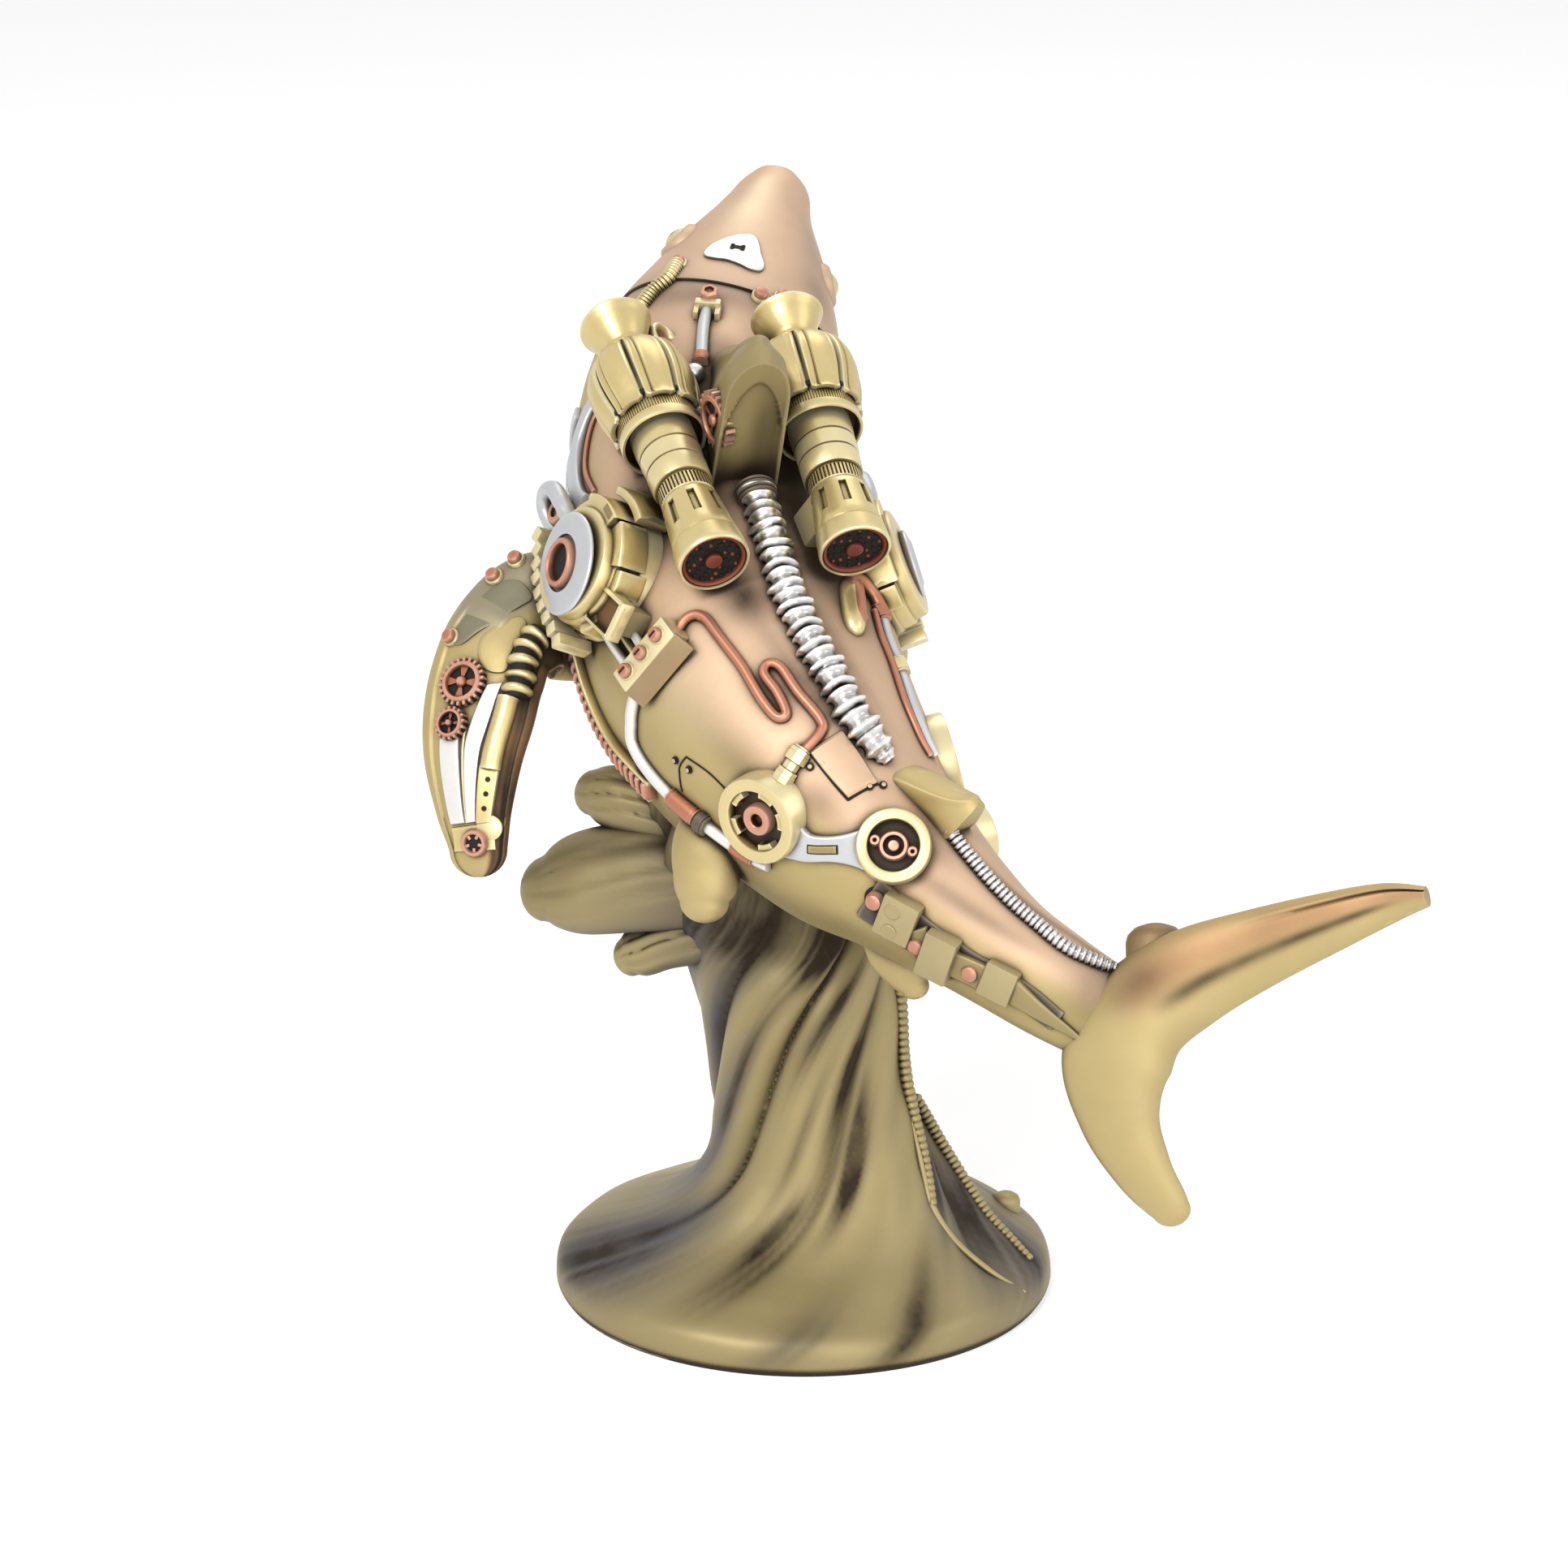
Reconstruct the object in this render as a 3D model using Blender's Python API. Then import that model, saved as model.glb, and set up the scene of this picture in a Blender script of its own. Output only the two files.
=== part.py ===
"""Clockwork shark leaping over a breaking wave: one solid resin casting, about 0.25 m tall.

Run with blender --background --python part.py. Metres, +Z up. The origin is the middle of the
flat underside. The shark's back faces -Y, its snout points up and away towards +Y, and its
tail sweeps round to +X. Port is the shark's left side, towards -X.

Every shape is a closed solid of its own, sunk a little into what carries it, and one Boolean
union makes them the single casting. A place on the shark is (t, degrees): t runs from 0 at the
snout to 1 at the tail root, and degrees from 0 on the back, up to 180 to port, down to -180 to
starboard. What sits on the shark follows its skin when the body's sizes change.
"""

import math

import bmesh
import bpy
from mathutils import Matrix, Vector

MM = 0.001
# Facets that meet at less than this many degrees become one.
FLAT_ANGLE = 4.0

# Shark's middle line from snout to tail root, in mm:
# x, y, z, half width, height of the back above it, depth of the belly below it.
BODY_STATIONS = (
    (-6.5, 110.5, 240.5, 4.0, 4.0, 4.0),
    (-7.5, 106.5, 235.0, 8.5, 8.0, 8.5),
    (-9.5, 100.5, 229.5, 12.5, 11.5, 12.5),
    (-12.0, 93.0, 222.5, 18.0, 15.5, 17.0),
    (-15.0, 84.5, 214.0, 23.5, 20.0, 22.0),
    (-18.5, 73.0, 204.0, 28.5, 25.0, 27.5),
    (-21.0, 59.0, 192.5, 31.5, 29.0, 31.0),
    (-21.0, 40.5, 180.5, 33.0, 31.5, 33.0),
    (-19.5, 22.5, 168.0, 34.5, 33.0, 37.0),
    (-14.5, 3.0, 154.5, 34.5, 33.0, 37.0),
    (-6.5, -14.0, 142.5, 32.0, 31.0, 34.0),
    (3.5, -29.0, 132.0, 27.5, 28.0, 28.5),
    (12.5, -39.0, 123.5, 23.0, 24.0, 24.0),
    (23.0, -48.0, 116.5, 18.0, 19.0, 19.0),
    (33.0, -55.5, 110.0, 14.5, 15.5, 15.5),
    (43.5, -62.5, 103.5, 11.5, 13.0, 13.0),
    (54.0, -68.5, 98.0, 9.5, 12.0, 12.0),
    (64.5, -73.5, 93.0, 7.0, 11.0, 11.0),
)
# The way the back faces, at even steps from snout to tail root.
BACK_WAYS = (
    (0.16, -0.46, 0.87),
    (0.12, -0.47, 0.88),
    (0.14, -0.46, 0.87),
    (0.34, -0.37, 0.86),
    (0.60, -0.05, 0.80),
)
# Under 1 fills out the belly's section, from an ellipse towards a box.
BELLY_POWER = 0.85
BODY_RINGS = 36
BODY_SIDES = 20

# Wave column from the flat underside up into the belly, in mm: height, radius, x, y, and how
# far its ring has turned from level to lie along the belly.
WAVE_STATIONS = (
    (0.0, 57.0, 0.0, 0.0, 0.0),
    (2.5, 58.0, 0.0, 0.0, 0.0),
    (8.0, 56.5, 0.0, 0.0, 0.0),
    (12.5, 49.0, 1.2, 0.0, 0.0),
    (17.5, 40.0, 3.4, 0.0, 0.0),
    (23.0, 33.8, 4.8, 0.0, 0.0),
    (29.0, 29.5, 5.0, 0.0, 0.0),
    (36.0, 26.4, 4.2, 0.0, 0.0),
    (46.0, 24.4, 2.4, 0.0, 0.0),
    (58.0, 23.4, 0.8, 0.0, 0.0),
    (70.0, 23.8, -0.8, 0.0, 0.1),
    (81.0, 24.7, -2.6, 0.5, 0.3),
    (92.0, 26.0, -5.0, 1.5, 0.6),
    (104.0, 27.5, -8.0, 3.0, 0.9),
    (124.0, 25.0, -11.0, 5.0, 1.0),
)
WAVE_RINGS = 19
WAVE_SIDES = 30
FLUTES = 6
FLUTE_DEPTH = 2.6 * MM
FLUTE_TURN = 0.42
FLUTE_START = 9.0 * MM
FLUTE_FULL = 32.0 * MM

# Splash lobes from inside the column out to their tips, in mm:
# x, y, z, half width, half thickness. The last two are on the hidden side.
SPLASH_FACING = (-0.25, -0.75, 0.55)
SPLASH_LOBES = (
    (
        (-8, -3, 101, 8, 6),
        (-22, 0, 110, 8, 6.5),
        (-35, 4, 114, 8, 6.5),
        (-45.5, 9, 116, 7, 5.5),
        (-51.5, 12, 115.5, 2.5, 2),
    ),
    (
        (-6, -3, 96, 10, 7),
        (-20, -7, 100, 11.5, 7.5),
        (-35, -4, 100.5, 13, 7),
        (-50, 1, 97.5, 12.5, 6.5),
        (-58, 4, 95, 9, 5),
        (-61.5, 5, 94, 3, 2),
    ),
    (
        (-6, -5, 86, 7, 6),
        (-20, -9, 89, 7.5, 6.5),
        (-31, -7, 86.5, 7, 6),
        (-38, -5, 82.5, 6, 5),
        (-41.5, -4, 80, 2.5, 2),
    ),
    (
        (-6, 6, 100, 9, 7),
        (-18, 26, 110, 10, 7),
        (-26, 40, 112, 9, 6),
        (-29, 47, 110, 3, 2),
    ),
    (
        (4, 6, 94, 9, 7),
        (14, 26, 100, 9.5, 7),
        (20, 38, 101, 8, 6),
        (23, 45, 99, 3, 2),
    ),
)
LOBE_SIDES = 10
LOBE_RINGS = 6

# Gold hoses down the foot of the wave, as turn in degrees from +X and height in mm.
FOOT_HOSES = (
    ((-24, 76), (-30, 66), (-38, 56), (-47, 46), (-54, 38), (-56, 32)),
    ((-16, 52), (-22, 44), (-27, 37), (-30, 30), (-32, 24), (-33, 19)),
)
FOOT_HOSE_RADIUS = 1.5 * MM
FOOT_BUMP_PLACE = (-8, 22)
FOOT_BUMP_RADIUS = 4.5 * MM

# Fins as offsets in mm from their place on the skin: x, y, z, half chord, half thickness.
PORT_FIN_ROOT = (0.490, 100)
PORT_FIN_FACING = (-0.40, -0.87, 0.28)
PORT_FIN = (
    (14, 4, 0, 15, 6),
    (1, 1, 0, 15, 6.5),
    (-9, -4, 1, 14.5, 6),
    (-16, -10, -4, 14.0, 5.5),
    (-19, -15, -11, 14.3, 5),
    (-20.5, -20, -18, 14.0, 4.6),
    (-21.5, -25, -26, 12.4, 4.2),
    (-21.3, -30, -36, 9.6, 3.6),
    (-20.5, -32.5, -43, 6.4, 3),
    (-20, -34, -47, 2, 1.4),
)
STARBOARD_FIN_ROOT = (0.470, -112)
STARBOARD_FIN_FACING = (0.90, 0.0, 0.38)
STARBOARD_FIN = (
    (-12, -4, 6, 14, 6),
    (0, 0, 0, 14.5, 6.5),
    (6, 10, -5, 14, 5.5),
    (8, 21, -12, 13, 5),
    (7, 32, -20, 11, 4.2),
    (4, 42, -29, 8, 3.4),
    (1, 49, -36, 2.5, 1.5),
)
PELVIC_PLACE = (0.645, 116)
PELVIC_FACING = (-0.30, -0.90, 0.30)
PELVIC_FIN = (
    (4, 6, 8, 8, 5),
    (0, 0, 1, 8.2, 5.5),
    (-0.5, -3, -5, 7.8, 5),
    (-1, -5, -10, 6.4, 4),
    (-1, -6, -14, 2.2, 1.5),
)
ANAL_PLACE = (0.800, 172)
ANAL_FIN = (
    (-2, 2, 6, 8, 3),
    (0, 0, 0, 7.5, 3),
    (2, -0.5, -5, 5, 2.4),
    (4, -1, -8.5, 1.5, 1),
)
TAIL_FACING = (-0.40, -0.905, 0.12)
TAIL_FIN = (
    (65.5, -24.1, 35.5, 0.9, 1.0),
    (57.8, -19.8, 32.4, 4.4, 1.9),
    (47.1, -16.2, 27.3, 6.3, 2.6),
    (31.7, -9.6, 18.6, 8.6, 3.6),
    (18.0, -5.9, 10.6, 10.7, 5.0),
    (7.4, -4.6, 1.7, 11.5, 6.6),
    (2.3, -5.9, -8.9, 12.3, 6.2),
    (3.2, -8.8, -20.9, 9.2, 4.6),
    (8.2, -11.2, -31.6, 6.8, 3.4),
    (13.3, -12.4, -38.6, 4.6, 2.6),
    (16.0, -12.6, -42.5, 1.2, 1.2),
)
FIN_SIDES = 10
FIN_RINGS = 10
TAIL_RINGS = 13

DORSAL_FRONT = 0.375
DORSAL_REAR = 0.487
DORSAL_HEIGHT = 35 * MM
DORSAL_TOP_CHORD = 15 * MM
DORSAL_LEAN = 9 * MM
DORSAL_HALF = 7.4 * MM
DORSAL_FRONT_HALF = 2.6 * MM
SECOND_DORSAL_FRONT = 0.705
SECOND_DORSAL_REAR = 0.785
SECOND_DORSAL_HEIGHT = 14 * MM
SECOND_DORSAL_TOP_CHORD = 6 * MM
SECOND_DORSAL_LEAN = -9 * MM
SECOND_DORSAL_HALF = 3.2 * MM
SECOND_DORSAL_FRONT_HALF = 1.5 * MM
BACK_FIN_SINK = 4 * MM

# Jets, each from its funnel's rim to its nozzle: (t, degrees) at both ends.
JETS = (((0.362, 38), (0.555, 26)), ((0.352, -18), (0.548, -21)))
JET_LIFT = 10.5 * MM
JET_LENGTH = 82 * MM
FUNNEL_RADIUS = 8.3 * MM
FUNNEL_LENGTH = 8.5 * MM
NECK_RADIUS = 3.7 * MM
PETAL_RADIUS = 11.7 * MM
PETAL_START = 10 * MM
PETAL_LENGTH = 25 * MM
PETALS = 8
PETAL_GROOVE = 1.1 * MM
COLLAR_RADIUS = 9.4 * MM
COLLAR_LENGTH = 6 * MM
BARREL_RADIUS = 6.4 * MM
BARREL_LENGTH = 20 * MM
NOZZLE_RADIUS = 8.1 * MM
NOZZLE_WALL = 1.0 * MM
NOZZLE_RECESS = 1.8 * MM
JET_SADDLE = 9 * MM

# Shoulder wheels: (t, degrees) of each, port and starboard.
WHEELS = ((0.500, 64), (0.515, -62))
WHEEL_RADIUS = 17.5 * MM
WHEEL_HEIGHT = 7.5 * MM
WHEEL_DISC_RADIUS = 12.7 * MM
WHEEL_DISC_HEIGHT = 12 * MM
WHEEL_HUB_RADIUS = 5.2 * MM
WHEEL_HOLE_RADIUS = 3.2 * MM
WHEEL_HOLE_DEPTH = 5 * MM
WHEEL_BLOCKS = 8
WHEEL_BLOCK = (5.5 * MM, 6.5 * MM, 9 * MM)
WHEEL_SINK = 9 * MM

SPINE_HOSE = ((0.490, -3), (0.528, -2), (0.572, 2), (0.628, 6), (0.669, 9), (0.712, 8))
SPINE_HOSE_RADIUS = 3.1 * MM
SPINE_HOSE_NECK = 2.2 * MM
SPINE_HOSE_RIDGES = 15
TAIL_HOSE = ((0.775, 8), (0.821, 15), (0.852, 20), (0.900, 26), (0.945, 33), (0.990, 20))
TAIL_HOSE_RADIUS = 1.6 * MM
TAIL_HOSE_NECK = 1.15 * MM
TAIL_HOSE_RIDGES = 13
HOSE_LIFT = 0.8 * MM

PIPE_RADIUS = 1.25 * MM
PIPE_LIFT = 0.6 * MM
PIPE_SIDES = 6
# Pipes along the skin, as (t, degrees).
COPPER_PIPE = (
    (0.566, 50), (0.559, 41), (0.563, 35), (0.579, 34), (0.603, 34), (0.628, 37),
    (0.640, 37), (0.641, 33), (0.628, 30), (0.614, 29), (0.610, 25), (0.616, 22),
    (0.634, 23), (0.655, 23), (0.662, 27), (0.666, 40), (0.669, 58),
)
FLANK_PIPE = (
    (0.568, 72), (0.575, 90), (0.585, 97), (0.615, 100), (0.650, 100), (0.682, 98), (0.697, 96),
)
HEAD_PIPE = ((0.308, 9), (0.335, 9.5), (0.383, 10), (0.402, 16))
HEAD_HOSE = ((0.259, 34), (0.280, 34), (0.295, 40), (0.312, 44))
STARBOARD_ARCH = ((0.566, -19), (0.552, -34), (0.552, -45), (0.560, -60))
STARBOARD_PIPE = (
    (0.560, -60), (0.600, -50), (0.634, -38), (0.662, -33), (0.695, -33), (0.717, -46),
)
ROD_ENDS = (((0.505, 72), (0.552, 66)), ((0.512, 84), (0.556, 77)))

# Ring joints on the flanks: t, degrees, radius in mm.
RING_JOINTS = ((0.676, 76, 10.0), (0.766, 46, 8.2), (0.690, -66, 10.0), (0.766, -78, 8.2))
RING_HEIGHT = 3.6 * MM
RING_SINK = 5 * MM
RING_WALL = 0.34
HUB_SHARE = 0.36
HUB_HOLE_SHARE = 0.14
STRAPS = (((0.690, 77), (0.712, 76), (0.735, 67), (0.758, 54)), ((0.702, -67), (0.732, -72), (0.756, -77)))
STRAP_WIDTH = 7 * MM
STRAP_HEIGHT = 1.4 * MM

VALVE_BOX_PLACE = (0.566, 66)
VALVE_BOX = (6.5 * MM, 19 * MM, 5 * MM)
# Clamps on the tail's flank: t, degrees, length, width and height in mm.
TAIL_CLAMPS = ((0.803, 88, 8, 10, 2.6), (0.848, 99, 7, 11, 3.2), (0.905, 96, 7, 8, 2.6))
CLAMP_SINK = 3 * MM

BOLT_RADIUS = 1.7 * MM
BOLT_HEIGHT = 1.5 * MM
BOLT_SINK = 2 * MM
BOLTS = (
    (0.259, 34), (0.290, -13), (0.281, -24), (0.308, 9), (0.779, 84), (0.828, 99),
    (0.879, 99), (0.590, -25), (0.402, 16),
)
VALVE_BOLT_STEP = 5.6 * MM

EYES = ((0.190, 70), (0.190, -84))
EYE_RADIUS = 5.5 * MM
EYE_HEIGHT = 2.6 * MM
HEAD_PLATE_PLACE = (0.226, 3)
HEAD_PLATE = (7 * MM, 11 * MM, 0.9 * MM)
EYELET_PLACE = (0.362, 24)
EYELET_RADIUS = 3.2 * MM
EYELET_WIRE = 1.0 * MM
# Gill bands on both sides: t, and the degrees they start and end at.
GILL_BANDS = ((0.372, 66, 112), (0.402, 64, 114), (0.432, 66, 112))
GILL_WIDTH = 3.2 * MM
GILL_HEIGHT = 1.3 * MM
# Mouth line under the head, as (t, degrees) from the middle to its corner.
MOUTH = ((0.130, 180), (0.145, 160), (0.180, 142), (0.230, 128), (0.275, 118))
MOUTH_RADIUS = 1.5 * MM
TRACK = ((0.520, 104), (0.545, 109), (0.570, 111), (0.596, 109), (0.620, 108))
TRACK_WIDTH = 4.5 * MM
TRACK_HEIGHT = 2.2 * MM

# Raised work on the port fin: place along it, place across it from -1 to 1, radius in mm.
FIN_GEARS = ((0.46, -0.42, 5.1), (0.60, -0.50, 3.4))
FIN_TIP_RING = (0.90, 0.0, 3.4)
FIN_BAR = (0.76, 0.55, 11 * MM, 4.2 * MM)
FIN_COIL = ((0.22, 0.55), (0.47, 0.62))
FIN_COIL_RADIUS = 3.4 * MM
FIN_COIL_NECK = 2.4 * MM
FIN_COIL_RIDGES = 5
FIN_RAISE = 1.2 * MM
TAIL_DOME_PLACE = (11.0, 4.0, 15.0)
TAIL_DOME_RADIUS = 6.5 * MM


def spline(points, t):
    """Catmull-Rom value at t, from 0 at the first row to 1 at the last, for rows of any width."""
    last = len(points) - 1
    place = min(max(t, 0.0), 1.0) * last
    i = min(int(place), last - 1)
    u = place - i
    rows = [points[min(max(i + k, 0), last)] for k in (-1, 0, 1, 2)]
    weights = (
        -0.5 * u + u * u - 0.5 * u**3,
        1 - 2.5 * u * u + 1.5 * u**3,
        0.5 * u + 2 * u * u - 1.5 * u**3,
        -0.5 * u * u + 0.5 * u**3,
    )
    return [sum(w * row[k] for w, row in zip(weights, rows)) for k in range(len(points[0]))]


def body_frame(t):
    """Middle, the ways along, across to port and up, and the half sizes of the body at t."""
    x, y, z, half, above, below = spline(BODY_STATIONS, t)
    ahead = Vector(spline(BODY_STATIONS, t + 0.01)[:3])
    behind = Vector(spline(BODY_STATIONS, t - 0.01)[:3])
    along = (ahead - behind).normalized()
    back = Vector(spline(BACK_WAYS, t))
    up = (back - along * back.dot(along)).normalized()
    across = along.cross(up)
    return Vector((x, y, z)) * MM, along, across, up, half * MM, above * MM, below * MM


def skin(t, degrees, lift=0.0):
    """Point on the body at t; 0 degrees is the back, 90 port and -90 starboard."""
    middle, _, across, up, half, above, below = body_frame(t)
    a = math.radians(degrees)
    side, tall, power = math.sin(a), math.cos(a), 1.0
    if tall < 0:
        power = BELLY_POWER
    wide = math.copysign(abs(side) ** power, side) * (half + lift)
    high = math.copysign(abs(tall) ** power, tall) * ((above if tall >= 0 else below) + lift)
    return middle + across * wide + up * high


def seat(t, degrees, lift=0.0, turn=0.0):
    """Placing matrix on the skin: X runs tailwards, Z out of the skin, turned about Z."""
    along = (skin(t + 0.01, degrees) - skin(t - 0.01, degrees)).normalized()
    around = skin(t, degrees + 2) - skin(t, degrees - 2)
    out = around.cross(along).normalized()
    axes = Matrix((along, out.cross(along), out)).transposed().to_4x4()
    place = Matrix.Translation(skin(t, degrees) + out * lift)
    return place @ axes @ Matrix.Rotation(math.radians(turn), 4, "Z")


def finish(name, colour, metallic, roughness):
    made = bpy.data.materials.get(name)
    if made is None:
        made = bpy.data.materials.new(name)
        made.use_nodes = True
        shader = made.node_tree.nodes["Principled BSDF"]
        shader.inputs["Base Color"].default_value = (*colour, 1.0)
        shader.inputs["Metallic"].default_value = metallic
        shader.inputs["Roughness"].default_value = roughness
    return made


def gold():
    return finish("pale_gold", (0.62, 0.50, 0.25), 0.7, 0.38)


def copper():
    return finish("copper", (0.62, 0.26, 0.16), 0.7, 0.4)


def silver():
    return finish("silver", (0.72, 0.72, 0.72), 0.8, 0.3)


def bronze():
    return finish("antique_bronze", (0.36, 0.30, 0.16), 0.6, 0.45)


def mesh_object(name, bm, material):
    """Closed mesh of triangles, as an object that the union takes up."""
    bmesh.ops.recalc_face_normals(bm, faces=bm.faces)
    bmesh.ops.triangulate(bm, faces=bm.faces)
    mesh = bpy.data.meshes.new(name)
    bm.to_mesh(mesh)
    bm.free()
    mesh.materials.append(material)
    made = bpy.data.objects.new(name, mesh)
    bpy.context.scene.collection.objects.link(made)
    return made


def loft(name, rings, material):
    """Closed solid through rings of as many points each, with its two ends filled."""
    bm = bmesh.new()
    loops = [[bm.verts.new(p) for p in ring] for ring in rings]
    for a, b in zip(loops, loops[1:]):
        for i in range(len(a)):
            j = (i + 1) % len(a)
            bm.faces.new((a[i], a[j], b[j], b[i]))
    for loop in (loops[0], loops[-1]):
        bm.faces.new(loop)
    return mesh_object(name, bm, material)


def turned(name, profile, sides, place, material, notch=0.0, every=3, rows=()):
    """Solid of revolution about the place's Z; profile is (radius, height) from base to tip.

    In the given rows of the profile, one point in every few is drawn in by the notch.
    """
    rings = []
    for row, (radius, height) in enumerate(profile):
        ring = []
        for k in range(sides):
            a = 2 * math.pi * k / sides
            r = radius - notch if row in rows and k % every == 0 else radius
            ring.append(place @ Vector((r * math.cos(a), r * math.sin(a), height)))
        rings.append(ring)
    return loft(name, rings, material)


def block(name, size, place, material, sink=0.0, taper=1.0):
    """Box with its base on the place's XY plane, sunk by sink, its top scaled by taper."""
    x, y, z = size[0] / 2, size[1] / 2, size[2]
    corners = ((-x, -y), (x, -y), (x, y), (-x, y))
    low = [place @ Vector((a, b, -sink)) for a, b in corners]
    high = [place @ Vector((a * taper, b * taper, z)) for a, b in corners]
    return loft(name, (low, high), material)


def tube(name, points, radii, sides, material):
    """Round tube through the points, with one radius for each."""
    rings = []
    last = len(points) - 1
    side = None
    for i, p in enumerate(points):
        way = (points[min(i + 1, last)] - points[max(i - 1, 0)]).normalized()
        if side is None:
            side = way.orthogonal()
        side = (side - way * side.dot(way)).normalized()
        other = way.cross(side)
        turns = [2 * math.pi * k / sides for k in range(sides)]
        rings.append([p + (side * math.cos(a) + other * math.sin(a)) * radii[i] for a in turns])
    return loft(name, rings, material)


def skin_path(rows, count, lift):
    """Evenly stepped points over the skin along a smooth route of (t, degrees)."""
    return [skin(*spline(rows, k / (count - 1)), lift) for k in range(count)]


def pipe(name, rows, radius, material, steps=2):
    points = skin_path(rows, steps * (len(rows) - 1) + 1, PIPE_LIFT)
    return tube(name, points, [radius] * len(points), PIPE_SIDES, material)


def ridged(name, points, ridges, high, low, sides, material):
    """Hose whose radius rises and falls once for each ridge."""
    count = 2 * ridges + 1
    line = [tuple(p) for p in points]
    route = [Vector(spline(line, k / (count - 1))) for k in range(count)]
    radii = [high if k % 2 else low for k in range(count)]
    return tube(name, route, radii, sides, material)


def ribbon(name, rows, width, height, sink, material, steps=2):
    """Flat strip along the skin: rows of (t, degrees), standing up by height."""
    rings = []
    count = steps * (len(rows) - 1) + 1
    for k in range(count):
        here = spline(rows, k / (count - 1))
        near = spline(rows, min(k / (count - 1) + 0.01, 1.0))
        back = spline(rows, max(k / (count - 1) - 0.01, 0.0))
        way = (skin(*near) - skin(*back)).normalized()
        out = seat(*here).to_3x3().col[2]
        out = (out - way * out.dot(way)).normalized()
        side = way.cross(out) * width / 2
        base = skin(*here)
        rings.append([
            base - side - out * sink,
            base + side - out * sink,
            base + side + out * height,
            base - side + out * height,
        ])
    return loft(name, rings, material)


def blade_point(rows, base, facing, u, a, lift=0.0):
    """Point on a fin: u runs along it, and a is the angle round its section."""
    x, y, z, chord, thick = spline(rows, u)
    ahead = Vector(spline(rows, u + 0.02)[:3])
    behind = Vector(spline(rows, u - 0.02)[:3])
    way = (ahead - behind).normalized()
    face = Vector(facing)
    face = (face - way * face.dot(way)).normalized()
    across = face.cross(way)
    middle = base + Vector((x, y, z)) * MM
    return middle + across * chord * MM * math.cos(a) + face * (thick * MM + lift) * math.sin(a)


def blade(name, rows, base, facing, rings, material):
    turns = [2 * math.pi * k / FIN_SIDES for k in range(FIN_SIDES)]
    loops = [
        [blade_point(rows, base, facing, i / (rings - 1), a) for a in turns]
        for i in range(rings)
    ]
    return loft(name, loops, material)


def shark_body():
    rings = []
    for i in range(BODY_RINGS + 1):
        t = i / BODY_RINGS
        rings.append([skin(t, 360 * k / BODY_SIDES) for k in range(BODY_SIDES)])
    return loft("figurine", rings, gold())


def ease(x):
    x = min(max(x, 0.0), 1.0)
    return x * x * (3 - 2 * x)


def wave_point(u, degrees, lift=0.0):
    """Point on the wave column; u runs from 0 at its foot to 1 in the belly."""
    height, radius, x, y, lean = spline(WAVE_STATIONS, u)
    _, along, across, _, _, _, _ = body_frame(0.53)
    east = Vector((1, 0, 0)).lerp(-across, lean).normalized()
    north = Vector((0, 1, 0)).lerp(-along, lean).normalized()
    a = math.radians(degrees)
    swirl = a - FLUTE_TURN * height / 20
    depth = FLUTE_DEPTH * ease((height * MM - FLUTE_START) / (FLUTE_FULL - FLUTE_START))
    groove = 1 - abs(math.sin(FLUTES * swirl / 2 + 0.5 * math.sin(2 * swirl)))
    r = radius * MM + lift - depth * groove**1.5
    return Vector((x, y, height)) * MM + (east * math.cos(a) + north * math.sin(a)) * r


def wave_column():
    rings = []
    for i in range(WAVE_RINGS + 1):
        u = i / WAVE_RINGS
        rings.append([wave_point(u, 360 * k / WAVE_SIDES) for k in range(WAVE_SIDES)])
    return [loft("wave", rings, bronze())]


def splash_lobes():
    made = []
    turns = [2 * math.pi * k / LOBE_SIDES for k in range(LOBE_SIDES)]
    for n, rows in enumerate(SPLASH_LOBES):
        loops = [
            [blade_point(rows, Vector(), SPLASH_FACING, i / LOBE_RINGS, a) for a in turns]
            for i in range(LOBE_RINGS + 1)
        ]
        made.append(loft(f"splash_{n + 1}", loops, bronze()))
    return made


def wave_share(height):
    """Share of the way up the column at which it reaches a height in mm."""
    low, high = 0.0, 1.0
    for _ in range(20):
        middle = (low + high) / 2
        if spline(WAVE_STATIONS, middle)[0] < height:
            low = middle
        else:
            high = middle
    return low


def foot_hoses():
    made = []
    for n, rows in enumerate(FOOT_HOSES):
        points = []
        for k in range(13):
            degrees, height = spline(rows, k / 12)
            points.append(wave_point(wave_share(height), degrees, HOSE_LIFT / 2))
        radii = [FOOT_HOSE_RADIUS * (1 - 0.5 * (k / 12) ** 3) for k in range(13)]
        made.append(tube(f"foot_hose_{n + 1}", points, radii, PIPE_SIDES, gold()))
    degrees, height = FOOT_BUMP_PLACE
    middle = wave_point(wave_share(height), degrees)
    r = FOOT_BUMP_RADIUS
    profile = ((r, -r), (r, r * 0.5), (r * 0.5, r * 0.9))
    made.append(turned("foot_bump", profile, 10, Matrix.Translation(middle), gold()))
    return made


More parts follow.
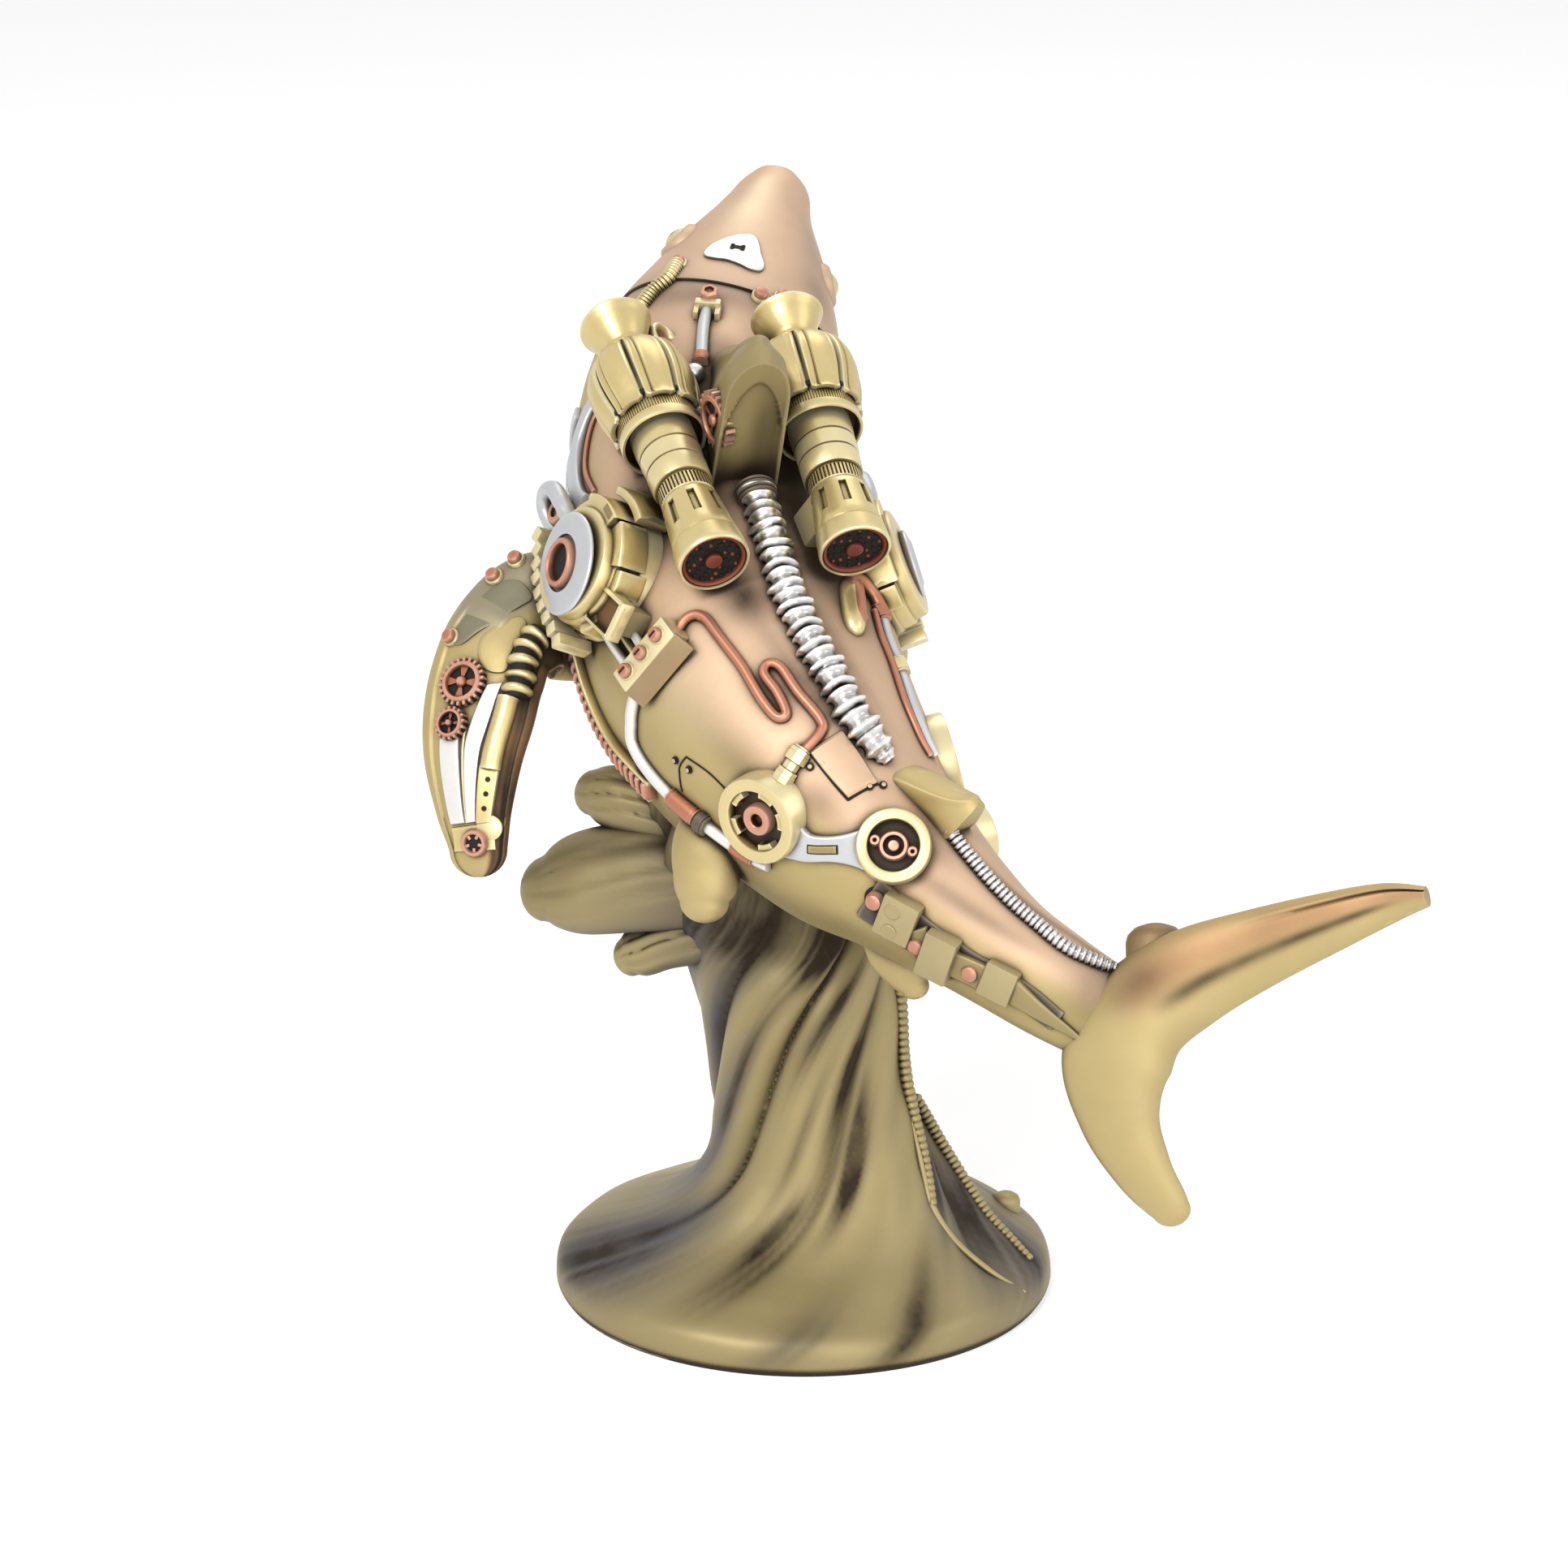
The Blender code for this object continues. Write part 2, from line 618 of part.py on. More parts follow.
def fins():
    port = skin(*PORT_FIN_ROOT)
    starboard = skin(*STARBOARD_FIN_ROOT)
    made = [
        blade("port_fin", PORT_FIN, port, PORT_FIN_FACING, FIN_RINGS, gold()),
        blade("starboard_fin", STARBOARD_FIN, starboard, STARBOARD_FIN_FACING, 8, gold()),
    ]
    t, degrees = PELVIC_PLACE
    for side, name in ((1, "port_pelvic_fin"), (-1, "starboard_pelvic_fin")):
        rows = [(x * side, y, z, c, h) for x, y, z, c, h in PELVIC_FIN]
        facing = (PELVIC_FACING[0] * side, PELVIC_FACING[1], PELVIC_FACING[2])
        made.append(blade(name, rows, skin(t, degrees * side), facing, 6, gold()))
    made.append(blade("anal_fin", ANAL_FIN, skin(*ANAL_PLACE), TAIL_FACING, 5, gold()))
    root = body_frame(1.0)[0]
    made.append(blade("tail_fin", TAIL_FIN, root, TAIL_FACING, TAIL_RINGS, gold()))
    return made


def back_fin(name, front, rear, height, top_chord, lean, half, front_half, material):
    """Fin on the back's middle line: blunt behind, rounded in front and domed on top."""
    start, end = skin(front, 0), skin(rear, 0)
    _, _, across, up, _, _, _ = body_frame(rear)
    way = (end - start).normalized()
    chord = (end - start).length
    rings = []
    for share, fill in ((0.0, 1.05), (0.25, 1.0), (0.55, 0.97), (0.8, 0.92), (0.93, 0.8), (1.0, 0.5)):
        rise = up * (share * (height + BACK_FIN_SINK) - BACK_FIN_SINK)
        back = end + rise - way * lean * share
        long = (chord + (top_chord - chord) * ease(share)) * (0.6 + 0.4 * min(fill, 1.0))
        wide, thin = half * fill, front_half * fill
        rings.append([
            back + across * wide,
            back + across * wide * 0.98 - way * long * 0.45,
            back + across * thin * 1.6 - way * long * 0.85,
            back - way * long,
            back - across * thin * 1.6 - way * long * 0.85,
            back - across * wide * 0.98 - way * long * 0.45,
            back - across * wide,
        ])
    return loft(name, rings, material)


def back_fins():
    return [
        back_fin(
            "dorsal_fin", DORSAL_FRONT, DORSAL_REAR, DORSAL_HEIGHT, DORSAL_TOP_CHORD,
            DORSAL_LEAN, DORSAL_HALF, DORSAL_FRONT_HALF, gold(),
        ),
        back_fin(
            "second_dorsal_fin", SECOND_DORSAL_FRONT, SECOND_DORSAL_REAR,
            SECOND_DORSAL_HEIGHT, SECOND_DORSAL_TOP_CHORD, SECOND_DORSAL_LEAN,
            SECOND_DORSAL_HALF, SECOND_DORSAL_FRONT_HALF, gold(),
        ),
    ]


def jet_place(ends):
    """Matrix at the funnel's rim, with Z running to the nozzle."""
    (t, degrees), (t_end, degrees_end) = ends
    start = seat(t, degrees, JET_LIFT).translation
    end = seat(t_end, degrees_end, JET_LIFT).translation
    way = (end - start).normalized()
    out = seat(t, degrees).to_3x3().col[2]
    side = out.cross(way).normalized()
    axes = Matrix((side, way.cross(side), way)).transposed().to_4x4()
    return Matrix.Translation(start) @ axes


def jet(name, ends):
    """Funnel, neck, petalled tank, collar, barrel and nozzle turned as one."""
    place = jet_place(ends)
    collar = PETAL_START + PETAL_LENGTH
    barrel = collar + COLLAR_LENGTH
    wide, narrow = BARREL_RADIUS * 1.12, BARREL_RADIUS * 0.95
    profile = (
        (NECK_RADIUS * 0.5, FUNNEL_LENGTH * 0.45),
        (FUNNEL_RADIUS * 0.92, 0.0),
        (FUNNEL_RADIUS, 0.9 * MM),
        (NECK_RADIUS, FUNNEL_LENGTH),
        (NECK_RADIUS, PETAL_START),
        (PETAL_RADIUS * 0.80, PETAL_START + PETAL_LENGTH * 0.12),
        (PETAL_RADIUS, PETAL_START + PETAL_LENGTH * 0.42),
        (PETAL_RADIUS * 0.97, PETAL_START + PETAL_LENGTH * 0.72),
        (PETAL_RADIUS * 0.82, collar - 0.6 * MM),
        (COLLAR_RADIUS, collar),
        (COLLAR_RADIUS, barrel),
        (wide, barrel + 0.6 * MM),
        (wide, barrel + BARREL_LENGTH * 0.42),
        (narrow, barrel + BARREL_LENGTH * 0.45),
        (narrow, barrel + BARREL_LENGTH * 0.72),
        (wide, barrel + BARREL_LENGTH * 0.75),
        (wide, barrel + BARREL_LENGTH),
        (NOZZLE_RADIUS, JET_LENGTH - 2 * MM),
        (NOZZLE_RADIUS, JET_LENGTH),
        (NOZZLE_RADIUS - NOZZLE_WALL, JET_LENGTH),
        (NOZZLE_RADIUS - NOZZLE_WALL, JET_LENGTH - NOZZLE_RECESS),
    )
    made = [
        turned(
            name, profile, PETALS * 2, place, gold(),
            notch=PETAL_GROOVE, every=2, rows=(5, 6, 7),
        )
    ]
    for n, share in enumerate((0.42, 0.85)):
        here = place @ Vector((0, 0, JET_LENGTH * share))
        (t, degrees), (t_end, degrees_end) = ends
        t_here = t + (t_end - t) * share
        degrees_here = degrees + (degrees_end - degrees) * share
        under = seat(t_here, degrees_here)
        height = (here - under.translation).length
        size = (JET_SADDLE, JET_SADDLE * 0.7, height)
        made.append(block(f"{name}_saddle_{n + 1}", size, under, bronze(), sink=4 * MM))
    return made


def wheel(name, t, degrees):
    """Shoulder wheel: drum with blocks round its rim, and a disc with a hub on top."""
    place = seat(t, degrees)
    drum = (
        (WHEEL_RADIUS, -WHEEL_SINK),
        (WHEEL_RADIUS, WHEEL_HEIGHT - 2 * MM),
        (WHEEL_RADIUS - 2 * MM, WHEEL_HEIGHT),
        (WHEEL_DISC_RADIUS + 0.6 * MM, WHEEL_HEIGHT),
        (WHEEL_DISC_RADIUS, WHEEL_DISC_HEIGHT - 0.6 * MM),
        (WHEEL_DISC_RADIUS - 0.6 * MM, WHEEL_DISC_HEIGHT),
        (WHEEL_HUB_RADIUS, WHEEL_DISC_HEIGHT),
        (WHEEL_HOLE_RADIUS, WHEEL_DISC_HEIGHT - 0.8 * MM),
        (WHEEL_HOLE_RADIUS, WHEEL_DISC_HEIGHT - WHEEL_HOLE_DEPTH),
    )
    made = [turned(name, drum, 18, place, gold())]
    x, y, z = WHEEL_BLOCK
    for k in range(WHEEL_BLOCKS):
        spot = Matrix.Rotation(2 * math.pi * (k + 0.5) / WHEEL_BLOCKS, 4, "Z")
        spot = place @ spot @ Matrix.Translation((WHEEL_RADIUS, 0, WHEEL_HEIGHT - z))
        made.append(block(f"{name}_block_{k + 1}", (x, y, z - 1 * MM), spot, gold(), taper=0.85))
    return made


def ring_joint(name, t, degrees, radius):
    r = radius * MM
    inner = r * (1 - RING_WALL)
    profile = (
        (r, -RING_SINK),
        (r, RING_HEIGHT * 0.85),
        (r - 0.8 * MM, RING_HEIGHT),
        (inner, RING_HEIGHT),
        (inner * 0.96, RING_HEIGHT * 0.35),
        (r * HUB_SHARE, RING_HEIGHT * 0.35),
        (r * HUB_SHARE * 0.92, RING_HEIGHT * 0.8),
        (r * HUB_HOLE_SHARE, RING_HEIGHT * 0.8),
        (r * HUB_HOLE_SHARE, RING_HEIGHT * 0.4),
    )
    return turned(name, profile, 12, seat(t, degrees), gold())


def joints_and_straps():
    made = []
    for n, (t, degrees, radius) in enumerate(RING_JOINTS):
        made.append(ring_joint(f"ring_joint_{n + 1}", t, degrees, radius))
    for n, rows in enumerate(STRAPS):
        made.append(ribbon(f"strap_{n + 1}", rows, STRAP_WIDTH, STRAP_HEIGHT, 2 * MM, silver()))
    return made


def bolt(name, place, material):
    profile = ((BOLT_RADIUS, -BOLT_SINK), (BOLT_RADIUS, BOLT_HEIGHT * 0.6), (BOLT_RADIUS * 0.6, BOLT_HEIGHT))
    return turned(name, profile, 6, place, material)


def hoses():
    spine = skin_path(SPINE_HOSE, 16, HOSE_LIFT)
    tail = skin_path(TAIL_HOSE, 16, HOSE_LIFT)
    return [
        ridged(
            "spine_hose", spine, SPINE_HOSE_RIDGES, SPINE_HOSE_RADIUS, SPINE_HOSE_NECK, 6, silver()
        ),
        ridged("tail_hose", tail, TAIL_HOSE_RIDGES, TAIL_HOSE_RADIUS, TAIL_HOSE_NECK, 6, silver()),
    ]


def pipes():
    made = [
        pipe("copper_pipe", COPPER_PIPE, PIPE_RADIUS, copper(), steps=1),
        pipe("flank_pipe", FLANK_PIPE, PIPE_RADIUS * 1.2, silver()),
        pipe("head_pipe", HEAD_PIPE, PIPE_RADIUS, silver()),
        pipe("head_hose", HEAD_HOSE, PIPE_RADIUS, gold()),
        pipe("starboard_arch", STARBOARD_ARCH, PIPE_RADIUS, copper()),
        pipe("starboard_pipe", STARBOARD_PIPE, PIPE_RADIUS * 1.2, silver()),
    ]
    for n, ends in enumerate(ROD_ENDS):
        made.append(pipe(f"rod_{n + 1}", ends, PIPE_RADIUS * 0.8, silver(), steps=3))
    return made


def fittings():
    """Valve box, tail clamps, bolts, head plate, eyelet, eyes, gill bands and track."""
    box = seat(*VALVE_BOX_PLACE)
    made = [block("valve_box", VALVE_BOX, box, gold(), sink=CLAMP_SINK)]
    for k in (-1, 0, 1):
        spot = box @ Matrix.Translation((0, k * VALVE_BOLT_STEP, VALVE_BOX[2]))
        made.append(bolt(f"valve_bolt_{k + 2}", spot, copper()))
    for n, (t, degrees, length, width, height) in enumerate(TAIL_CLAMPS):
        size = (length * MM, width * MM, height * MM)
        made.append(block(f"tail_clamp_{n + 1}", size, seat(t, degrees), gold(), sink=CLAMP_SINK))
    for n, (t, degrees) in enumerate(BOLTS):
        made.append(bolt(f"bolt_{n + 1}", seat(t, degrees), copper()))
    made.append(block("head_plate", HEAD_PLATE, seat(*HEAD_PLATE_PLACE), silver(), sink=1 * MM))
    for n, (t, degrees) in enumerate(EYES):
        profile = (
            (EYE_RADIUS, -3 * MM),
            (EYE_RADIUS, EYE_HEIGHT * 0.4),
            (EYE_RADIUS * 0.8, EYE_HEIGHT * 0.85),
            (EYE_RADIUS * 0.35, EYE_HEIGHT),
        )
        made.append(turned(f"eye_{n + 1}", profile, 14, seat(t, degrees), gold()))
    for side, name in ((1, "port"), (-1, "starboard")):
        for n, (t, first, last) in enumerate(GILL_BANDS):
            rows = [(t, side * (first + (last - first) * k / 4)) for k in range(5)]
            band = ribbon(f"{name}_gill_{n + 1}", rows, GILL_WIDTH, GILL_HEIGHT, 2 * MM, silver(), 1)
            made.append(band)
    made.append(ribbon("track", TRACK, TRACK_WIDTH, TRACK_HEIGHT, 2 * MM, copper()))
    return made


def eyelet():
    place = seat(*EYELET_PLACE, lift=EYELET_RADIUS * 0.5)
    bm = bmesh.new()
    loops = []
    for i in range(10):
        a = 2 * math.pi * i / 10
        ring = []
        for k in range(6):
            b = 2 * math.pi * k / 6
            r = EYELET_RADIUS + EYELET_WIRE * math.cos(b)
            spot = Vector((r * math.cos(a), EYELET_WIRE * math.sin(b), r * math.sin(a)))
            ring.append(bm.verts.new(place @ spot))
        loops.append(ring)
    for i in range(10):
        for k in range(6):
            a, b = loops[i], loops[(i + 1) % 10]
            j = (k + 1) % 6
            bm.faces.new((a[k], a[j], b[j], b[k]))
    return mesh_object("eyelet", bm, gold())


def fin_seat(u, v):
    """Placing matrix on the port fin's outer face: u along it, v across it from -1 to 1."""
    base = skin(*PORT_FIN_ROOT)
    a = math.acos(v)
    here = blade_point(PORT_FIN, base, PORT_FIN_FACING, u, a)
    ahead = blade_point(PORT_FIN, base, PORT_FIN_FACING, u + 0.02, a)
    out = Vector(PORT_FIN_FACING)
    way = (ahead - here).normalized()
    out = (out - way * out.dot(way)).normalized()
    axes = Matrix((way, out.cross(way), out)).transposed().to_4x4()
    return Matrix.Translation(here) @ axes


def fin_work():
    made = []
    for n, (u, v, radius) in enumerate(FIN_GEARS):
        r = radius * MM
        profile = ((r, -2 * MM), (r, FIN_RAISE))
        made.append(
            turned(f"fin_gear_{n + 1}", profile, 16, fin_seat(u, v), copper(), notch=0.9 * MM, every=2, rows=(0, 1))
        )
    u, v, radius = FIN_TIP_RING
    profile = ((radius * MM, -2 * MM), (radius * MM, FIN_RAISE), (radius * 0.5 * MM, FIN_RAISE))
    made.append(turned("fin_tip_ring", profile, 12, fin_seat(u, v), copper()))
    u, v, length, width = FIN_BAR
    made.append(block("fin_bar", (length, width, FIN_RAISE), fin_seat(u, v), gold(), sink=2 * MM))
    base = skin(*PORT_FIN_ROOT)
    line = []
    for k in range(6):
        u, v = [a + (b - a) * k / 5 for a, b in zip(*FIN_COIL)]
        line.append(blade_point(PORT_FIN, base, PORT_FIN_FACING, u, math.acos(v), FIN_RAISE / 2))
    made.append(
        ridged("fin_coil", line, FIN_COIL_RIDGES, FIN_COIL_RADIUS, FIN_COIL_NECK, 8, bronze())
    )
    return made


def tail_dome():
    spot = body_frame(1.0)[0] + Vector(TAIL_DOME_PLACE) * MM
    r = TAIL_DOME_RADIUS
    profile = ((r, -r), (r, 0), (r * 0.75, r * 0.45), (r * 0.3, r * 0.6))
    place = Matrix.Translation(spot) @ Matrix.Rotation(math.radians(-35), 4, "X")
    return turned("tail_dome", profile, 12, place, copper())


def mouth_cutters():
    """Groove of the mouth, on both sides of the lower jaw."""
    made = []
    for side, name in ((1, "port"), (-1, "starboard")):
        rows = [(t, side * degrees) for t, degrees in MOUTH]
        points = skin_path(rows, 9, 0.0)
        made.append(tube(f"{name}_mouth", points, [MOUTH_RADIUS] * 9, 6, bronze()))
    return made


def hide(objects, group):
    """Keep the shapes as the Boolean's operands only."""
    bpy.context.scene.collection.children.link(group)
    for made in objects:
        bpy.context.scene.collection.objects.unlink(made)
        group.objects.link(made)
        made.hide_render = True
        made.display_type = "WIRE"


def combine(body, shapes, operation):
    group = bpy.data.collections.new(operation.lower())
    hide(shapes, group)
    step = body.modifiers.new(operation.lower(), "BOOLEAN")
    step.operation = operation
    step.operand_type = "COLLECTION"
    step.collection = group
    step.solver = "EXACT"


def join_flat_facets(body):
    """Merge facets that lie nearly in one plane, then cut the result into triangles."""
    flat = body.modifiers.new("flat_facets", "DECIMATE")
    flat.decimate_type = "DISSOLVE"
    flat.angle_limit = math.radians(FLAT_ANGLE)
    body.modifiers.new("triangles", "TRIANGULATE")


def clear_scene():
    for old in list(bpy.data.objects):
        bpy.data.objects.remove(old)


def main():
    clear_scene()
    figurine = shark_body()
    shapes = wave_column() + splash_lobes() + foot_hoses() + fins() + back_fins()
    for name, ends in zip(("port_jet", "starboard_jet"), JETS):
        shapes += jet(name, ends)
    for name, (t, degrees) in zip(("port_wheel", "starboard_wheel"), WHEELS):
        shapes += wheel(name, t, degrees)
    shapes += joints_and_straps() + hoses() + pipes() + fittings() + fin_work()
    shapes += [eyelet(), tail_dome()]
    combine(figurine, shapes, "UNION")
    combine(figurine, mouth_cutters(), "DIFFERENCE")
    join_flat_facets(figurine)


if __name__ == "__main__":
    main()
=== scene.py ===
"""Looks of the clockwork shark figurine: its painted metal finish and the detail of every fitting.

A place on the shark is (t, degrees): t runs from 0 at the snout to 1 at the tail root, and degrees
from 0 on the back up to 180 to port and down to -180 to starboard. Sizes named in MM tables are in
millimetres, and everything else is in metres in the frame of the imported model.
"""

import math
from functools import lru_cache

import bmesh
import bpy
from mathutils import Matrix, Vector, noise


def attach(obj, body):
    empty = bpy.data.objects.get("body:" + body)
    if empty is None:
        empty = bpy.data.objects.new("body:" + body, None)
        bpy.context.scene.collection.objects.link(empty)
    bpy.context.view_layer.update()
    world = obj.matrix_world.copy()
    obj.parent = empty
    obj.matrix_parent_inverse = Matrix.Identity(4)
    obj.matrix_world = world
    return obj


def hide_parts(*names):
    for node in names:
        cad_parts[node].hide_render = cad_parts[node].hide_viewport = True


bl_info = {
    "name": "Clockwork Shark Figurine",
    "version": (1, 0, 0),
    "blender": (4, 5, 0),
    "location": "3D View > Sidebar > Shark",
    "description": "Builds a painted resin shark with clockwork fittings, leaping over a wave",
    "category": "Add Mesh",
}

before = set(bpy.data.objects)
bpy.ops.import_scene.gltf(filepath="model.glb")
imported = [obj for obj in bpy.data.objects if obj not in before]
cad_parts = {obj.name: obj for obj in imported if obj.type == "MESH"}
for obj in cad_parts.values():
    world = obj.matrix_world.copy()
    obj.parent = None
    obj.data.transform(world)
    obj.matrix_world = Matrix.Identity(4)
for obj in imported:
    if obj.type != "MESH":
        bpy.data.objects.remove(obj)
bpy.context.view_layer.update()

MM = 0.001
TURN = 2 * math.pi
NODE = "figurine"

# Shark's middle line from snout to tail root, in mm:
# x, y, z, half width, height of the back above it, depth of the belly below it.
BODY_STATIONS = (
    (-6.5, 110.5, 240.5, 4.0, 4.0, 4.0),
    (-7.5, 106.5, 235.0, 8.5, 8.0, 8.5),
    (-9.5, 100.5, 229.5, 12.5, 11.5, 12.5),
    (-12.0, 93.0, 222.5, 18.0, 15.5, 17.0),
    (-15.0, 84.5, 214.0, 23.5, 20.0, 22.0),
    (-18.5, 73.0, 204.0, 28.5, 25.0, 27.5),
    (-21.0, 59.0, 192.5, 31.5, 29.0, 31.0),
    (-21.0, 40.5, 180.5, 33.0, 31.5, 33.0),
    (-19.5, 22.5, 168.0, 34.5, 33.0, 37.0),
    (-14.5, 3.0, 154.5, 34.5, 33.0, 37.0),
    (-6.5, -14.0, 142.5, 32.0, 31.0, 34.0),
    (3.5, -29.0, 132.0, 27.5, 28.0, 28.5),
    (12.5, -39.0, 123.5, 23.0, 24.0, 24.0),
    (23.0, -48.0, 116.5, 18.0, 19.0, 19.0),
    (33.0, -55.5, 110.0, 14.5, 15.5, 15.5),
    (43.5, -62.5, 103.5, 11.5, 13.0, 13.0),
    (54.0, -68.5, 98.0, 9.5, 12.0, 12.0),
    (64.5, -73.5, 93.0, 7.0, 11.0, 11.0),
)
# The way the back faces, at even steps from snout to tail root.
BACK_WAYS = (
    (0.16, -0.46, 0.87),
    (0.12, -0.47, 0.88),
    (0.14, -0.46, 0.87),
    (0.34, -0.37, 0.86),
    (0.60, -0.05, 0.80),
)
BELLY_POWER = 0.85
# Seam between the head's shell and the body: its t on the back, and how much t falls a degree.
NECK_SEAM = 0.2845
NECK_SLANT = 0.00012
NECK_STEP = 0.55 * MM
# Smoke and painted shade on the body, such as the shadows under the nozzles:
# t, degrees, reach in t, reach in degrees, strength.
SMOKE_AND_SHADE = (
    (0.300, 20, 0.014, 40, 0.40),
    (0.372, 2, 0.020, 8, 0.45),
    (0.430, -14, 0.080, 7, 0.75),
    (0.440, 17, 0.060, 7, 0.55),
    (0.492, 4, 0.020, 16, 0.45),
    (0.500, -20, 0.060, 9, 0.60),
    (0.487, 38, 0.026, 8, 0.95),
    (0.520, 78, 0.020, 10, 0.80),
    (0.562, 17, 0.016, 9, 0.95),
    (0.552, -17, 0.016, 7, 0.60),
    (0.420, 4, 0.030, 7, 0.60),
    (0.580, -26, 0.030, 12, 0.50),
    (0.625, 34, 0.018, 7, 0.45),
    (0.630, 18, 0.040, 4, 0.45),
    (0.610, -6, 0.060, 5, 0.40),
    (0.650, 64, 0.030, 8, 0.35),
    (0.700, 52, 0.020, 10, 0.35),
    (0.790, 30, 0.020, 14, 0.35),
    (0.840, 52, 0.080, 9, 0.45),
    (0.900, 8, 0.110, 7, 0.50),
    (0.985, 60, 0.030, 45, 0.55),
    (0.690, 120, 0.200, 16, 0.45),
    (0.190, 70, 0.022, 10, 0.50),
    (0.190, -84, 0.022, 10, 0.50),
    (0.240, -50, 0.030, 14, 0.30),
)

# Wave column, in mm: height, radius, x, y, and how far its ring has turned to lie along the belly.
WAVE_STATIONS = (
    (0.0, 57.0, 0.0, 0.0, 0.0),
    (2.5, 58.0, 0.0, 0.0, 0.0),
    (8.0, 56.5, 0.0, 0.0, 0.0),
    (12.5, 49.0, 1.2, 0.0, 0.0),
    (17.5, 40.0, 3.4, 0.0, 0.0),
    (23.0, 33.8, 4.8, 0.0, 0.0),
    (29.0, 29.5, 5.0, 0.0, 0.0),
    (36.0, 26.4, 4.2, 0.0, 0.0),
    (46.0, 24.4, 2.4, 0.0, 0.0),
    (58.0, 23.4, 0.8, 0.0, 0.0),
    (70.0, 23.8, -0.8, 0.0, 0.1),
    (81.0, 24.7, -2.6, 0.5, 0.3),
    (92.0, 26.0, -5.0, 1.5, 0.6),
    (104.0, 27.5, -8.0, 3.0, 0.9),
    (124.0, 25.0, -11.0, 5.0, 1.0),
)
FLUTES = 6
FLUTE_DEPTH = 3.2 * MM
FLUTE_TURN = 0.42
FLUTE_START = 9.0 * MM
FLUTE_FULL = 32.0 * MM
SPLASH_FACING = (-0.25, -0.75, 0.55)
# Splash lobes from the column out to their tips, in mm: x, y, z, half width, half thickness.
SPLASH_LOBES = (
    (
        (-8, -3, 101, 8, 6),
        (-22, 0, 110, 8, 6.5),
        (-35, 4, 114, 8, 6.5),
        (-45.5, 9, 116, 7, 5.5),
        (-51.5, 12, 115.5, 2.5, 2),
    ),
    (
        (-6, -3, 96, 10, 7),
        (-20, -7, 100, 11.5, 7.5),
        (-35, -4, 100.5, 13, 7),
        (-50, 1, 97.5, 12.5, 6.5),
        (-58, 4, 95, 9, 5),
        (-61.5, 5, 94, 3, 2),
    ),
    (
        (-6, -5, 86, 7, 6),
        (-20, -9, 89, 7.5, 6.5),
        (-31, -7, 86.5, 7, 6),
        (-38, -5, 82.5, 6, 5),
        (-41.5, -4, 80, 2.5, 2),
    ),
    ((-6, 6, 100, 9, 7), (-18, 26, 110, 10, 7), (-26, 40, 112, 9, 6), (-29, 47, 110, 3, 2)),
    ((4, 6, 94, 9, 7), (14, 26, 100, 9.5, 7), (20, 38, 101, 8, 6), (23, 45, 99, 3, 2)),
)
# Gold hoses down the foot of the wave, as turn in degrees from +X and height in mm.
FOOT_HOSES = (
    ((-18, 80), (-20, 66), (-23, 54), (-25, 44), (-30, 35), (-39, 26)),
    ((6, 44), (3, 36), (-2, 28), (-7, 21), (-11, 15), (-15, 10)),
)
FOOT_BUMP_PLACE = (14, 13)
FOOT_EDGE = ((-27, 44), (-35, 32), (-39, 25), (-36, 18), (-32, 12), (-27, 7))
# Painted patches of the wave: degrees and height in mm, reach in both, then the strength of
# the smoke and painted shade, and of the blue-grey painted shade.
WAVE_PATCHES = (
    (282, 99, 12, 16, 0.95, 0.0), (288, 78, 6, 18, 0.95, 0.0), (296, 60, 5, 16, 0.90, 0.0),
    (294, 44, 6, 12, 0.95, 0.0), (284, 34, 5, 10, 0.90, 0.0), (250, 24, 7, 7, 0.95, 0.0),
    (248, 16, 7, 5, 0.75, 0.0), (198, 11, 22, 6, 0.75, 0.8), (204, 19, 16, 8, 0.35, 0.8),
    (198, 92, 16, 24, 0.35, 0.9), (205, 66, 9, 24, 0.25, 0.9), (214, 48, 8, 18, 0.35, 0.6),
    (180, 28, 20, 12, 0.30, 0.6), (268, 8, 7, 6, 0.50, 0.2), (300, 12, 6, 7, 0.55, 0.0),
    (294, 6, 5, 5, 0.55, 0.0), (341, 20, 11, 10, 0.80, 0.8), (333, 31, 7, 10, 0.75, 0.7),
    (348, 11, 9, 6, 0.75, 0.8), (236, 100, 26, 14, 0.55, 0.3), (232, 60, 5, 22, 0.55, 0.0),
    (262, 44, 4, 18, 0.45, 0.0), (310, 70, 5, 16, 0.55, 0.0), (60, 40, 60, 40, 0.30, 0.4),
    (120, 60, 40, 40, 0.35, 0.3),
)

# Fins as offsets in mm from their place on the skin: x, y, z, half chord, half thickness.
PORT_FIN_ROOT = (0.490, 100)
PORT_FIN_FACING = (-0.40, -0.87, 0.28)
PORT_FIN = (
    (14, 4, 0, 15, 6),
    (1, 1, 0, 15, 6.5),
    (-9, -4, 1, 14.5, 6),
    (-16, -10, -4, 14.0, 5.5),
    (-19, -15, -11, 14.3, 5),
    (-20.5, -20, -18, 14.0, 4.6),
    (-21.5, -25, -26, 12.4, 4.2),
    (-21.3, -30, -36, 9.6, 3.6),
    (-20.5, -32.5, -43, 7.6, 3),
    (-20.2, -34, -47.5, 6.6, 2.4),
)
STARBOARD_FIN_ROOT = (0.470, -112)
STARBOARD_FIN_FACING = (0.90, 0.0, 0.38)
STARBOARD_FIN = (
    (-12, -4, 6, 14, 6),
    (0, 0, 0, 14.5, 6.5),
    (6, 10, -5, 14, 5.5),
    (8, 21, -12, 13, 5),
    (7, 32, -20, 11, 4.2),
    (4, 42, -29, 8, 3.4),
    (1, 49, -36, 2.5, 1.5),
)
PELVIC_PLACE = (0.645, 116)
PELVIC_FACING = (-0.30, -0.90, 0.30)
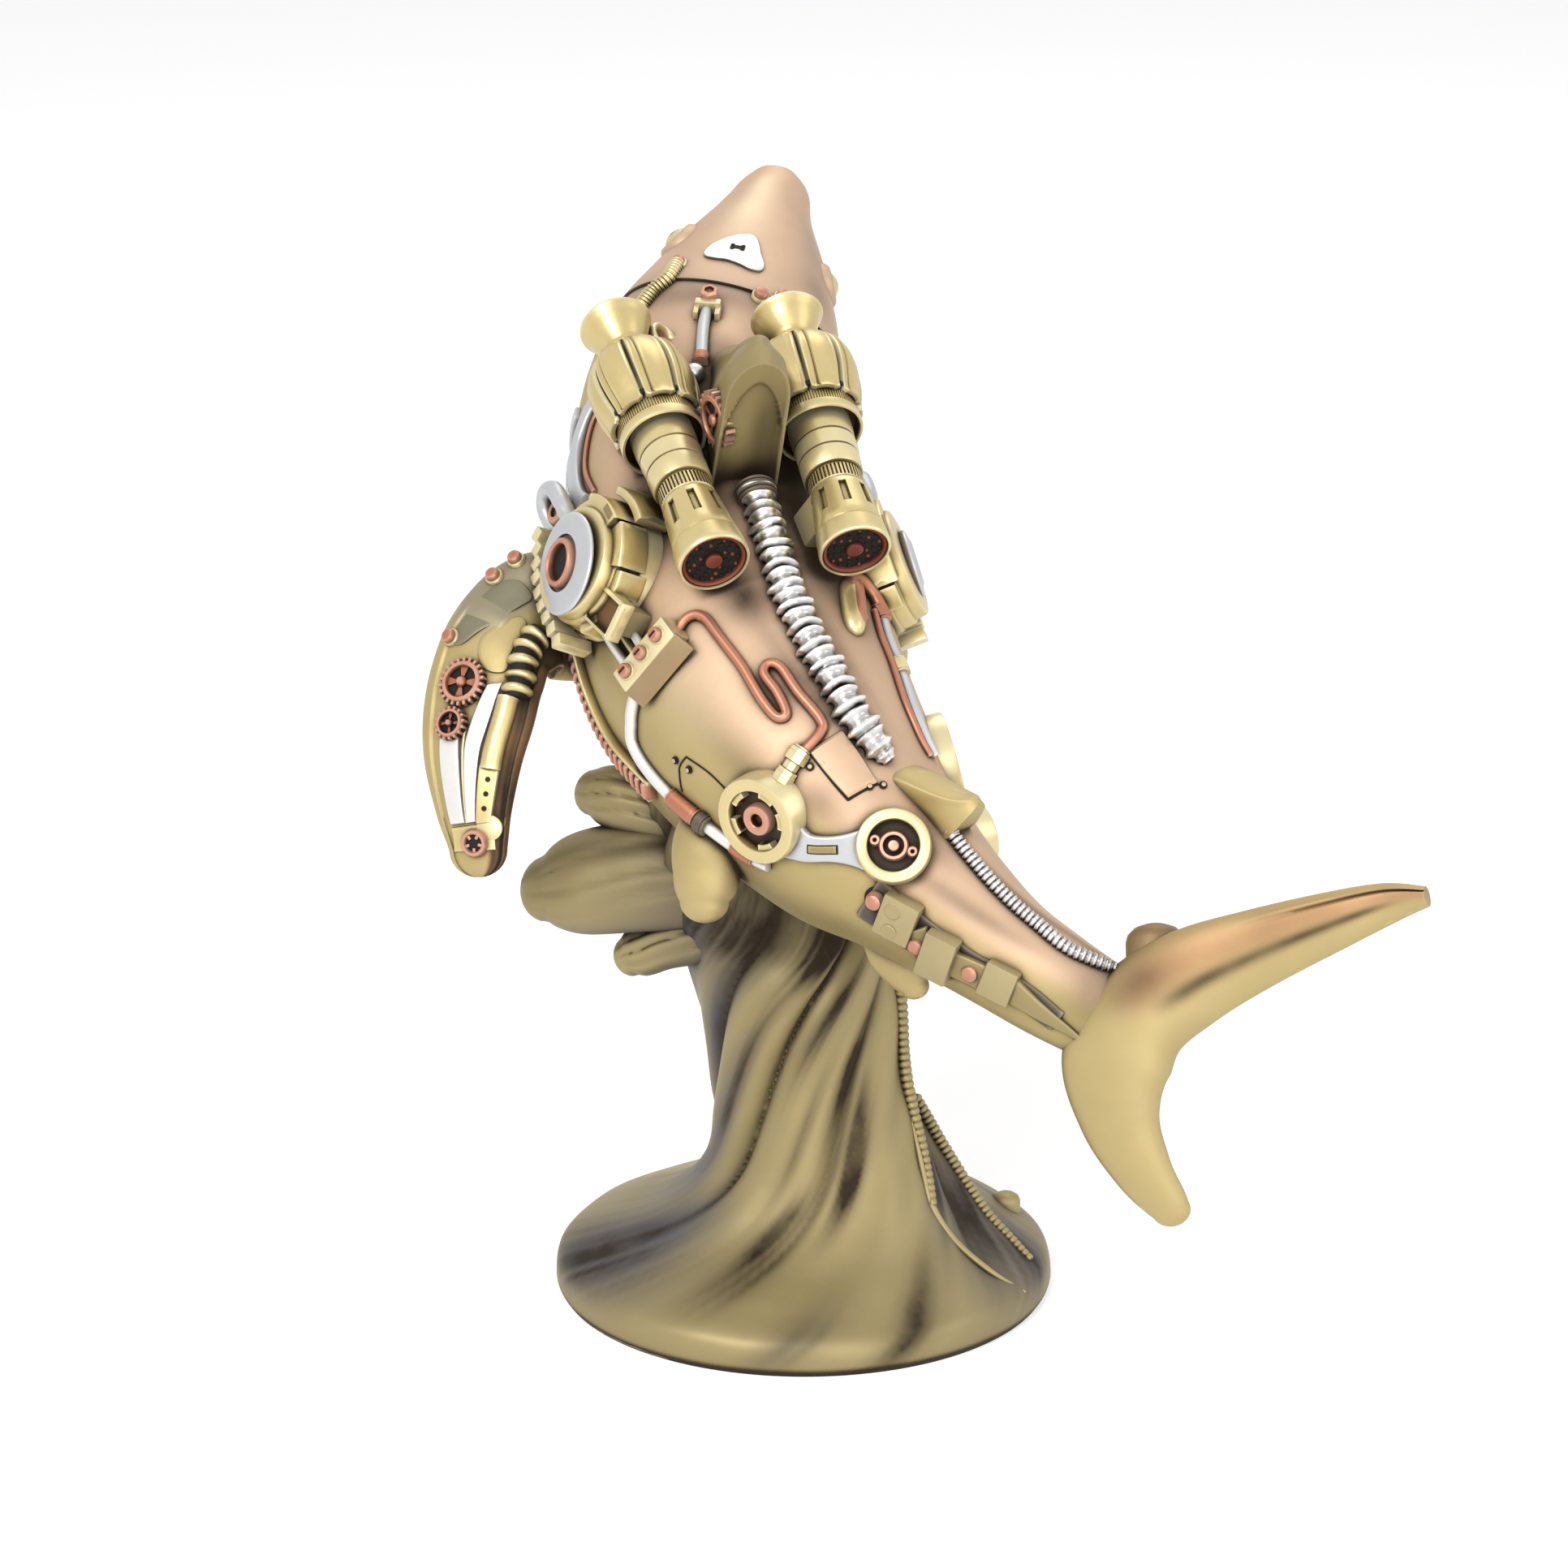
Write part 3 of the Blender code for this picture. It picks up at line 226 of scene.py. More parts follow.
PELVIC_FIN = (
    (4, 6, 8, 8, 5),
    (0, 0, 1, 8.2, 5.5),
    (-0.5, -3, -5, 7.8, 5),
    (-1, -5, -10, 6.4, 4),
    (-1, -6, -14, 2.2, 1.5),
)
ANAL_PLACE = (0.800, 172)
ANAL_FIN = ((-2, 2, 6, 8, 3), (0, 0, 0, 7.5, 3), (2, -0.5, -5, 5, 2.4), (4, -1, -8.5, 1.5, 1))
TAIL_FACING = (-0.40, -0.905, 0.12)
TAIL_FIN = (
    (65.3, -24.1, 35.4, 2.2, 1.3),
    (57.8, -19.8, 32.4, 4.4, 1.9),
    (47.1, -16.2, 27.3, 6.3, 2.6),
    (31.7, -9.6, 18.6, 8.6, 3.6),
    (18.0, -5.9, 10.6, 10.7, 5.0),
    (7.4, -4.6, 1.7, 11.5, 6.6),
    (2.3, -5.9, -8.9, 12.3, 6.2),
    (3.2, -8.8, -20.9, 9.2, 4.6),
    (8.2, -11.2, -31.6, 6.8, 3.4),
    (13.3, -12.4, -38.6, 5.0, 2.6),
    (15.4, -12.6, -41.8, 3.8, 2.0),
)
TAIL_DOME_PLACE = (11.0, 4.0, 15.0)

# Back fins in mm and t: front, rear, height, top chord, lean, half width, front half width.
BACK_FINS = {
    "dorsal_fin": (0.375, 0.487, 33, 14, 6, 7.4, 2.6),
    "second_dorsal_fin": (0.705, 0.785, 10.0, 6, -5, 4.4, 3.0),
}
BACK_FIN_SINK = 4

# Jets, each from its funnel's rim to its nozzle: (t, degrees) at both ends.
JETS = {"port_jet": ((0.364, 38.5), (0.557, 23.5)), "starboard_jet": ((0.358, -18), (0.548, -21))}
PETALS = 8
NOZZLE_WINDOWS = 8
WHEELS = {"port_wheel": (0.500, 64), "starboard_wheel": (0.515, -62)}

SPINE_HOSE = ((0.490, -3), (0.528, -2), (0.572, 2), (0.628, 6), (0.669, 9), (0.712, 8))
TAIL_HOSE = ((0.775, 8), (0.821, 15), (0.852, 20), (0.900, 26), (0.945, 33), (0.990, 20))
HOSE_LIFT = 0.8 * MM
PIPE_LIFT = 0.6 * MM
COPPER_PIPE = (
    (0.566, 50), (0.559, 41), (0.563, 35), (0.579, 34), (0.603, 34), (0.628, 37),
    (0.640, 37), (0.641, 33), (0.628, 30), (0.614, 29), (0.610, 25), (0.616, 22),
    (0.634, 23), (0.655, 23), (0.662, 27), (0.666, 40), (0.669, 58),
)
FLANK_PIPE = (
    (0.568, 72), (0.575, 90), (0.585, 97), (0.615, 100), (0.650, 100), (0.682, 98), (0.697, 96),
)
HEAD_PIPE = ((0.308, 9), (0.335, 9.5), (0.383, 10), (0.402, 16))
HEAD_HOSE = ((0.259, 34), (0.280, 34), (0.295, 40), (0.312, 44))
STARBOARD_ARCH = ((0.580, -25), (0.562, -28), (0.556, -35), (0.564, -41), (0.580, -43))
STARBOARD_PIPE = (
    (0.578, -43), (0.600, -40), (0.625, -38), (0.660, -31), (0.695, -29), (0.717, -31),
)
ROD_ENDS = (((0.524, 61), (0.556, 61)), ((0.526, 73), (0.560, 71)))
# Ring joints on the flanks: t, degrees, radius in mm.
RING_JOINTS = ((0.676, 76, 10.0), (0.766, 46, 8.2), (0.690, -66, 10.0), (0.766, -78, 8.2))
STRAPS = (
    ((0.703, 76.5), (0.716, 75), (0.733, 67), (0.750, 58)),
    ((0.712, -68.5), (0.732, -72), (0.750, -76)),
)
VALVE_BOX_PLACE = (0.564, 60)
# Clamps on the tail's flank: t, degrees, length, width and height in mm.
TAIL_CLAMPS = ((0.803, 88, 8, 10, 2.6), (0.848, 99, 7, 11, 3.2), (0.905, 96, 7, 8, 2.6))
BOLTS = (
    (0.259, 34), (0.290, -13), (0.281, -24), (0.308, 9), (0.779, 84), (0.828, 99),
    (0.879, 99), (0.590, -25), (0.402, 16),
)
EYES = ((0.190, 70), (0.190, -84))
EYELET_PLACE = (0.360, 26)
GILL_BANDS = ((0.372, 66, 112), (0.402, 64, 114), (0.432, 66, 112))
TRACK = ((0.508, 103), (0.524, 107), (0.542, 110), (0.560, 111), (0.580, 109), (0.600, 107))


def spline(points, t):
    """Catmull-Rom value at t, from 0 at the first row to 1 at the last, for rows of any width."""
    last = len(points) - 1
    place = min(max(t, 0.0), 1.0) * last
    i = min(int(place), last - 1)
    u = place - i
    rows = [points[min(max(i + k, 0), last)] for k in (-1, 0, 1, 2)]
    weights = (
        -0.5 * u + u * u - 0.5 * u**3,
        1 - 2.5 * u * u + 1.5 * u**3,
        0.5 * u + 2 * u * u - 1.5 * u**3,
        -0.5 * u * u + 0.5 * u**3,
    )
    return [sum(w * row[k] for w, row in zip(weights, rows)) for k in range(len(points[0]))]


def ease(x):
    x = min(max(x, 0.0), 1.0)
    return x * x * (3 - 2 * x)


def bell(x, reach):
    """1 at x = 0, falling off smoothly within a few times the reach."""
    return math.exp(-((x / reach) ** 2))


@lru_cache(maxsize=None)
def body_frame(t):
    """Middle, the ways along, across to port and up, and the half sizes of the body at t."""
    x, y, z, half, above, below = spline(BODY_STATIONS, t)
    ahead = Vector(spline(BODY_STATIONS, t + 0.01)[:3])
    behind = Vector(spline(BODY_STATIONS, t - 0.01)[:3])
    along = (ahead - behind).normalized()
    back = Vector(spline(BACK_WAYS, t))
    up = (back - along * back.dot(along)).normalized()
    across = along.cross(up)
    return Vector((x, y, z)) * MM, along, across, up, half * MM, above * MM, below * MM


def skin(t, degrees, lift=0.0):
    """Point on the body at t; 0 degrees is the back, 90 port and -90 starboard."""
    middle, _, across, up, half, above, below = body_frame(t)
    a = math.radians(degrees)
    side, tall, power = math.sin(a), math.cos(a), 1.0
    if tall < 0:
        power = BELLY_POWER
    wide = math.copysign(abs(side) ** power, side) * (half + lift)
    high = math.copysign(abs(tall) ** power, tall) * ((above if tall >= 0 else below) + lift)
    return middle + across * wide + up * high


def seat(t, degrees, lift=0.0, turn=0.0):
    """Placing matrix on the skin: X runs tailwards, Z out of the skin, turned about Z."""
    along = (skin(t + 0.01, degrees) - skin(t - 0.01, degrees)).normalized()
    around = skin(t, degrees + 2) - skin(t, degrees - 2)
    out = around.cross(along).normalized()
    axes = Matrix((along, out.cross(along), out)).transposed().to_4x4()
    place = Matrix.Translation(skin(t, degrees) + out * lift)
    return place @ axes @ Matrix.Rotation(math.radians(turn), 4, "Z")


def blade_point(rows, base, facing, u, a, lift=0.0):
    """Point on a fin: u runs along it, and a is the angle round its section."""
    x, y, z, chord, thick = spline(rows, u)
    ahead = Vector(spline(rows, u + 0.02)[:3])
    behind = Vector(spline(rows, u - 0.02)[:3])
    way = (ahead - behind).normalized()
    face = Vector(facing)
    face = (face - way * face.dot(way)).normalized()
    across = face.cross(way)
    middle = base + Vector((x, y, z)) * MM
    return middle + across * chord * MM * math.cos(a) + face * (thick * MM + lift) * math.sin(a)


def wave_groove(degrees, height):
    """How deep in a flute of the wave a place lies, from 0 on its ridge to 1."""
    swirl = math.radians(degrees) - FLUTE_TURN * height / 20
    return 1 - abs(math.sin(FLUTES * swirl / 2 + 0.5 * math.sin(2 * swirl)))


def wave_point(u, degrees, lift=0.0):
    """Point on the wave column; u runs from 0 at its foot to 1 in the belly."""
    height, radius, x, y, lean = spline(WAVE_STATIONS, u)
    _, along, across, _, _, _, _ = body_frame(0.53)
    east = Vector((1, 0, 0)).lerp(-across, lean).normalized()
    north = Vector((0, 1, 0)).lerp(-along, lean).normalized()
    a = math.radians(degrees)
    depth = FLUTE_DEPTH * ease((height * MM - FLUTE_START) / (FLUTE_FULL - FLUTE_START))
    r = radius * MM + lift - depth * wave_groove(degrees, height) ** 2.2
    return Vector((x, y, height)) * MM + (east * math.cos(a) + north * math.sin(a)) * r


def wave_share(height):
    """Share of the way up the column at which it reaches a height in mm."""
    low, high = 0.0, 1.0
    for _ in range(20):
        middle = (low + high) / 2
        if spline(WAVE_STATIONS, middle)[0] < height:
            low = middle
        else:
            high = middle
    return low


def jet_place(ends):
    """Matrix at the funnel's rim, with Z running to the nozzle and Y away from the shark."""
    (t, degrees), (t_end, degrees_end) = ends
    lift = bpy.context.scene.shark_sizes.jet_lift
    start = seat(t, degrees, lift).translation
    end = seat(t_end, degrees_end, lift).translation
    way = (end - start).normalized()
    out = seat(t, degrees).to_3x3().col[2]
    side = out.cross(way).normalized()
    axes = Matrix((side, way.cross(side), way)).transposed().to_4x4()
    return Matrix.Translation(start) @ axes


def port_fin(u, v, lift=0.0):
    """Point on the outer face of the port fin: u along it, v across it from -1 to 1."""
    base = skin(*PORT_FIN_ROOT)
    a = math.acos(min(max(v, -1.0), 1.0))
    return blade_point(PORT_FIN, base, PORT_FIN_FACING, u, a, lift)


def fin_seat(u, v, turn=0.0):
    """Placing matrix on the port fin's outer face, with X running to its tip."""
    here, ahead = port_fin(u, v), port_fin(u + 0.02, v)
    out = (port_fin(u, v + 0.05) - port_fin(u, v - 0.05)).cross(ahead - here).normalized()
    if out.dot(Vector(PORT_FIN_FACING)) < 0:
        out = -out
    way = (ahead - here).normalized()
    axes = Matrix((way, out.cross(way), out)).transposed().to_4x4()
    return Matrix.Translation(here) @ axes @ Matrix.Rotation(math.radians(turn), 4, "Z")


def start():
    """Leave edit mode and let go of everything."""
    if bpy.context.mode != "OBJECT":
        bpy.ops.object.mode_set(mode="OBJECT")
    bpy.ops.object.select_all(action="DESELECT")


def reopen(made):
    """Open a mesh in edit mode, with faces as what is selected."""
    start()
    bpy.context.view_layer.objects.active = made
    made.select_set(True)
    bpy.ops.object.mode_set(mode="EDIT")
    bpy.context.tool_settings.mesh_select_mode = (False, False, True)


def choose(made, test):
    """Select the faces whose middle and normal pass the test."""
    bpy.ops.mesh.select_all(action="DESELECT")
    shape = bmesh.from_edit_mesh(made.data)
    for face in shape.faces:
        face.select_set(bool(test(face.calc_center_median(), face.normal)))
    bmesh.update_edit_mesh(made.data)


def heal():
    """Merge what meets, fill the open ends and turn all faces outwards, in edit mode."""
    bpy.ops.mesh.select_all(action="SELECT")
    bpy.ops.mesh.remove_doubles(threshold=1e-6)
    bpy.context.tool_settings.mesh_select_mode = (True, False, False)
    bpy.ops.mesh.select_all(action="DESELECT")
    bpy.ops.mesh.select_non_manifold()
    bpy.ops.mesh.fill_holes(sides=0)
    bpy.ops.mesh.select_all(action="SELECT")
    bpy.ops.mesh.normals_make_consistent(inside=False)
    bpy.context.tool_settings.mesh_select_mode = (False, False, True)


def named(name):
    made = bpy.context.object
    made.name = name
    made.data.name = name
    return made


def spun(name, profile, steps):
    """Solid of revolution about Z from a profile of (radius, height) in mm; left in edit mode."""
    start()
    bpy.context.tool_settings.mesh_select_mode = (True, False, False)
    bpy.ops.mesh.primitive_plane_add(size=MM)
    made = named(name)
    bpy.ops.object.mode_set(mode="EDIT")
    bpy.ops.mesh.merge(type="CENTER")
    radius, height = profile[0]
    bpy.ops.transform.translate(value=(radius * MM, 0, height * MM))
    for new_radius, new_height in profile[1:]:
        step = ((new_radius - radius) * MM, 0, (new_height - height) * MM)
        bpy.ops.mesh.extrude_region_move(TRANSFORM_OT_translate={"value": step})
        radius, height = new_radius, new_height
    bpy.ops.mesh.select_all(action="SELECT")
    bpy.ops.mesh.spin(steps=steps, angle=TURN, center=(0, 0, 0), axis=(0, 0, 1))
    heal()
    return made


def sector(middle, count, first=0.0):
    """Where a point lies within its share of a turn: 0 to 1, for count shares from an angle."""
    return ((math.atan2(middle.y, middle.x) - first) / TURN * count) % 1.0


def knurl(made, low, high, count, depth):
    """Cut fine upright grooves into the outward faces between two heights in mm."""
    def groove(middle, normal):
        upright = abs(normal.z) < 0.4 and normal.x * middle.x + normal.y * middle.y > 0
        return upright and low * MM < middle.z < high * MM and sector(middle, count) < 0.5
    choose(made, groove)
    bpy.ops.mesh.inset(thickness=0.06 * MM, depth=-depth * MM, use_individual=True)


def wrapped(name, around, along, shape, masks=None):
    """Closed tube made from a grid: shape(u, v) is the point at u round it and v along it."""
    start()
    bpy.ops.mesh.primitive_grid_add(x_subdivisions=around, y_subdivisions=along, size=1)
    made = named(name)
    spots = [(vertex.co.x + 0.5, vertex.co.y + 0.5) for vertex in made.data.vertices]
    for mask, value in (masks or {}).items():
        layer = made.data.attributes.new(mask, "FLOAT", "POINT")
        layer.data.foreach_set("value", [value(u, v) for u, v in spots])
    for vertex, (u, v) in zip(made.data.vertices, spots):
        vertex.co = shape(u, v)
    reopen(made)
    heal()
    bpy.ops.object.mode_set(mode="OBJECT")
    return made


def box(name, size, bevel, segments=2, base=0.0):
    """Bevelled box in mm, standing on its XY plane or sunk by its base height."""
    start()
    x, y, z = size
    bpy.ops.mesh.primitive_cube_add(size=1, location=(0, 0, (base + z / 2) * MM))
    made = named(name)
    made.scale = (x * MM, y * MM, z * MM)
    bpy.ops.object.transform_apply(location=True, rotation=False, scale=True)
    bpy.ops.object.mode_set(mode="EDIT")
    bpy.ops.mesh.select_all(action="SELECT")
    bpy.ops.mesh.bevel(offset=bevel * MM, segments=segments, affect="EDGES")
    bpy.context.tool_settings.mesh_select_mode = (False, False, True)
    return made


def route(points, count, out=None):
    """Frames evenly along a smooth route: X runs along it, Z keeps to out or is carried on."""
    line = [tuple(p) for p in points]
    steps = 3 * count
    dense = [Vector(spline(line, k / steps)) for k in range(steps + 1)]
    run = [0.0]
    for before, after in zip(dense, dense[1:]):
        run.append(run[-1] + (after - before).length)
    shares, k = [], 0
    for n in range(count):
        wanted = run[-1] * n / (count - 1)
        while k < steps - 1 and run[k + 1] < wanted:
            k += 1
        shares.append((k + (wanted - run[k]) / max(run[k + 1] - run[k], 1e-9)) / steps)
    spots = [Vector(spline(line, share)) for share in shares]
    outs = [Vector(spline([tuple(o) for o in out], share)) for share in shares] if out else []
    frames = []
    for k, spot in enumerate(spots):
        way = (spots[min(k + 1, count - 1)] - spots[max(k - 1, 0)]).normalized()
        high = outs[k] if out else (way.orthogonal() if not frames else frames[-1].to_3x3().col[2])
        high = (high - way * high.dot(way)).normalized()
        axes = Matrix((way, high.cross(way), high)).transposed().to_4x4()
        frames.append(Matrix.Translation(spot) @ axes)
    return frames


def skin_route(rows, count, lift=0.0):
    """Frames along a smooth route of (t, degrees) over the skin, with Z out of it."""
    places = [spline(rows, k / (count - 1)) for k in range(count)]
    outs = [seat(t, degrees).to_3x3().col[2] for t, degrees in places]
    spots = [skin(t, degrees, lift) for t, degrees in places]
    return route(spots, count, outs)


def swept(name, frames, around, section, masks=None):
    """Closed bar along the frames; section(u, v) is its outline across them, in mm."""
    last = len(frames) - 1

    def shape(u, v):
        side, high = section(u, v)
        return frames[round(v * last)] @ Vector((0, side * MM, high * MM))

    return wrapped(name, around, last, shape, masks)


def round_section(radius):
    """Section of a tube whose radius in mm is a number or a function of v."""
    size = radius if callable(radius) else lambda v: radius
    return lambda u, v: (size(v) * math.cos(TURN * u), size(v) * math.sin(TURN * u))


def bar_section(wide, high, low=0.0, power=0.35):
    """Rounded rectangle from low to high in mm."""
    def section(u, v):
        a = TURN * u
        x = math.copysign(abs(math.cos(a)) ** power, math.cos(a)) * wide / 2
        z = math.copysign(abs(math.sin(a)) ** power, math.sin(a))
        return x, low + (high - low) * (z + 1) / 2
    return section


# Section of a panel: share of the way across, and share of its height or, at -1, its sunk foot.
PANEL_SECTION = (
    (0, -1), (0, 0.55), (0.025, 0.95), (0.06, 1), (0.2, 1), (0.35, 1), (0.5, 1), (0.65, 1),
    (0.8, 1), (0.94, 1), (0.975, 0.95), (1, 0.55), (1, -1), (0.75, -1), (0.5, -1), (0.25, -1),
)


def panel(name, left, right, on, height, sink, steps):
    """Raised plate between two edge routes on a surface; on(a, b, lift) is a point on it."""
    def shape(u, v):
        across, share = PANEL_SECTION[round(u * len(PANEL_SECTION)) % len(PANEL_SECTION)]
        a, b = [p + (q - p) * across for p, q in zip(spline(left, v), spline(right, v))]
        end = min(v, 1 - v) * steps
        lift = height * MM * share * (0.6 if end < 0.5 else 1.0) if share > 0 else -sink * MM
        return on(a, b, lift)
    return wrapped(name, len(PANEL_SECTION), steps, shape)


def plate(name, outline, on, height, sink, round_count=96):
    """Raised plate inside a closed smooth outline on a surface."""
    points = list(outline)
    middle = [sum(p[k] for p in points) / len(points) for k in range(2)]
    ring = [points[-1], *points, points[0], points[1]]
    rows = (
        (1.0, -1), (1.0, 0.5), (0.985, 0.9), (0.965, 1), (0.8, 1), (0.6, 1), (0.4, 1), (0.2, 1),
        (0.0, 1),
    )

    def shape(u, v):
        place = (u % 1.0) * len(points)
        edge = spline(ring, (place + 1) / (len(ring) - 1))
        size, share = rows[round(v * (len(rows) - 1))]
        a, b = [m + (e - m) * size for m, e in zip(middle, edge)]
        return on(a, b, height * MM * share if share > 0 else -sink * MM)

    return wrapped(name, round_count, len(rows) - 1, shape)


def copy_of(made, place):
    twin = made.copy()
    twin.data = made.data.copy()
    bpy.context.scene.collection.objects.link(twin)
    twin.data.transform(place)
    return twin


def put(made, place):
    """Leave edit mode and move the mesh itself to its place."""
    start()
    made.data.transform(place)
    return made


def join(name, pieces):
    start()
    for made in pieces:
        made.select_set(True)
    bpy.context.view_layer.objects.active = pieces[0]
    if len(pieces) > 1:
        bpy.ops.object.join()
    pieces[0].name = name
    pieces[0].data.name = name
    return pieces[0]


def paint(made, finish, test=None):
    """Give a finish to the whole piece, or to the faces whose middle and normal pass a test."""
    start()
    if test is None:
        made.data.materials.clear()
        made.data.materials.append(finish)
        return made
    made.data.materials.append(finish)
    slot = len(made.data.materials) - 1
    for face in made.data.polygons:
        if test(face.center, face.normal):
            face.material_index = slot
    return made


def keep(made, slot, smooth=35):
    """Smooth a finished piece and fix it to the casting in place of the plain solid."""
    start()
    bpy.context.view_layer.objects.active = made
    made.select_set(True)
    bpy.ops.object.shade_smooth_by_angle(angle=math.radians(smooth))
    made.select_set(False)
    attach(made, "root")
    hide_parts(NODE)
    return made


def srgb(red, green, blue):
    """Linear colour from sRGB levels of 0 to 255."""
    levels = [c / 255 for c in (red, green, blue)]
    return tuple(c / 12.92 if c <= 0.04045 else ((c + 0.055) / 1.055) ** 2.4 for c in levels)


def add_node(tree, kind, **settings):
    made = tree.nodes.new(kind)
    for name, value in settings.items():
        setattr(made, name, value)
    return made


def feed(tree, socket, value):
    """Link a socket to another, or set its value."""
    if isinstance(value, bpy.types.NodeSocket):
        tree.links.new(value, socket)
    else:
        socket.default_value = value


def maths(tree, operation, first, second=0.0, clamp=False):
    made = add_node(tree, "ShaderNodeMath", operation=operation, use_clamp=clamp)
    feed(tree, made.inputs[0], first)
    feed(tree, made.inputs[1], second)
    return made.outputs[0]


def ramp(tree, value, low, high, bottom=0.0, top=1.0):
    """Smooth step of a value from low to high."""
    made = add_node(tree, "ShaderNodeMapRange", interpolation_type="SMOOTHSTEP")
    for socket, given in zip(made.inputs, (value, low, high, bottom, top)):
        feed(tree, socket, given)
    return made.outputs[0]


def blend_colours(tree, share, first, second, mode="MIX"):
    made = add_node(tree, "ShaderNodeMix", data_type="RGBA", blend_type=mode)
    feed(tree, made.inputs["Factor"], share)
    for socket, given in zip([s for s in made.inputs if s.type == "RGBA"], (first, second)):
        feed(tree, socket, given if isinstance(given, bpy.types.NodeSocket) else (*given, 1.0))
    return [s for s in made.outputs if s.type == "RGBA"][0]


def attribute(tree, name):
    return add_node(tree, "ShaderNodeAttribute", attribute_name=name).outputs["Fac"]


# How much farther the broad painted shade in hollows reaches than the wash and painted shade
# of the crevices.
BROAD_REACH = 4.5


def antique_wash_and_shade():
    """Node group: dark wash and painted shade in crevices, broad painted shade in hollows and from the smoke
    mask, rubbed edges with a painted highlight, and brushed grain over a paint.
    """
    group = bpy.data.node_groups.get("antique_wash_and_shade")
    if group:
        return group
    group = bpy.data.node_groups.new("antique_wash_and_shade", "ShaderNodeTree")
    for name, kind in (
        ("Paint", "NodeSocketColor"), ("WashAndShade", "NodeSocketColor"), ("RubAndHighlight", "NodeSocketColor"),
        ("Reach", "NodeSocketFloat"), ("Depth", "NodeSocketFloat"), ("WearAndHighlight", "NodeSocketFloat"),
        ("Roughness", "NodeSocketFloat"), ("Grain", "NodeSocketFloat"),
    ):
        group.interface.new_socket(name=name, in_out="INPUT", socket_type=kind)
    for name, kind in (
        ("Color", "NodeSocketColor"), ("Roughness", "NodeSocketFloat"), ("Height", "NodeSocketFloat"),
    ):
        group.interface.new_socket(name=name, in_out="OUTPUT", socket_type=kind)
    given = add_node(group, "NodeGroupInput").outputs
    result = add_node(group, "NodeGroupOutput").inputs
    place = add_node(group, "ShaderNodeTexCoord").outputs["Object"]
    grain = add_node(group, "ShaderNodeTexNoise")
    feed(group, grain.inputs["Vector"], place)
    feed(group, grain.inputs["Scale"], given["Grain"])
    grain.inputs["Detail"].default_value = 3.0
    cloud = add_node(group, "ShaderNodeTexNoise")
    feed(group, cloud.inputs["Vector"], place)
    cloud.inputs["Scale"].default_value = 85.0
    cloud.inputs["Detail"].default_value = 4.0
    hollow = add_node(group, "ShaderNodeAmbientOcclusion", samples=6)
    feed(group, hollow.inputs["Distance"], given["Reach"])
    closed = maths(group, "SUBTRACT", 1.0, hollow.outputs["AO"])
    patchy = maths(group, "ADD", maths(group, "MULTIPLY", cloud.outputs[0], 0.9), 0.55)
    dark = maths(group, "MULTIPLY", ramp(group, closed, 0.06, 0.58), given["Depth"])
    # Broad painted shade: occlusion over a longer reach darkens the hollows between parts.
    shelter = add_node(group, "ShaderNodeAmbientOcclusion", samples=6)
    feed(group, shelter.inputs["Distance"], maths(group, "MULTIPLY", given["Reach"], BROAD_REACH))
    covered = ramp(group, maths(group, "SUBTRACT", 1.0, shelter.outputs["AO"]), 0.28, 0.85)
    dark = maths(group, "ADD", dark, maths(group, "MULTIPLY", covered, 0.85))
    smoke_and_shade = maths(group, "ADD", dark, attribute(group, "smoke_and_shade"))
    soaked_and_shaded = maths(group, "MULTIPLY", smoke_and_shade, patchy, clamp=True)
    # Rubbed edges: wear, and a painted highlight on sharp ridges.
    bulge = add_node(group, "ShaderNodeNewGeometry").outputs["Pointiness"]
    rubbed_and_highlit = maths(group, "MULTIPLY", ramp(group, bulge, 0.51, 0.58), given["WearAndHighlight"])
    rubbed_and_highlit = maths(group, "MULTIPLY", rubbed_and_highlit, patchy, clamp=True)
    tone = maths(group, "ADD", maths(group, "MULTIPLY", cloud.outputs[0], 0.22), 0.89)
    tone = maths(group, "ADD", tone, maths(group, "MULTIPLY", grain.outputs[0], 0.06))
    tinted = add_node(group, "ShaderNodeVectorMath", operation="SCALE")
    feed(group, tinted.inputs[0], given["Paint"])
    feed(group, tinted.inputs["Scale"], tone)
    colour = blend_colours(group, soaked_and_shaded, tinted.outputs[0], given["WashAndShade"])
    colour = blend_colours(group, rubbed_and_highlit, colour, given["RubAndHighlight"])
    rough = maths(group, "ADD", given["Roughness"], maths(group, "MULTIPLY", soaked_and_shaded, 0.25))
    rough = maths(group, "ADD", rough, maths(group, "MULTIPLY", grain.outputs[0], 0.08))
    height = maths(group, "ADD", grain.outputs[0], maths(group, "MULTIPLY", cloud.outputs[0], 1.5))
    feed(group, result["Color"], colour)
    feed(group, result["Roughness"], rough)
    feed(group, result["Height"], height)
    return group


# Finishes: colour of the wash and painted shade, colour of the rubbed edges and painted highlight, metallic,
# roughness, reach of the wash and shade in mm, its depth, edge wear and highlight, grain scale and bump in
# mm. The paint's colour is a property.
FINISHES = {
    "brass": (srgb(56, 40, 16), srgb(246, 236, 196), 0.70, 0.30, 2.4, 1.3, 0.6, 900, 0.05),
    "copper": (srgb(40, 22, 14), srgb(232, 188, 166), 0.60, 0.33, 2.0, 1.3, 0.5, 900, 0.05),
    "silver": (srgb(84, 74, 62), srgb(255, 255, 255), 0.45, 0.32, 2.0, 1.0, 0.3, 700, 0.03),
    "chrome": (srgb(30, 25, 18), srgb(255, 255, 255), 0.90, 0.20, 1.6, 1.6, 0.5, 900, 0.12),
    "bronze": (srgb(46, 34, 20), srgb(216, 200, 158), 0.42, 0.44, 3.0, 1.0, 0.3, 500, 0.06),
    "nozzle": (srgb(34, 14, 8), srgb(176, 98, 72), 0.45, 0.42, 2.0, 0.9, 0.3, 900, 0.08),
    "black_and_shade": (srgb(10, 8, 6), srgb(60, 46, 34), 0.20, 0.60, 1.5, 0.6, 0.1, 900, 0.08),
}


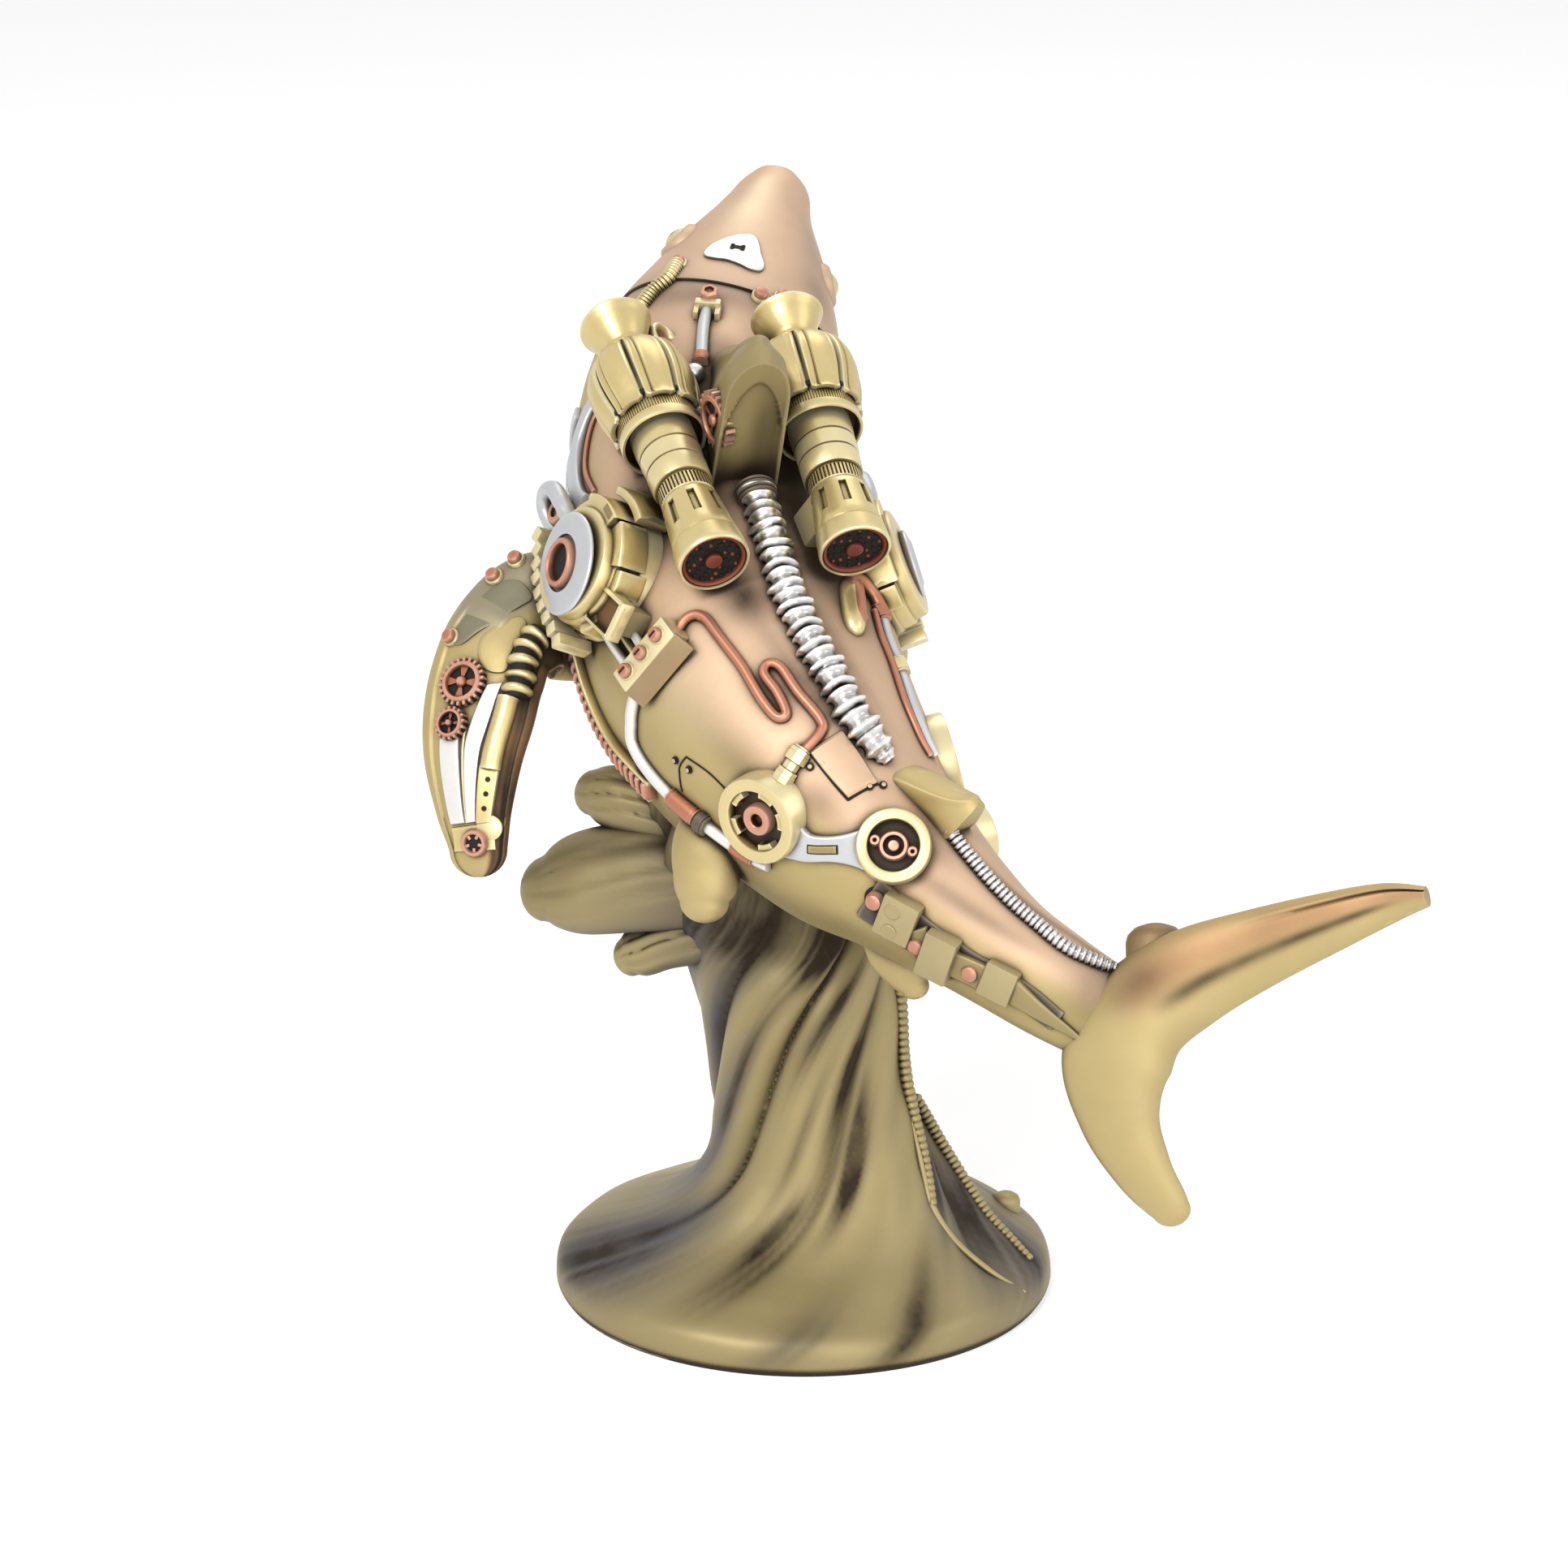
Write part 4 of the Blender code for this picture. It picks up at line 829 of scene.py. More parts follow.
def antique(name, kind, paint_of):
    """Painted metal finish; paint_of(tree) is the colour or socket of its paint."""
    made = bpy.data.materials.get(name)
    if made:
        return made
    wash_and_shade, rub_and_highlight, metallic, roughness, reach, depth, wear_and_highlight, grain, bump = FINISHES[kind]
    made = bpy.data.materials.new(name)
    made.use_nodes = True
    tree = made.node_tree
    shader = tree.nodes["Principled BSDF"]
    shader.inputs["Metallic"].default_value = metallic
    shader.inputs["Specular IOR Level"].default_value = 0.4
    coat = add_node(tree, "ShaderNodeGroup", node_tree=antique_wash_and_shade())
    paint_colour = paint_of(tree)
    is_link = isinstance(paint_colour, bpy.types.NodeSocket)
    feed(tree, coat.inputs["Paint"], paint_colour if is_link else (*paint_colour, 1.0))
    coat.inputs["WashAndShade"].default_value = (*wash_and_shade, 1.0)
    coat.inputs["RubAndHighlight"].default_value = (*rub_and_highlight, 1.0)
    for socket, value in (
        ("Reach", reach * MM), ("Depth", depth), ("WearAndHighlight", wear_and_highlight),
        ("Roughness", roughness), ("Grain", grain),
    ):
        coat.inputs[socket].default_value = value
    dents = add_node(tree, "ShaderNodeBump")
    dents.inputs["Strength"].default_value = 0.6
    dents.inputs["Distance"].default_value = bump * MM
    feed(tree, shader.inputs["Base Color"], coat.outputs["Color"])
    feed(tree, shader.inputs["Roughness"], coat.outputs["Roughness"])
    feed(tree, dents.inputs["Height"], coat.outputs["Height"])
    feed(tree, shader.inputs["Normal"], dents.outputs["Normal"])
    return made


def colours():
    return bpy.context.scene.shark_colours


def brass():
    return antique("pale_brass", "brass", lambda tree: tuple(colours().brass))


def copper():
    return antique("rubbed_copper", "copper", lambda tree: tuple(colours().copper))


def silver():
    return antique("silver_white_paint", "silver", lambda tree: tuple(colours().silver))


def chrome():
    return antique("bright_chrome", "chrome", lambda tree: tuple(colours().chrome))


def umber():
    return antique("umber_bronze", "bronze", lambda tree: srgb(126, 94, 58))


def white():
    return antique("warm_white", "silver", lambda tree: srgb(234, 232, 226))


def slate():
    return antique("slate_olive", "bronze", lambda tree: srgb(134, 128, 106))


def gunmetal():
    return antique("gunmetal", "bronze", lambda tree: srgb(92, 84, 74))


def nozzle_red():
    return antique("burnt_red", "nozzle", lambda tree: tuple(colours().nozzle))


# Black paint, used mostly as painted shade in holes, windows, slots and gaps.
def black_and_shade():
    return antique("black_paint_and_shade", "black_and_shade", lambda tree: srgb(22, 16, 12))


def hide_paint():
    """Champagne flanks that turn to rose copper on the back, with a painted highlight along the snout ridge
    and grey painted shade.
    """
    def mixed(tree):
        flank, back = tuple(colours().champagne), tuple(colours().rose)
        tint = blend_colours(tree, attribute(tree, "copper"), flank, back)
        tint = blend_colours(tree, attribute(tree, "glow"), tint, srgb(240, 222, 186))
        return blend_colours(tree, attribute(tree, "grey_tint_and_shade"), tint, srgb(138, 134, 134))
    return antique("champagne_and_rose", "bronze", mixed)


def wave_paint():
    """Olive bronze that turns blue-grey where it is shaded."""
    def mixed(tree):
        olive = tuple(colours().bronze)
        return blend_colours(tree, attribute(tree, "grey_tint_and_shade"), olive, srgb(118, 118, 124))
    return antique("olive_bronze", "bronze", mixed)


def dark_bronze():
    return antique("dark_bronze", "bronze", lambda tree: srgb(156, 140, 96))


def seam_offset(t, degrees):
    """How far along a place is past the neck seam."""
    return t - NECK_SEAM + NECK_SLANT * min(max(degrees, -90.0), 90.0)


# Smoke and painted shade round the fittings, such as the shadows under the nozzles, with a dark line along
# the neck seam.
def body_smoke_and_shade(t, degrees):
    total = 0.0
    for spot_t, spot_degrees, reach, spread, strength in SMOKE_AND_SHADE:
        across = (degrees - spot_degrees + 180) % 360 - 180
        total += strength * bell(t - spot_t, reach) * bell(across, spread)
    past = seam_offset(t, degrees)
    line = 0.5 * bell(past - 0.0008, 0.0010)
    return min(total + line, 0.95)


def body_copper(t, degrees):
    edge = 78 if t < 0.28 else 44 + 14 * ease((t - 0.7) / 0.2)
    return 1 - ease((abs(degrees) - edge) / 34)


# Painted highlight along the snout ridge, and a paler patch on the port flank.
def body_painted_highlight(t, degrees):
    ridge = bell(degrees - 12, 16) * ease((t - 0.02) / 0.05) * (1 - ease((t - 0.16) / 0.08))
    flank = 0.2 * bell(t - 0.58, 0.05) * bell(degrees - 60, 22)
    return 0.6 * ridge + flank


# Grey painted shade behind the neck seam, on the snout's starboard side and under the belly.
def body_grey_shade(t, degrees):
    past = seam_offset(t, degrees)
    neck = 0.55 * math.exp(-past / 0.014) if past > 0 else 0.25 * math.exp(past / 0.012)
    limb = 0.35 * bell(degrees + 52, 14) * bell(t - 0.17, 0.06)
    under = 0.35 * ease((abs(degrees) - 120) / 40)
    return min(neck + limb + under, 0.8)


# Rings of the body's mesh, closer together at the neck seam: t at each end, and how many.
BODY_SPANS = ((0.0, 0.27, 84), (0.27, 0.30, 36), (0.30, 1.0, 180))
BODY_SIDES = 144


def build_body():
    ts = [0.0]
    for low, high, count in BODY_SPANS:
        ts += [low + (high - low) * (k + 1) / count for k in range(count)]
    last = len(ts) - 1

    def place(u, v):
        t, degrees = ts[round(v * last)], 360 * u - 180
        slant = -NECK_SLANT * min(max(degrees, -90.0), 90.0)
        return t + slant * bell(t - NECK_SEAM, 0.03), degrees

    def shape(u, v):
        t, degrees = place(u, v)
        past = seam_offset(t, degrees)
        lift = NECK_STEP * (math.exp(past / 0.022) if past < 0 else -0.4 * math.exp(-past / 0.008))
        lift += 1.4 * MM * bell(t - 0.035, 0.035)
        return skin(t, degrees, lift)

    masks = {
        "smoke_and_shade": lambda u, v: body_smoke_and_shade(*place(u, v)),
        "copper": lambda u, v: body_copper(*place(u, v)),
        "glow": lambda u, v: body_painted_highlight(*place(u, v)),
        "grey_tint_and_shade": lambda u, v: body_grey_shade(*place(u, v)),
    }
    body = paint(wrapped("shark_body", BODY_SIDES, last, shape, masks), hide_paint())
    return keep(body, "rose_copper", 60)


def wave_fold(u, degrees):
    """Small folds that the wave's foot has beside its flutes, in metres."""
    height = spline(WAVE_STATIONS, u)[0]
    a = math.radians(degrees)
    low = ease((height - 4) / 10) * (1 - ease((height - 26) / 20))
    high = ease((height - 30) / 20)
    swirl = a - FLUTE_TURN * height / 20
    fold = 0.5 * low * math.sin(11 * swirl + 1.3) + 0.35 * high * math.sin(13 * swirl + 0.4)
    return fold * MM


# Degrees that a flute turns for a mm of height.
FLUTE_SLOPE = math.degrees(FLUTE_TURN) / 20


def wave_patch(degrees, height, column):
    """Strength of the painted patches at a place; column is 4 for smoke and painted shade and 5 for
    blue-grey painted shade.
    """
    total = 0.0
    for patch in WAVE_PATCHES:
        along = FLUTE_SLOPE * (height - patch[1])
        across = (degrees - patch[0] - along + 180) % 360 - 180
        total += patch[column] * bell(across, patch[2]) * bell(height - patch[1], patch[3])
    return total


# Smoke and painted shade: darker in the flutes and at the top of the column under the belly, streaked, plus
# the painted patches.
def wave_smoke_and_shade(u, degrees):
    height = spline(WAVE_STATIONS, u)[0]
    flute = 0.55 * wave_groove(degrees, height) ** 4 * ease((height - 8) / 24)
    under = 0.45 * ease((height - 90) / 16)
    streak = 1 + 0.5 * noise.noise(Vector((degrees / 3 - height * FLUTE_SLOPE / 3, height / 40, 3)))
    return min((flute + under + wave_patch(degrees, height, 4)) * streak, 0.95)


def wave_grey_shade(u, degrees):
    return min(wave_patch(degrees, spline(WAVE_STATIONS, u)[0], 5), 0.9)


def build_wave():
    def column(u, v):
        degrees = 360 * u
        return wave_point(v, degrees, wave_fold(v, degrees))

    masks = {
        "smoke_and_shade": lambda u, v: wave_smoke_and_shade(v, 360 * u),
        "grey_tint_and_shade": lambda u, v: wave_grey_shade(v, 360 * u),
    }
    wave = paint(wrapped("wave", 192, 150, column, masks), wave_paint())
    keep(wave, "bronze_wave", 50)
    for n, rows in enumerate(SPLASH_LOBES):
        def lobe(u, v, rows=rows):
            a = TURN * u
            bend = math.cos(a) + 0.25 * math.sin(5 * v + n)
            crease = bell(bend + 0.45, 0.08) + 0.8 * bell(bend - 0.05, 0.06) + bell(bend - 0.5, 0.09)
            lift = -0.9 * MM * crease * ease(v / 0.3) * ease((1 - v) / 0.3)
            return rounded_blade(rows, Vector(), SPLASH_FACING, v, a, lift, 0.84)

        # Painted shade at each lobe's root and in its creases, and blue-grey painted shade on its lower
        # side.
        lobe_masks = {
            "smoke_and_shade": lambda u, v: 0.35 * bell(math.cos(TURN * u) + 0.45, 0.2) + 0.75 * bell(v, 0.42)
            + 0.5 * bell(math.sin(TURN * u) + 0.9, 0.5),
            "grey_tint_and_shade": lambda u, v: 0.8 * bell(math.sin(TURN * u) + 0.35, 0.6) + 0.5 * bell(v, 0.35),
        }
        splash = paint(wrapped(f"splash_{n + 1}", 64, 40, lobe, lobe_masks), wave_paint())
        keep(splash, "bronze_wave", 60)
    build_foot_hoses()


def build_foot_hoses():
    """Segmented gold hoses that run down the wave's foot, and the cap beside them."""
    for n, rows in enumerate(FOOT_HOSES):
        rings = 34
        count = rings * 6 + 1
        spots = []
        for k in range(25):
            degrees, height = spline(rows, k / 24)
            spots.append(wave_point(wave_share(height), degrees, HOSE_LIFT / 2))
        frames = route(spots, count)

        def radius(v):
            size = 1.7 * (1 - 0.45 * v**3)
            return size * (1 - 0.20 * abs(math.cos(math.pi * rings * v)) ** 6)

        hose = paint(swept(f"foot_hose_{n + 1}", frames, 16, round_section(radius)), dark_bronze())
        keep(hose, "antique_gold")
    edge = [wave_point(wave_share(height), degrees) for degrees, height in FOOT_EDGE]
    round_edge = round_section(lambda v: 0.9 * math.sin(math.pi * (0.05 + 0.9 * v)) ** 0.5)
    line = swept("foot_edge", route(edge, 60), 12, round_edge)
    keep(paint(line, wave_paint()), "bronze_wave", 60)
    degrees, height = FOOT_BUMP_PLACE
    spot = wave_point(wave_share(height), degrees)
    foot_cap_profile = ((0, -4), (3.4, -4), (3.4, 1.2), (3.0, 2.2), (2.0, 2.9), (1.0, 3.2), (0, 3.3))
    cap = spun("foot_cap", foot_cap_profile, 40)
    keep(paint(put(cap, Matrix.Translation(spot)), dark_bronze()), "antique_gold")


def rounded_blade(rows, base, facing, u, a, lift, start_share):
    """Point on a fin whose end is rounded off from a share of its length on."""
    if u <= start_share:
        return blade_point(rows, base, facing, u, a, lift)
    turn = math.pi / 2 * (u - start_share) / (1 - start_share)
    spot = blade_point(rows, base, facing, start_share, a, lift)
    ends = [blade_point(rows, base, facing, start_share, angle) for angle in (0, math.pi)]
    middle = (ends[0] + ends[1]) / 2
    before = [blade_point(rows, base, facing, start_share - 0.01, angle) for angle in (0, math.pi)]
    way = (middle - (before[0] + before[1]) / 2).normalized()
    reach = (ends[0] - ends[1]).length / 2 * 0.85
    return middle + (spot - middle) * math.cos(turn) + way * reach * math.sin(turn)


def fin(name, rows, base, facing, around, along, relief, masks, finish, slot, tip=0.93):
    """Fin whose relief(u, v) raises its outer face by mm at v across it."""
    def shape(u, v):
        a = TURN * u
        lift = relief(v, math.cos(a)) * MM if math.sin(a) > 0 else 0.0
        return rounded_blade(rows, base, facing, v, a, lift, tip)

    across = {
        key: (lambda u, v, value=value: value(v, math.cos(TURN * u), math.sin(TURN * u)))
        for key, value in masks.items()
    }
    made = paint(wrapped(name, around, along, shape, across), finish)
    return keep(made, slot, 60)


def port_relief(u, v):
    outer = ease((u - 0.28) / 0.06)
    band = 0.9 * (1 - ease((v + 0.76) / 0.06)) * outer
    groove = -1.6 * bell(v - 0.86, 0.05) * ease((u - 0.3) / 0.1)
    root = 0.8 * bell(u - 0.30, 0.025) * ease((0.1 - v) / 0.1)
    return band + groove + root


# A dark brown line across the upper lobe, and painted shade at the joint with the tail root, along the lower
# lobe's leading edge and over the inner face.
def tail_brown_shade(u, v, front):
    upper = 1 - ease((u - 0.40) / 0.08)
    line = 0.7 * bell(v - 0.06 - 0.5 * (u - 0.2), 0.16) * upper * ease((u - 0.04) / 0.12)
    joint = 0.6 * bell(u - 0.46, 0.06) * bell(v + 0.45, 0.45)
    edge = 0.5 * bell(v + 1.0, 0.12) * (1 - upper)
    return line + joint + edge if front > 0 else 0.25


def tail_relief(u, v):
    ridge = 0.9 * bell(v + 0.80, 0.07) - 0.5 * bell(v + 0.66, 0.05)
    return ridge * (1 - ease((u - 0.22) / 0.1))


def build_fins():
    port, starboard = skin(*PORT_FIN_ROOT), skin(*STARBOARD_FIN_ROOT)
    # Darker and browner over the trailing half, painted shade over the whole inner face, and grey towards
    # the root.
    trailing = {
        "smoke_and_shade": lambda u, v, front: 0.8 * ease((v - 0.46) / 0.2) * ease((u - 0.18) / 0.12)
        if front > 0 else 0.35,
        "grey_tint_and_shade": lambda u, v, front: 0.7 * (1 - ease((u - 0.30) / 0.08)) * ease((0.2 - v) / 0.3),
        "copper": lambda u, v, front: ease((v - 0.40) / 0.2) * ease((u - 0.18) / 0.12),
    }
    fin("port_fin", PORT_FIN, port, PORT_FIN_FACING, 160, 120, port_relief, trailing,
        wave_and_gold(), "antique_gold")
    fin("starboard_fin", STARBOARD_FIN, starboard, STARBOARD_FIN_FACING, 96, 80,
        lambda u, v: 0.8 * (1 - ease((v + 0.7) / 0.08)) - 0.9 * bell(v - 0.6, 0.05), trailing,
        wave_and_gold(), "antique_gold")
    t, degrees = PELVIC_PLACE
    # Painted shade: darker at the root, where the fin meets the body, and along its trailing side.
    soft = {"smoke_and_shade": lambda u, v, front: 0.75 * bell(u - 0.1, 0.3) * (0.5 + 0.5 * v) + 0.3 * bell(v - 0.9,
                                                                                                  0.3)}
    for side, name in ((1, "port_pelvic_fin"), (-1, "starboard_pelvic_fin")):
        rows = [(x * side, y, z, c, h) for x, y, z, c, h in PELVIC_FIN]
        facing = (PELVIC_FACING[0] * side, PELVIC_FACING[1], PELVIC_FACING[2])
        fin(name, rows, skin(t, degrees * side), facing, 48, 40, lambda u, v: 0.0, soft,
            wave_and_gold(), "antique_gold", 0.8)
    fin("anal_fin", ANAL_FIN, skin(*ANAL_PLACE), TAIL_FACING, 48, 30,
        lambda u, v: 0.0, soft, wave_and_gold(), "antique_gold", 0.8)
    tail_masks = {
        "smoke_and_shade": tail_brown_shade,
        "copper": lambda u, v, front: 0.9 * (1 - ease((u - 0.44) / 0.1)) * bell(v + 0.42, 0.5),
    }
    fin("tail_fin", TAIL_FIN, body_frame(1.0)[0], TAIL_FACING, 112, 130,
        tail_relief, tail_masks, wave_and_gold(), "antique_gold", 0.94)
    place = Matrix.Translation(body_frame(1.0)[0] + Vector(TAIL_DOME_PLACE) * MM)
    profile = ((0, -6.5), (6.5, -6.5), (6.5, 0.0), (6.1, 1.5), (4.8, 2.9), (2.6, 3.8), (0, 4.0))
    dome = put(spun("tail_dome", profile, 56), place @ Matrix.Rotation(math.radians(-35), 4, "X"))
    keep(paint(dome, umber()), "rose_copper")


def wave_and_gold():
    """Pale champagne gold of the fins, with copper and grey where they are tinted."""
    def mixed(tree):
        gold, brown = tuple(colours().fin_gold), srgb(182, 140, 100)
        tint = blend_colours(tree, attribute(tree, "copper"), gold, brown)
        return blend_colours(tree, attribute(tree, "grey_tint_and_shade"), tint, srgb(140, 136, 122))
    return antique("fin_gold", "bronze", mixed)


# Share of its chord that each back fin keeps at its top.
BACK_FIN_KEPT = {"dorsal_fin": 0.6, "second_dorsal_fin": 0.1}
# Share of its height from which each back fin is rounded off.
BACK_FIN_ROUND = {"dorsal_fin": 0.74, "second_dorsal_fin": 0.30}
TRAILING_SHARE = 0.14


def back_fin_axes(name):
    front, rear = BACK_FINS[name][:2]
    start_spot, end = skin(front, 0), skin(rear, 0)
    _, _, across, up, _, _, _ = body_frame(rear)
    return end, (end - start_spot).normalized(), (end - start_spot).length, across, up


def back_fin_spot(name, share, side, back):
    """Point of a back fin: share of its height, side from -1 to 1 and back from 0 to its front."""
    _, _, height, top_chord, lean, half, thin = BACK_FINS[name]
    end, way, chord, across, up = back_fin_axes(name)
    fill = 1.04 - 0.08 * min(share, 1.0)
    past = (share - BACK_FIN_ROUND[name]) / (1.01 - BACK_FIN_ROUND[name])
    if past > 0:
        fill *= math.sqrt(max(0.0, 1 - past**2))
    rise = up * (share * (height + BACK_FIN_SINK) - BACK_FIN_SINK) * MM
    spot = end + rise - way * lean * MM * share
    base = chord + (top_chord * MM - chord) * ease(share)
    kept = BACK_FIN_KEPT[name]
    long = base * (kept + (1 - kept) * min(fill, 1.0))
    spot -= way * (base - long) * (0.5 if kept < 0.5 else 0.0)
    blunt = 1.6 * thin / half
    if back < 0.45:
        wide = 1 - 0.02 * back / 0.45
    elif back < 0.85:
        wide = 0.98 + (blunt - 0.98) * ease((back - 0.45) / 0.4)
    else:
        wide = blunt * math.sqrt(max(0.0, 1 - ((back - 0.85) / 0.15) ** 2))
    return spot + across * side * wide * half * fill * MM - way * long * back


def build_back_fin(name, finish, hollow):
    def shape(u, v):
        share = 1.01 * (v / 0.7 * 0.74 if v < 0.7 else 0.74 + 0.26 * math.sin((v - 0.7) / 0.3 * math.pi / 2))
        q = u if u <= 0.5 else 1 - u
        side = 1 if u <= 0.5 else -1
        if q < TRAILING_SHARE:
            x = q / TRAILING_SHARE
            spot = back_fin_spot(name, share, side * x, 0.0)
            edge = 0.88 * math.sqrt(1 - (0.9 * x) ** 2)
            dip = hollow * (1 - ease((share - edge + 0.05) / 0.05)) * (1 - ease((x - 0.78) / 0.2))
            return spot - back_fin_axes(name)[1] * dip * MM
        back = math.sin((q - TRAILING_SHARE) / (0.5 - TRAILING_SHARE) * math.pi / 2)
        return back_fin_spot(name, share, side, back)

    # Painted shade: darker at the fin's foot and, on the dorsal fin, a painted shadow across its trailing
    # face.
    def smoke_and_shade(u, v):
        if not hollow:
            return 0.5 * bell(v - 0.05, 0.12)
        side = min(u, 1 - u) / TRAILING_SHARE * (1 if u <= 0.5 else -1)
        shade = 0.6 * ease((0.35 - side) / 0.7) * bell(v - 0.45, 0.3) * (abs(side) <= 0.9)
        return min(0.9 * bell(v - 0.05, 0.2) + shade, 0.95)

    made = wrapped(name, 100, 90, shape, {"smoke_and_shade": smoke_and_shade})
    return keep(paint(made, finish), "antique_gold", 40)


def build_back_fins():
    build_back_fin("dorsal_fin", dark_bronze(), 1.2)
    build_back_fin("second_dorsal_fin", wave_and_gold(), 0.0)
    end, way, chord, across, up = back_fin_axes("dorsal_fin")
    middle = back_fin_spot("dorsal_fin", 0.44, 1.0, 0.22)
    out = (across * 0.9 + way * 0.25).normalized()
    top = (up - out * up.dot(out)).normalized()
    axes = Matrix((top, out.cross(top), out)).transposed().to_4x4()
    wheel_gear = gear("dorsal_gear", 6.6, 20, 1.2, 1.4, copper())
    keep(put(wheel_gear, Matrix.Translation(middle) @ axes), "rose_copper")


def gear(name, radius, teeth, height, sink, finish):
    """Toothed wheel with four windows round its hub."""
    profile = [(r * radius, z * height) for r, z in (
        (0, 1.25), (0.14, 1.25), (0.20, 1.0), (0.24, 0.55), (0.64, 0.5), (0.70, 1.0), (0.84, 1.0), (0.88,
                                                                                                    0.8),
    )]
    profile += [(0.88 * radius, -sink), (0, -sink)]
    made = spun(name, profile, teeth * 2)

    def tooth(middle, normal):
        rim = math.hypot(middle.x, middle.y) > 0.8 * radius * MM and abs(normal.z) < 0.3
        return rim and sector(middle, teeth) < 0.5

    def window(middle, normal):
        r = math.hypot(middle.x, middle.y)
        web = 0.24 * radius * MM < r < 0.64 * radius * MM and normal.z > 0.7
        return web and 0.14 < sector(middle, 4) < 0.86

    choose(made, tooth)
    bpy.ops.mesh.inset(thickness=0.03 * MM, depth=0.16 * radius * MM, use_individual=True)
    choose(made, window)
    bpy.ops.mesh.inset(thickness=0.05 * MM, depth=-0.38 * height * MM, use_individual=False)
    start()
    paint(made, finish)
    # Black window floors: painted shade seen through the windows.
    floor_height = 0.2 * height * MM
    return paint(made, black_and_shade(), lambda middle, normal: normal.z > 0.7 and 0 < middle.z < floor_height)


# Profile of a jet from its funnel's rim down to its nozzle, as (radius, height) in mm.
FUNNEL_PROFILE = (
    (0, 7.4), (2.4, 7.0), (4.4, 5.4), (6.2, 3.0), (7.3, 1.2), (7.8, 0.6), (8.3, 0.7), (8.5, 1.2),
    (8.3, 1.8), (7.8, 2.4), (7.3, 3.6), (6.6, 5.2), (5.7, 6.9), (4.9, 8.2), (4.4, 9.0), (4.3, 9.5),
    (4.3, 10.2), (3.8, 10.5), (3.5, 10.8), (3.5, 12.6), (0, 12.6),
)
TANK_PROFILE = (
    (0, 11.6), (3.3, 11.6), (6.4, 13.6), (8.8, 17.0), (10.2, 21.6), (10.5, 26.0), (10.1, 30.0),
    (9.2, 34.2), (0, 34.2),
)
PETAL_PROFILE = (
    (11.8, 3.8), (12.8, 6.4), (14.8, 8.7), (17.4, 10.4), (20.8, 11.5), (24.6, 11.8), (28.4, 11.5),
    (31.6, 10.9), (34.0, 10.4), (35.6, 10.3), (36.4, 10.5),
)
COLLAR_PROFILE = (
    (0, 33.8), (8.6, 33.8), (9.1, 34.2), (9.45, 35.0), (9.5, 35.6), (9.6, 38.9), (9.7, 39.4),
    (9.85, 41.6), (9.7, 42.1), (9.2, 42.1), (8.9, 41.2), (8.4, 39.6), (7.3, 39.2), (0, 39.2),
)
BARREL_PROFILE = (
    (0, 38.6), (7.2, 38.6), (7.25, 43.4), (7.05, 46.4), (6.75, 46.6), (6.72, 47.0), (7.1, 47.2),
    (6.85, 51.4), (6.55, 51.6), (6.5, 52.0), (6.95, 52.2), (6.85, 56.8), (6.6, 57.3), (5.9, 57.5),
    (5.9, 58.0), (6.2, 58.2), (6.3, 62.0), (6.0, 62.4), (5.8, 62.6), (5.8, 63.0), (0, 63.0),
)
NOZZLE_PROFILE = (
    (0, 62.6), (6.2, 62.6), (6.45, 63.2), (6.6, 64.4), (7.25, 71.6), (7.45, 73.4), (7.7, 75.8),
    (7.6, 76.1), (7.85, 76.4), (8.15, 80.6), (8.15, 81.6), (7.9, 82.0), (7.5, 82.0), (7.35, 81.4),
    (7.3, 80.3), (0, 80.3),
)
FACE_PROFILE = (
    (0, 81.9), (1.3, 81.9), (1.85, 81.7), (2.0, 81.2), (2.05, 80.7), (6.2, 80.7), (6.5, 81.4),
    (7.0, 81.7), (7.35, 81.4), (7.35, 80.4), (0, 80.4),
)
PETAL_SIDES = 48
# Rings of beads on a nozzle's face: radius, bead radius and how many.
FACE_BEADS = ((3.0, 0.42, 8), (4.4, 0.48, 12), (5.7, 0.42, 16))


JET_SHARES = {"port_jet": 1.0, "starboard_jet": 0.89}


def petal(name, place):
    """One crowned strip of a jet's tank, with a raised line along each side."""
    half = math.pi / PETALS * 0.93

    def shape(u, v):
        height, radius = spline(PETAL_PROFILE, v)
        u = round(u * PETAL_SIDES) % PETAL_SIDES / PETAL_SIDES
        outer = u < 0.5
        x = 2 * (u / 0.5) - 1 if outer else 1 - 2 * ((u - 0.5) / 0.5)
        end = ease((1 - v) / 0.10)
        narrow = 1 - 0.30 * (1 - end)
        crown = 0.45 * (1 - x * x)
        split = 0.30 * bell(x - 0.42, 0.05) - 0.25 * bell(x - 0.50, 0.05)
        lines = (0.22 * bell(abs(x) - 0.86, 0.06) + split) * ease(v / 0.1) * end
        lift = crown + lines if outer else crown - 1.1
        if abs(x) > 0.97 and outer:
            lift -= 0.35
        a = x * half * narrow
        r = (radius + lift) * MM
        return place @ Vector((r * math.cos(a), r * math.sin(a), height * MM))

    return wrapped(name, PETAL_SIDES, 40, shape)


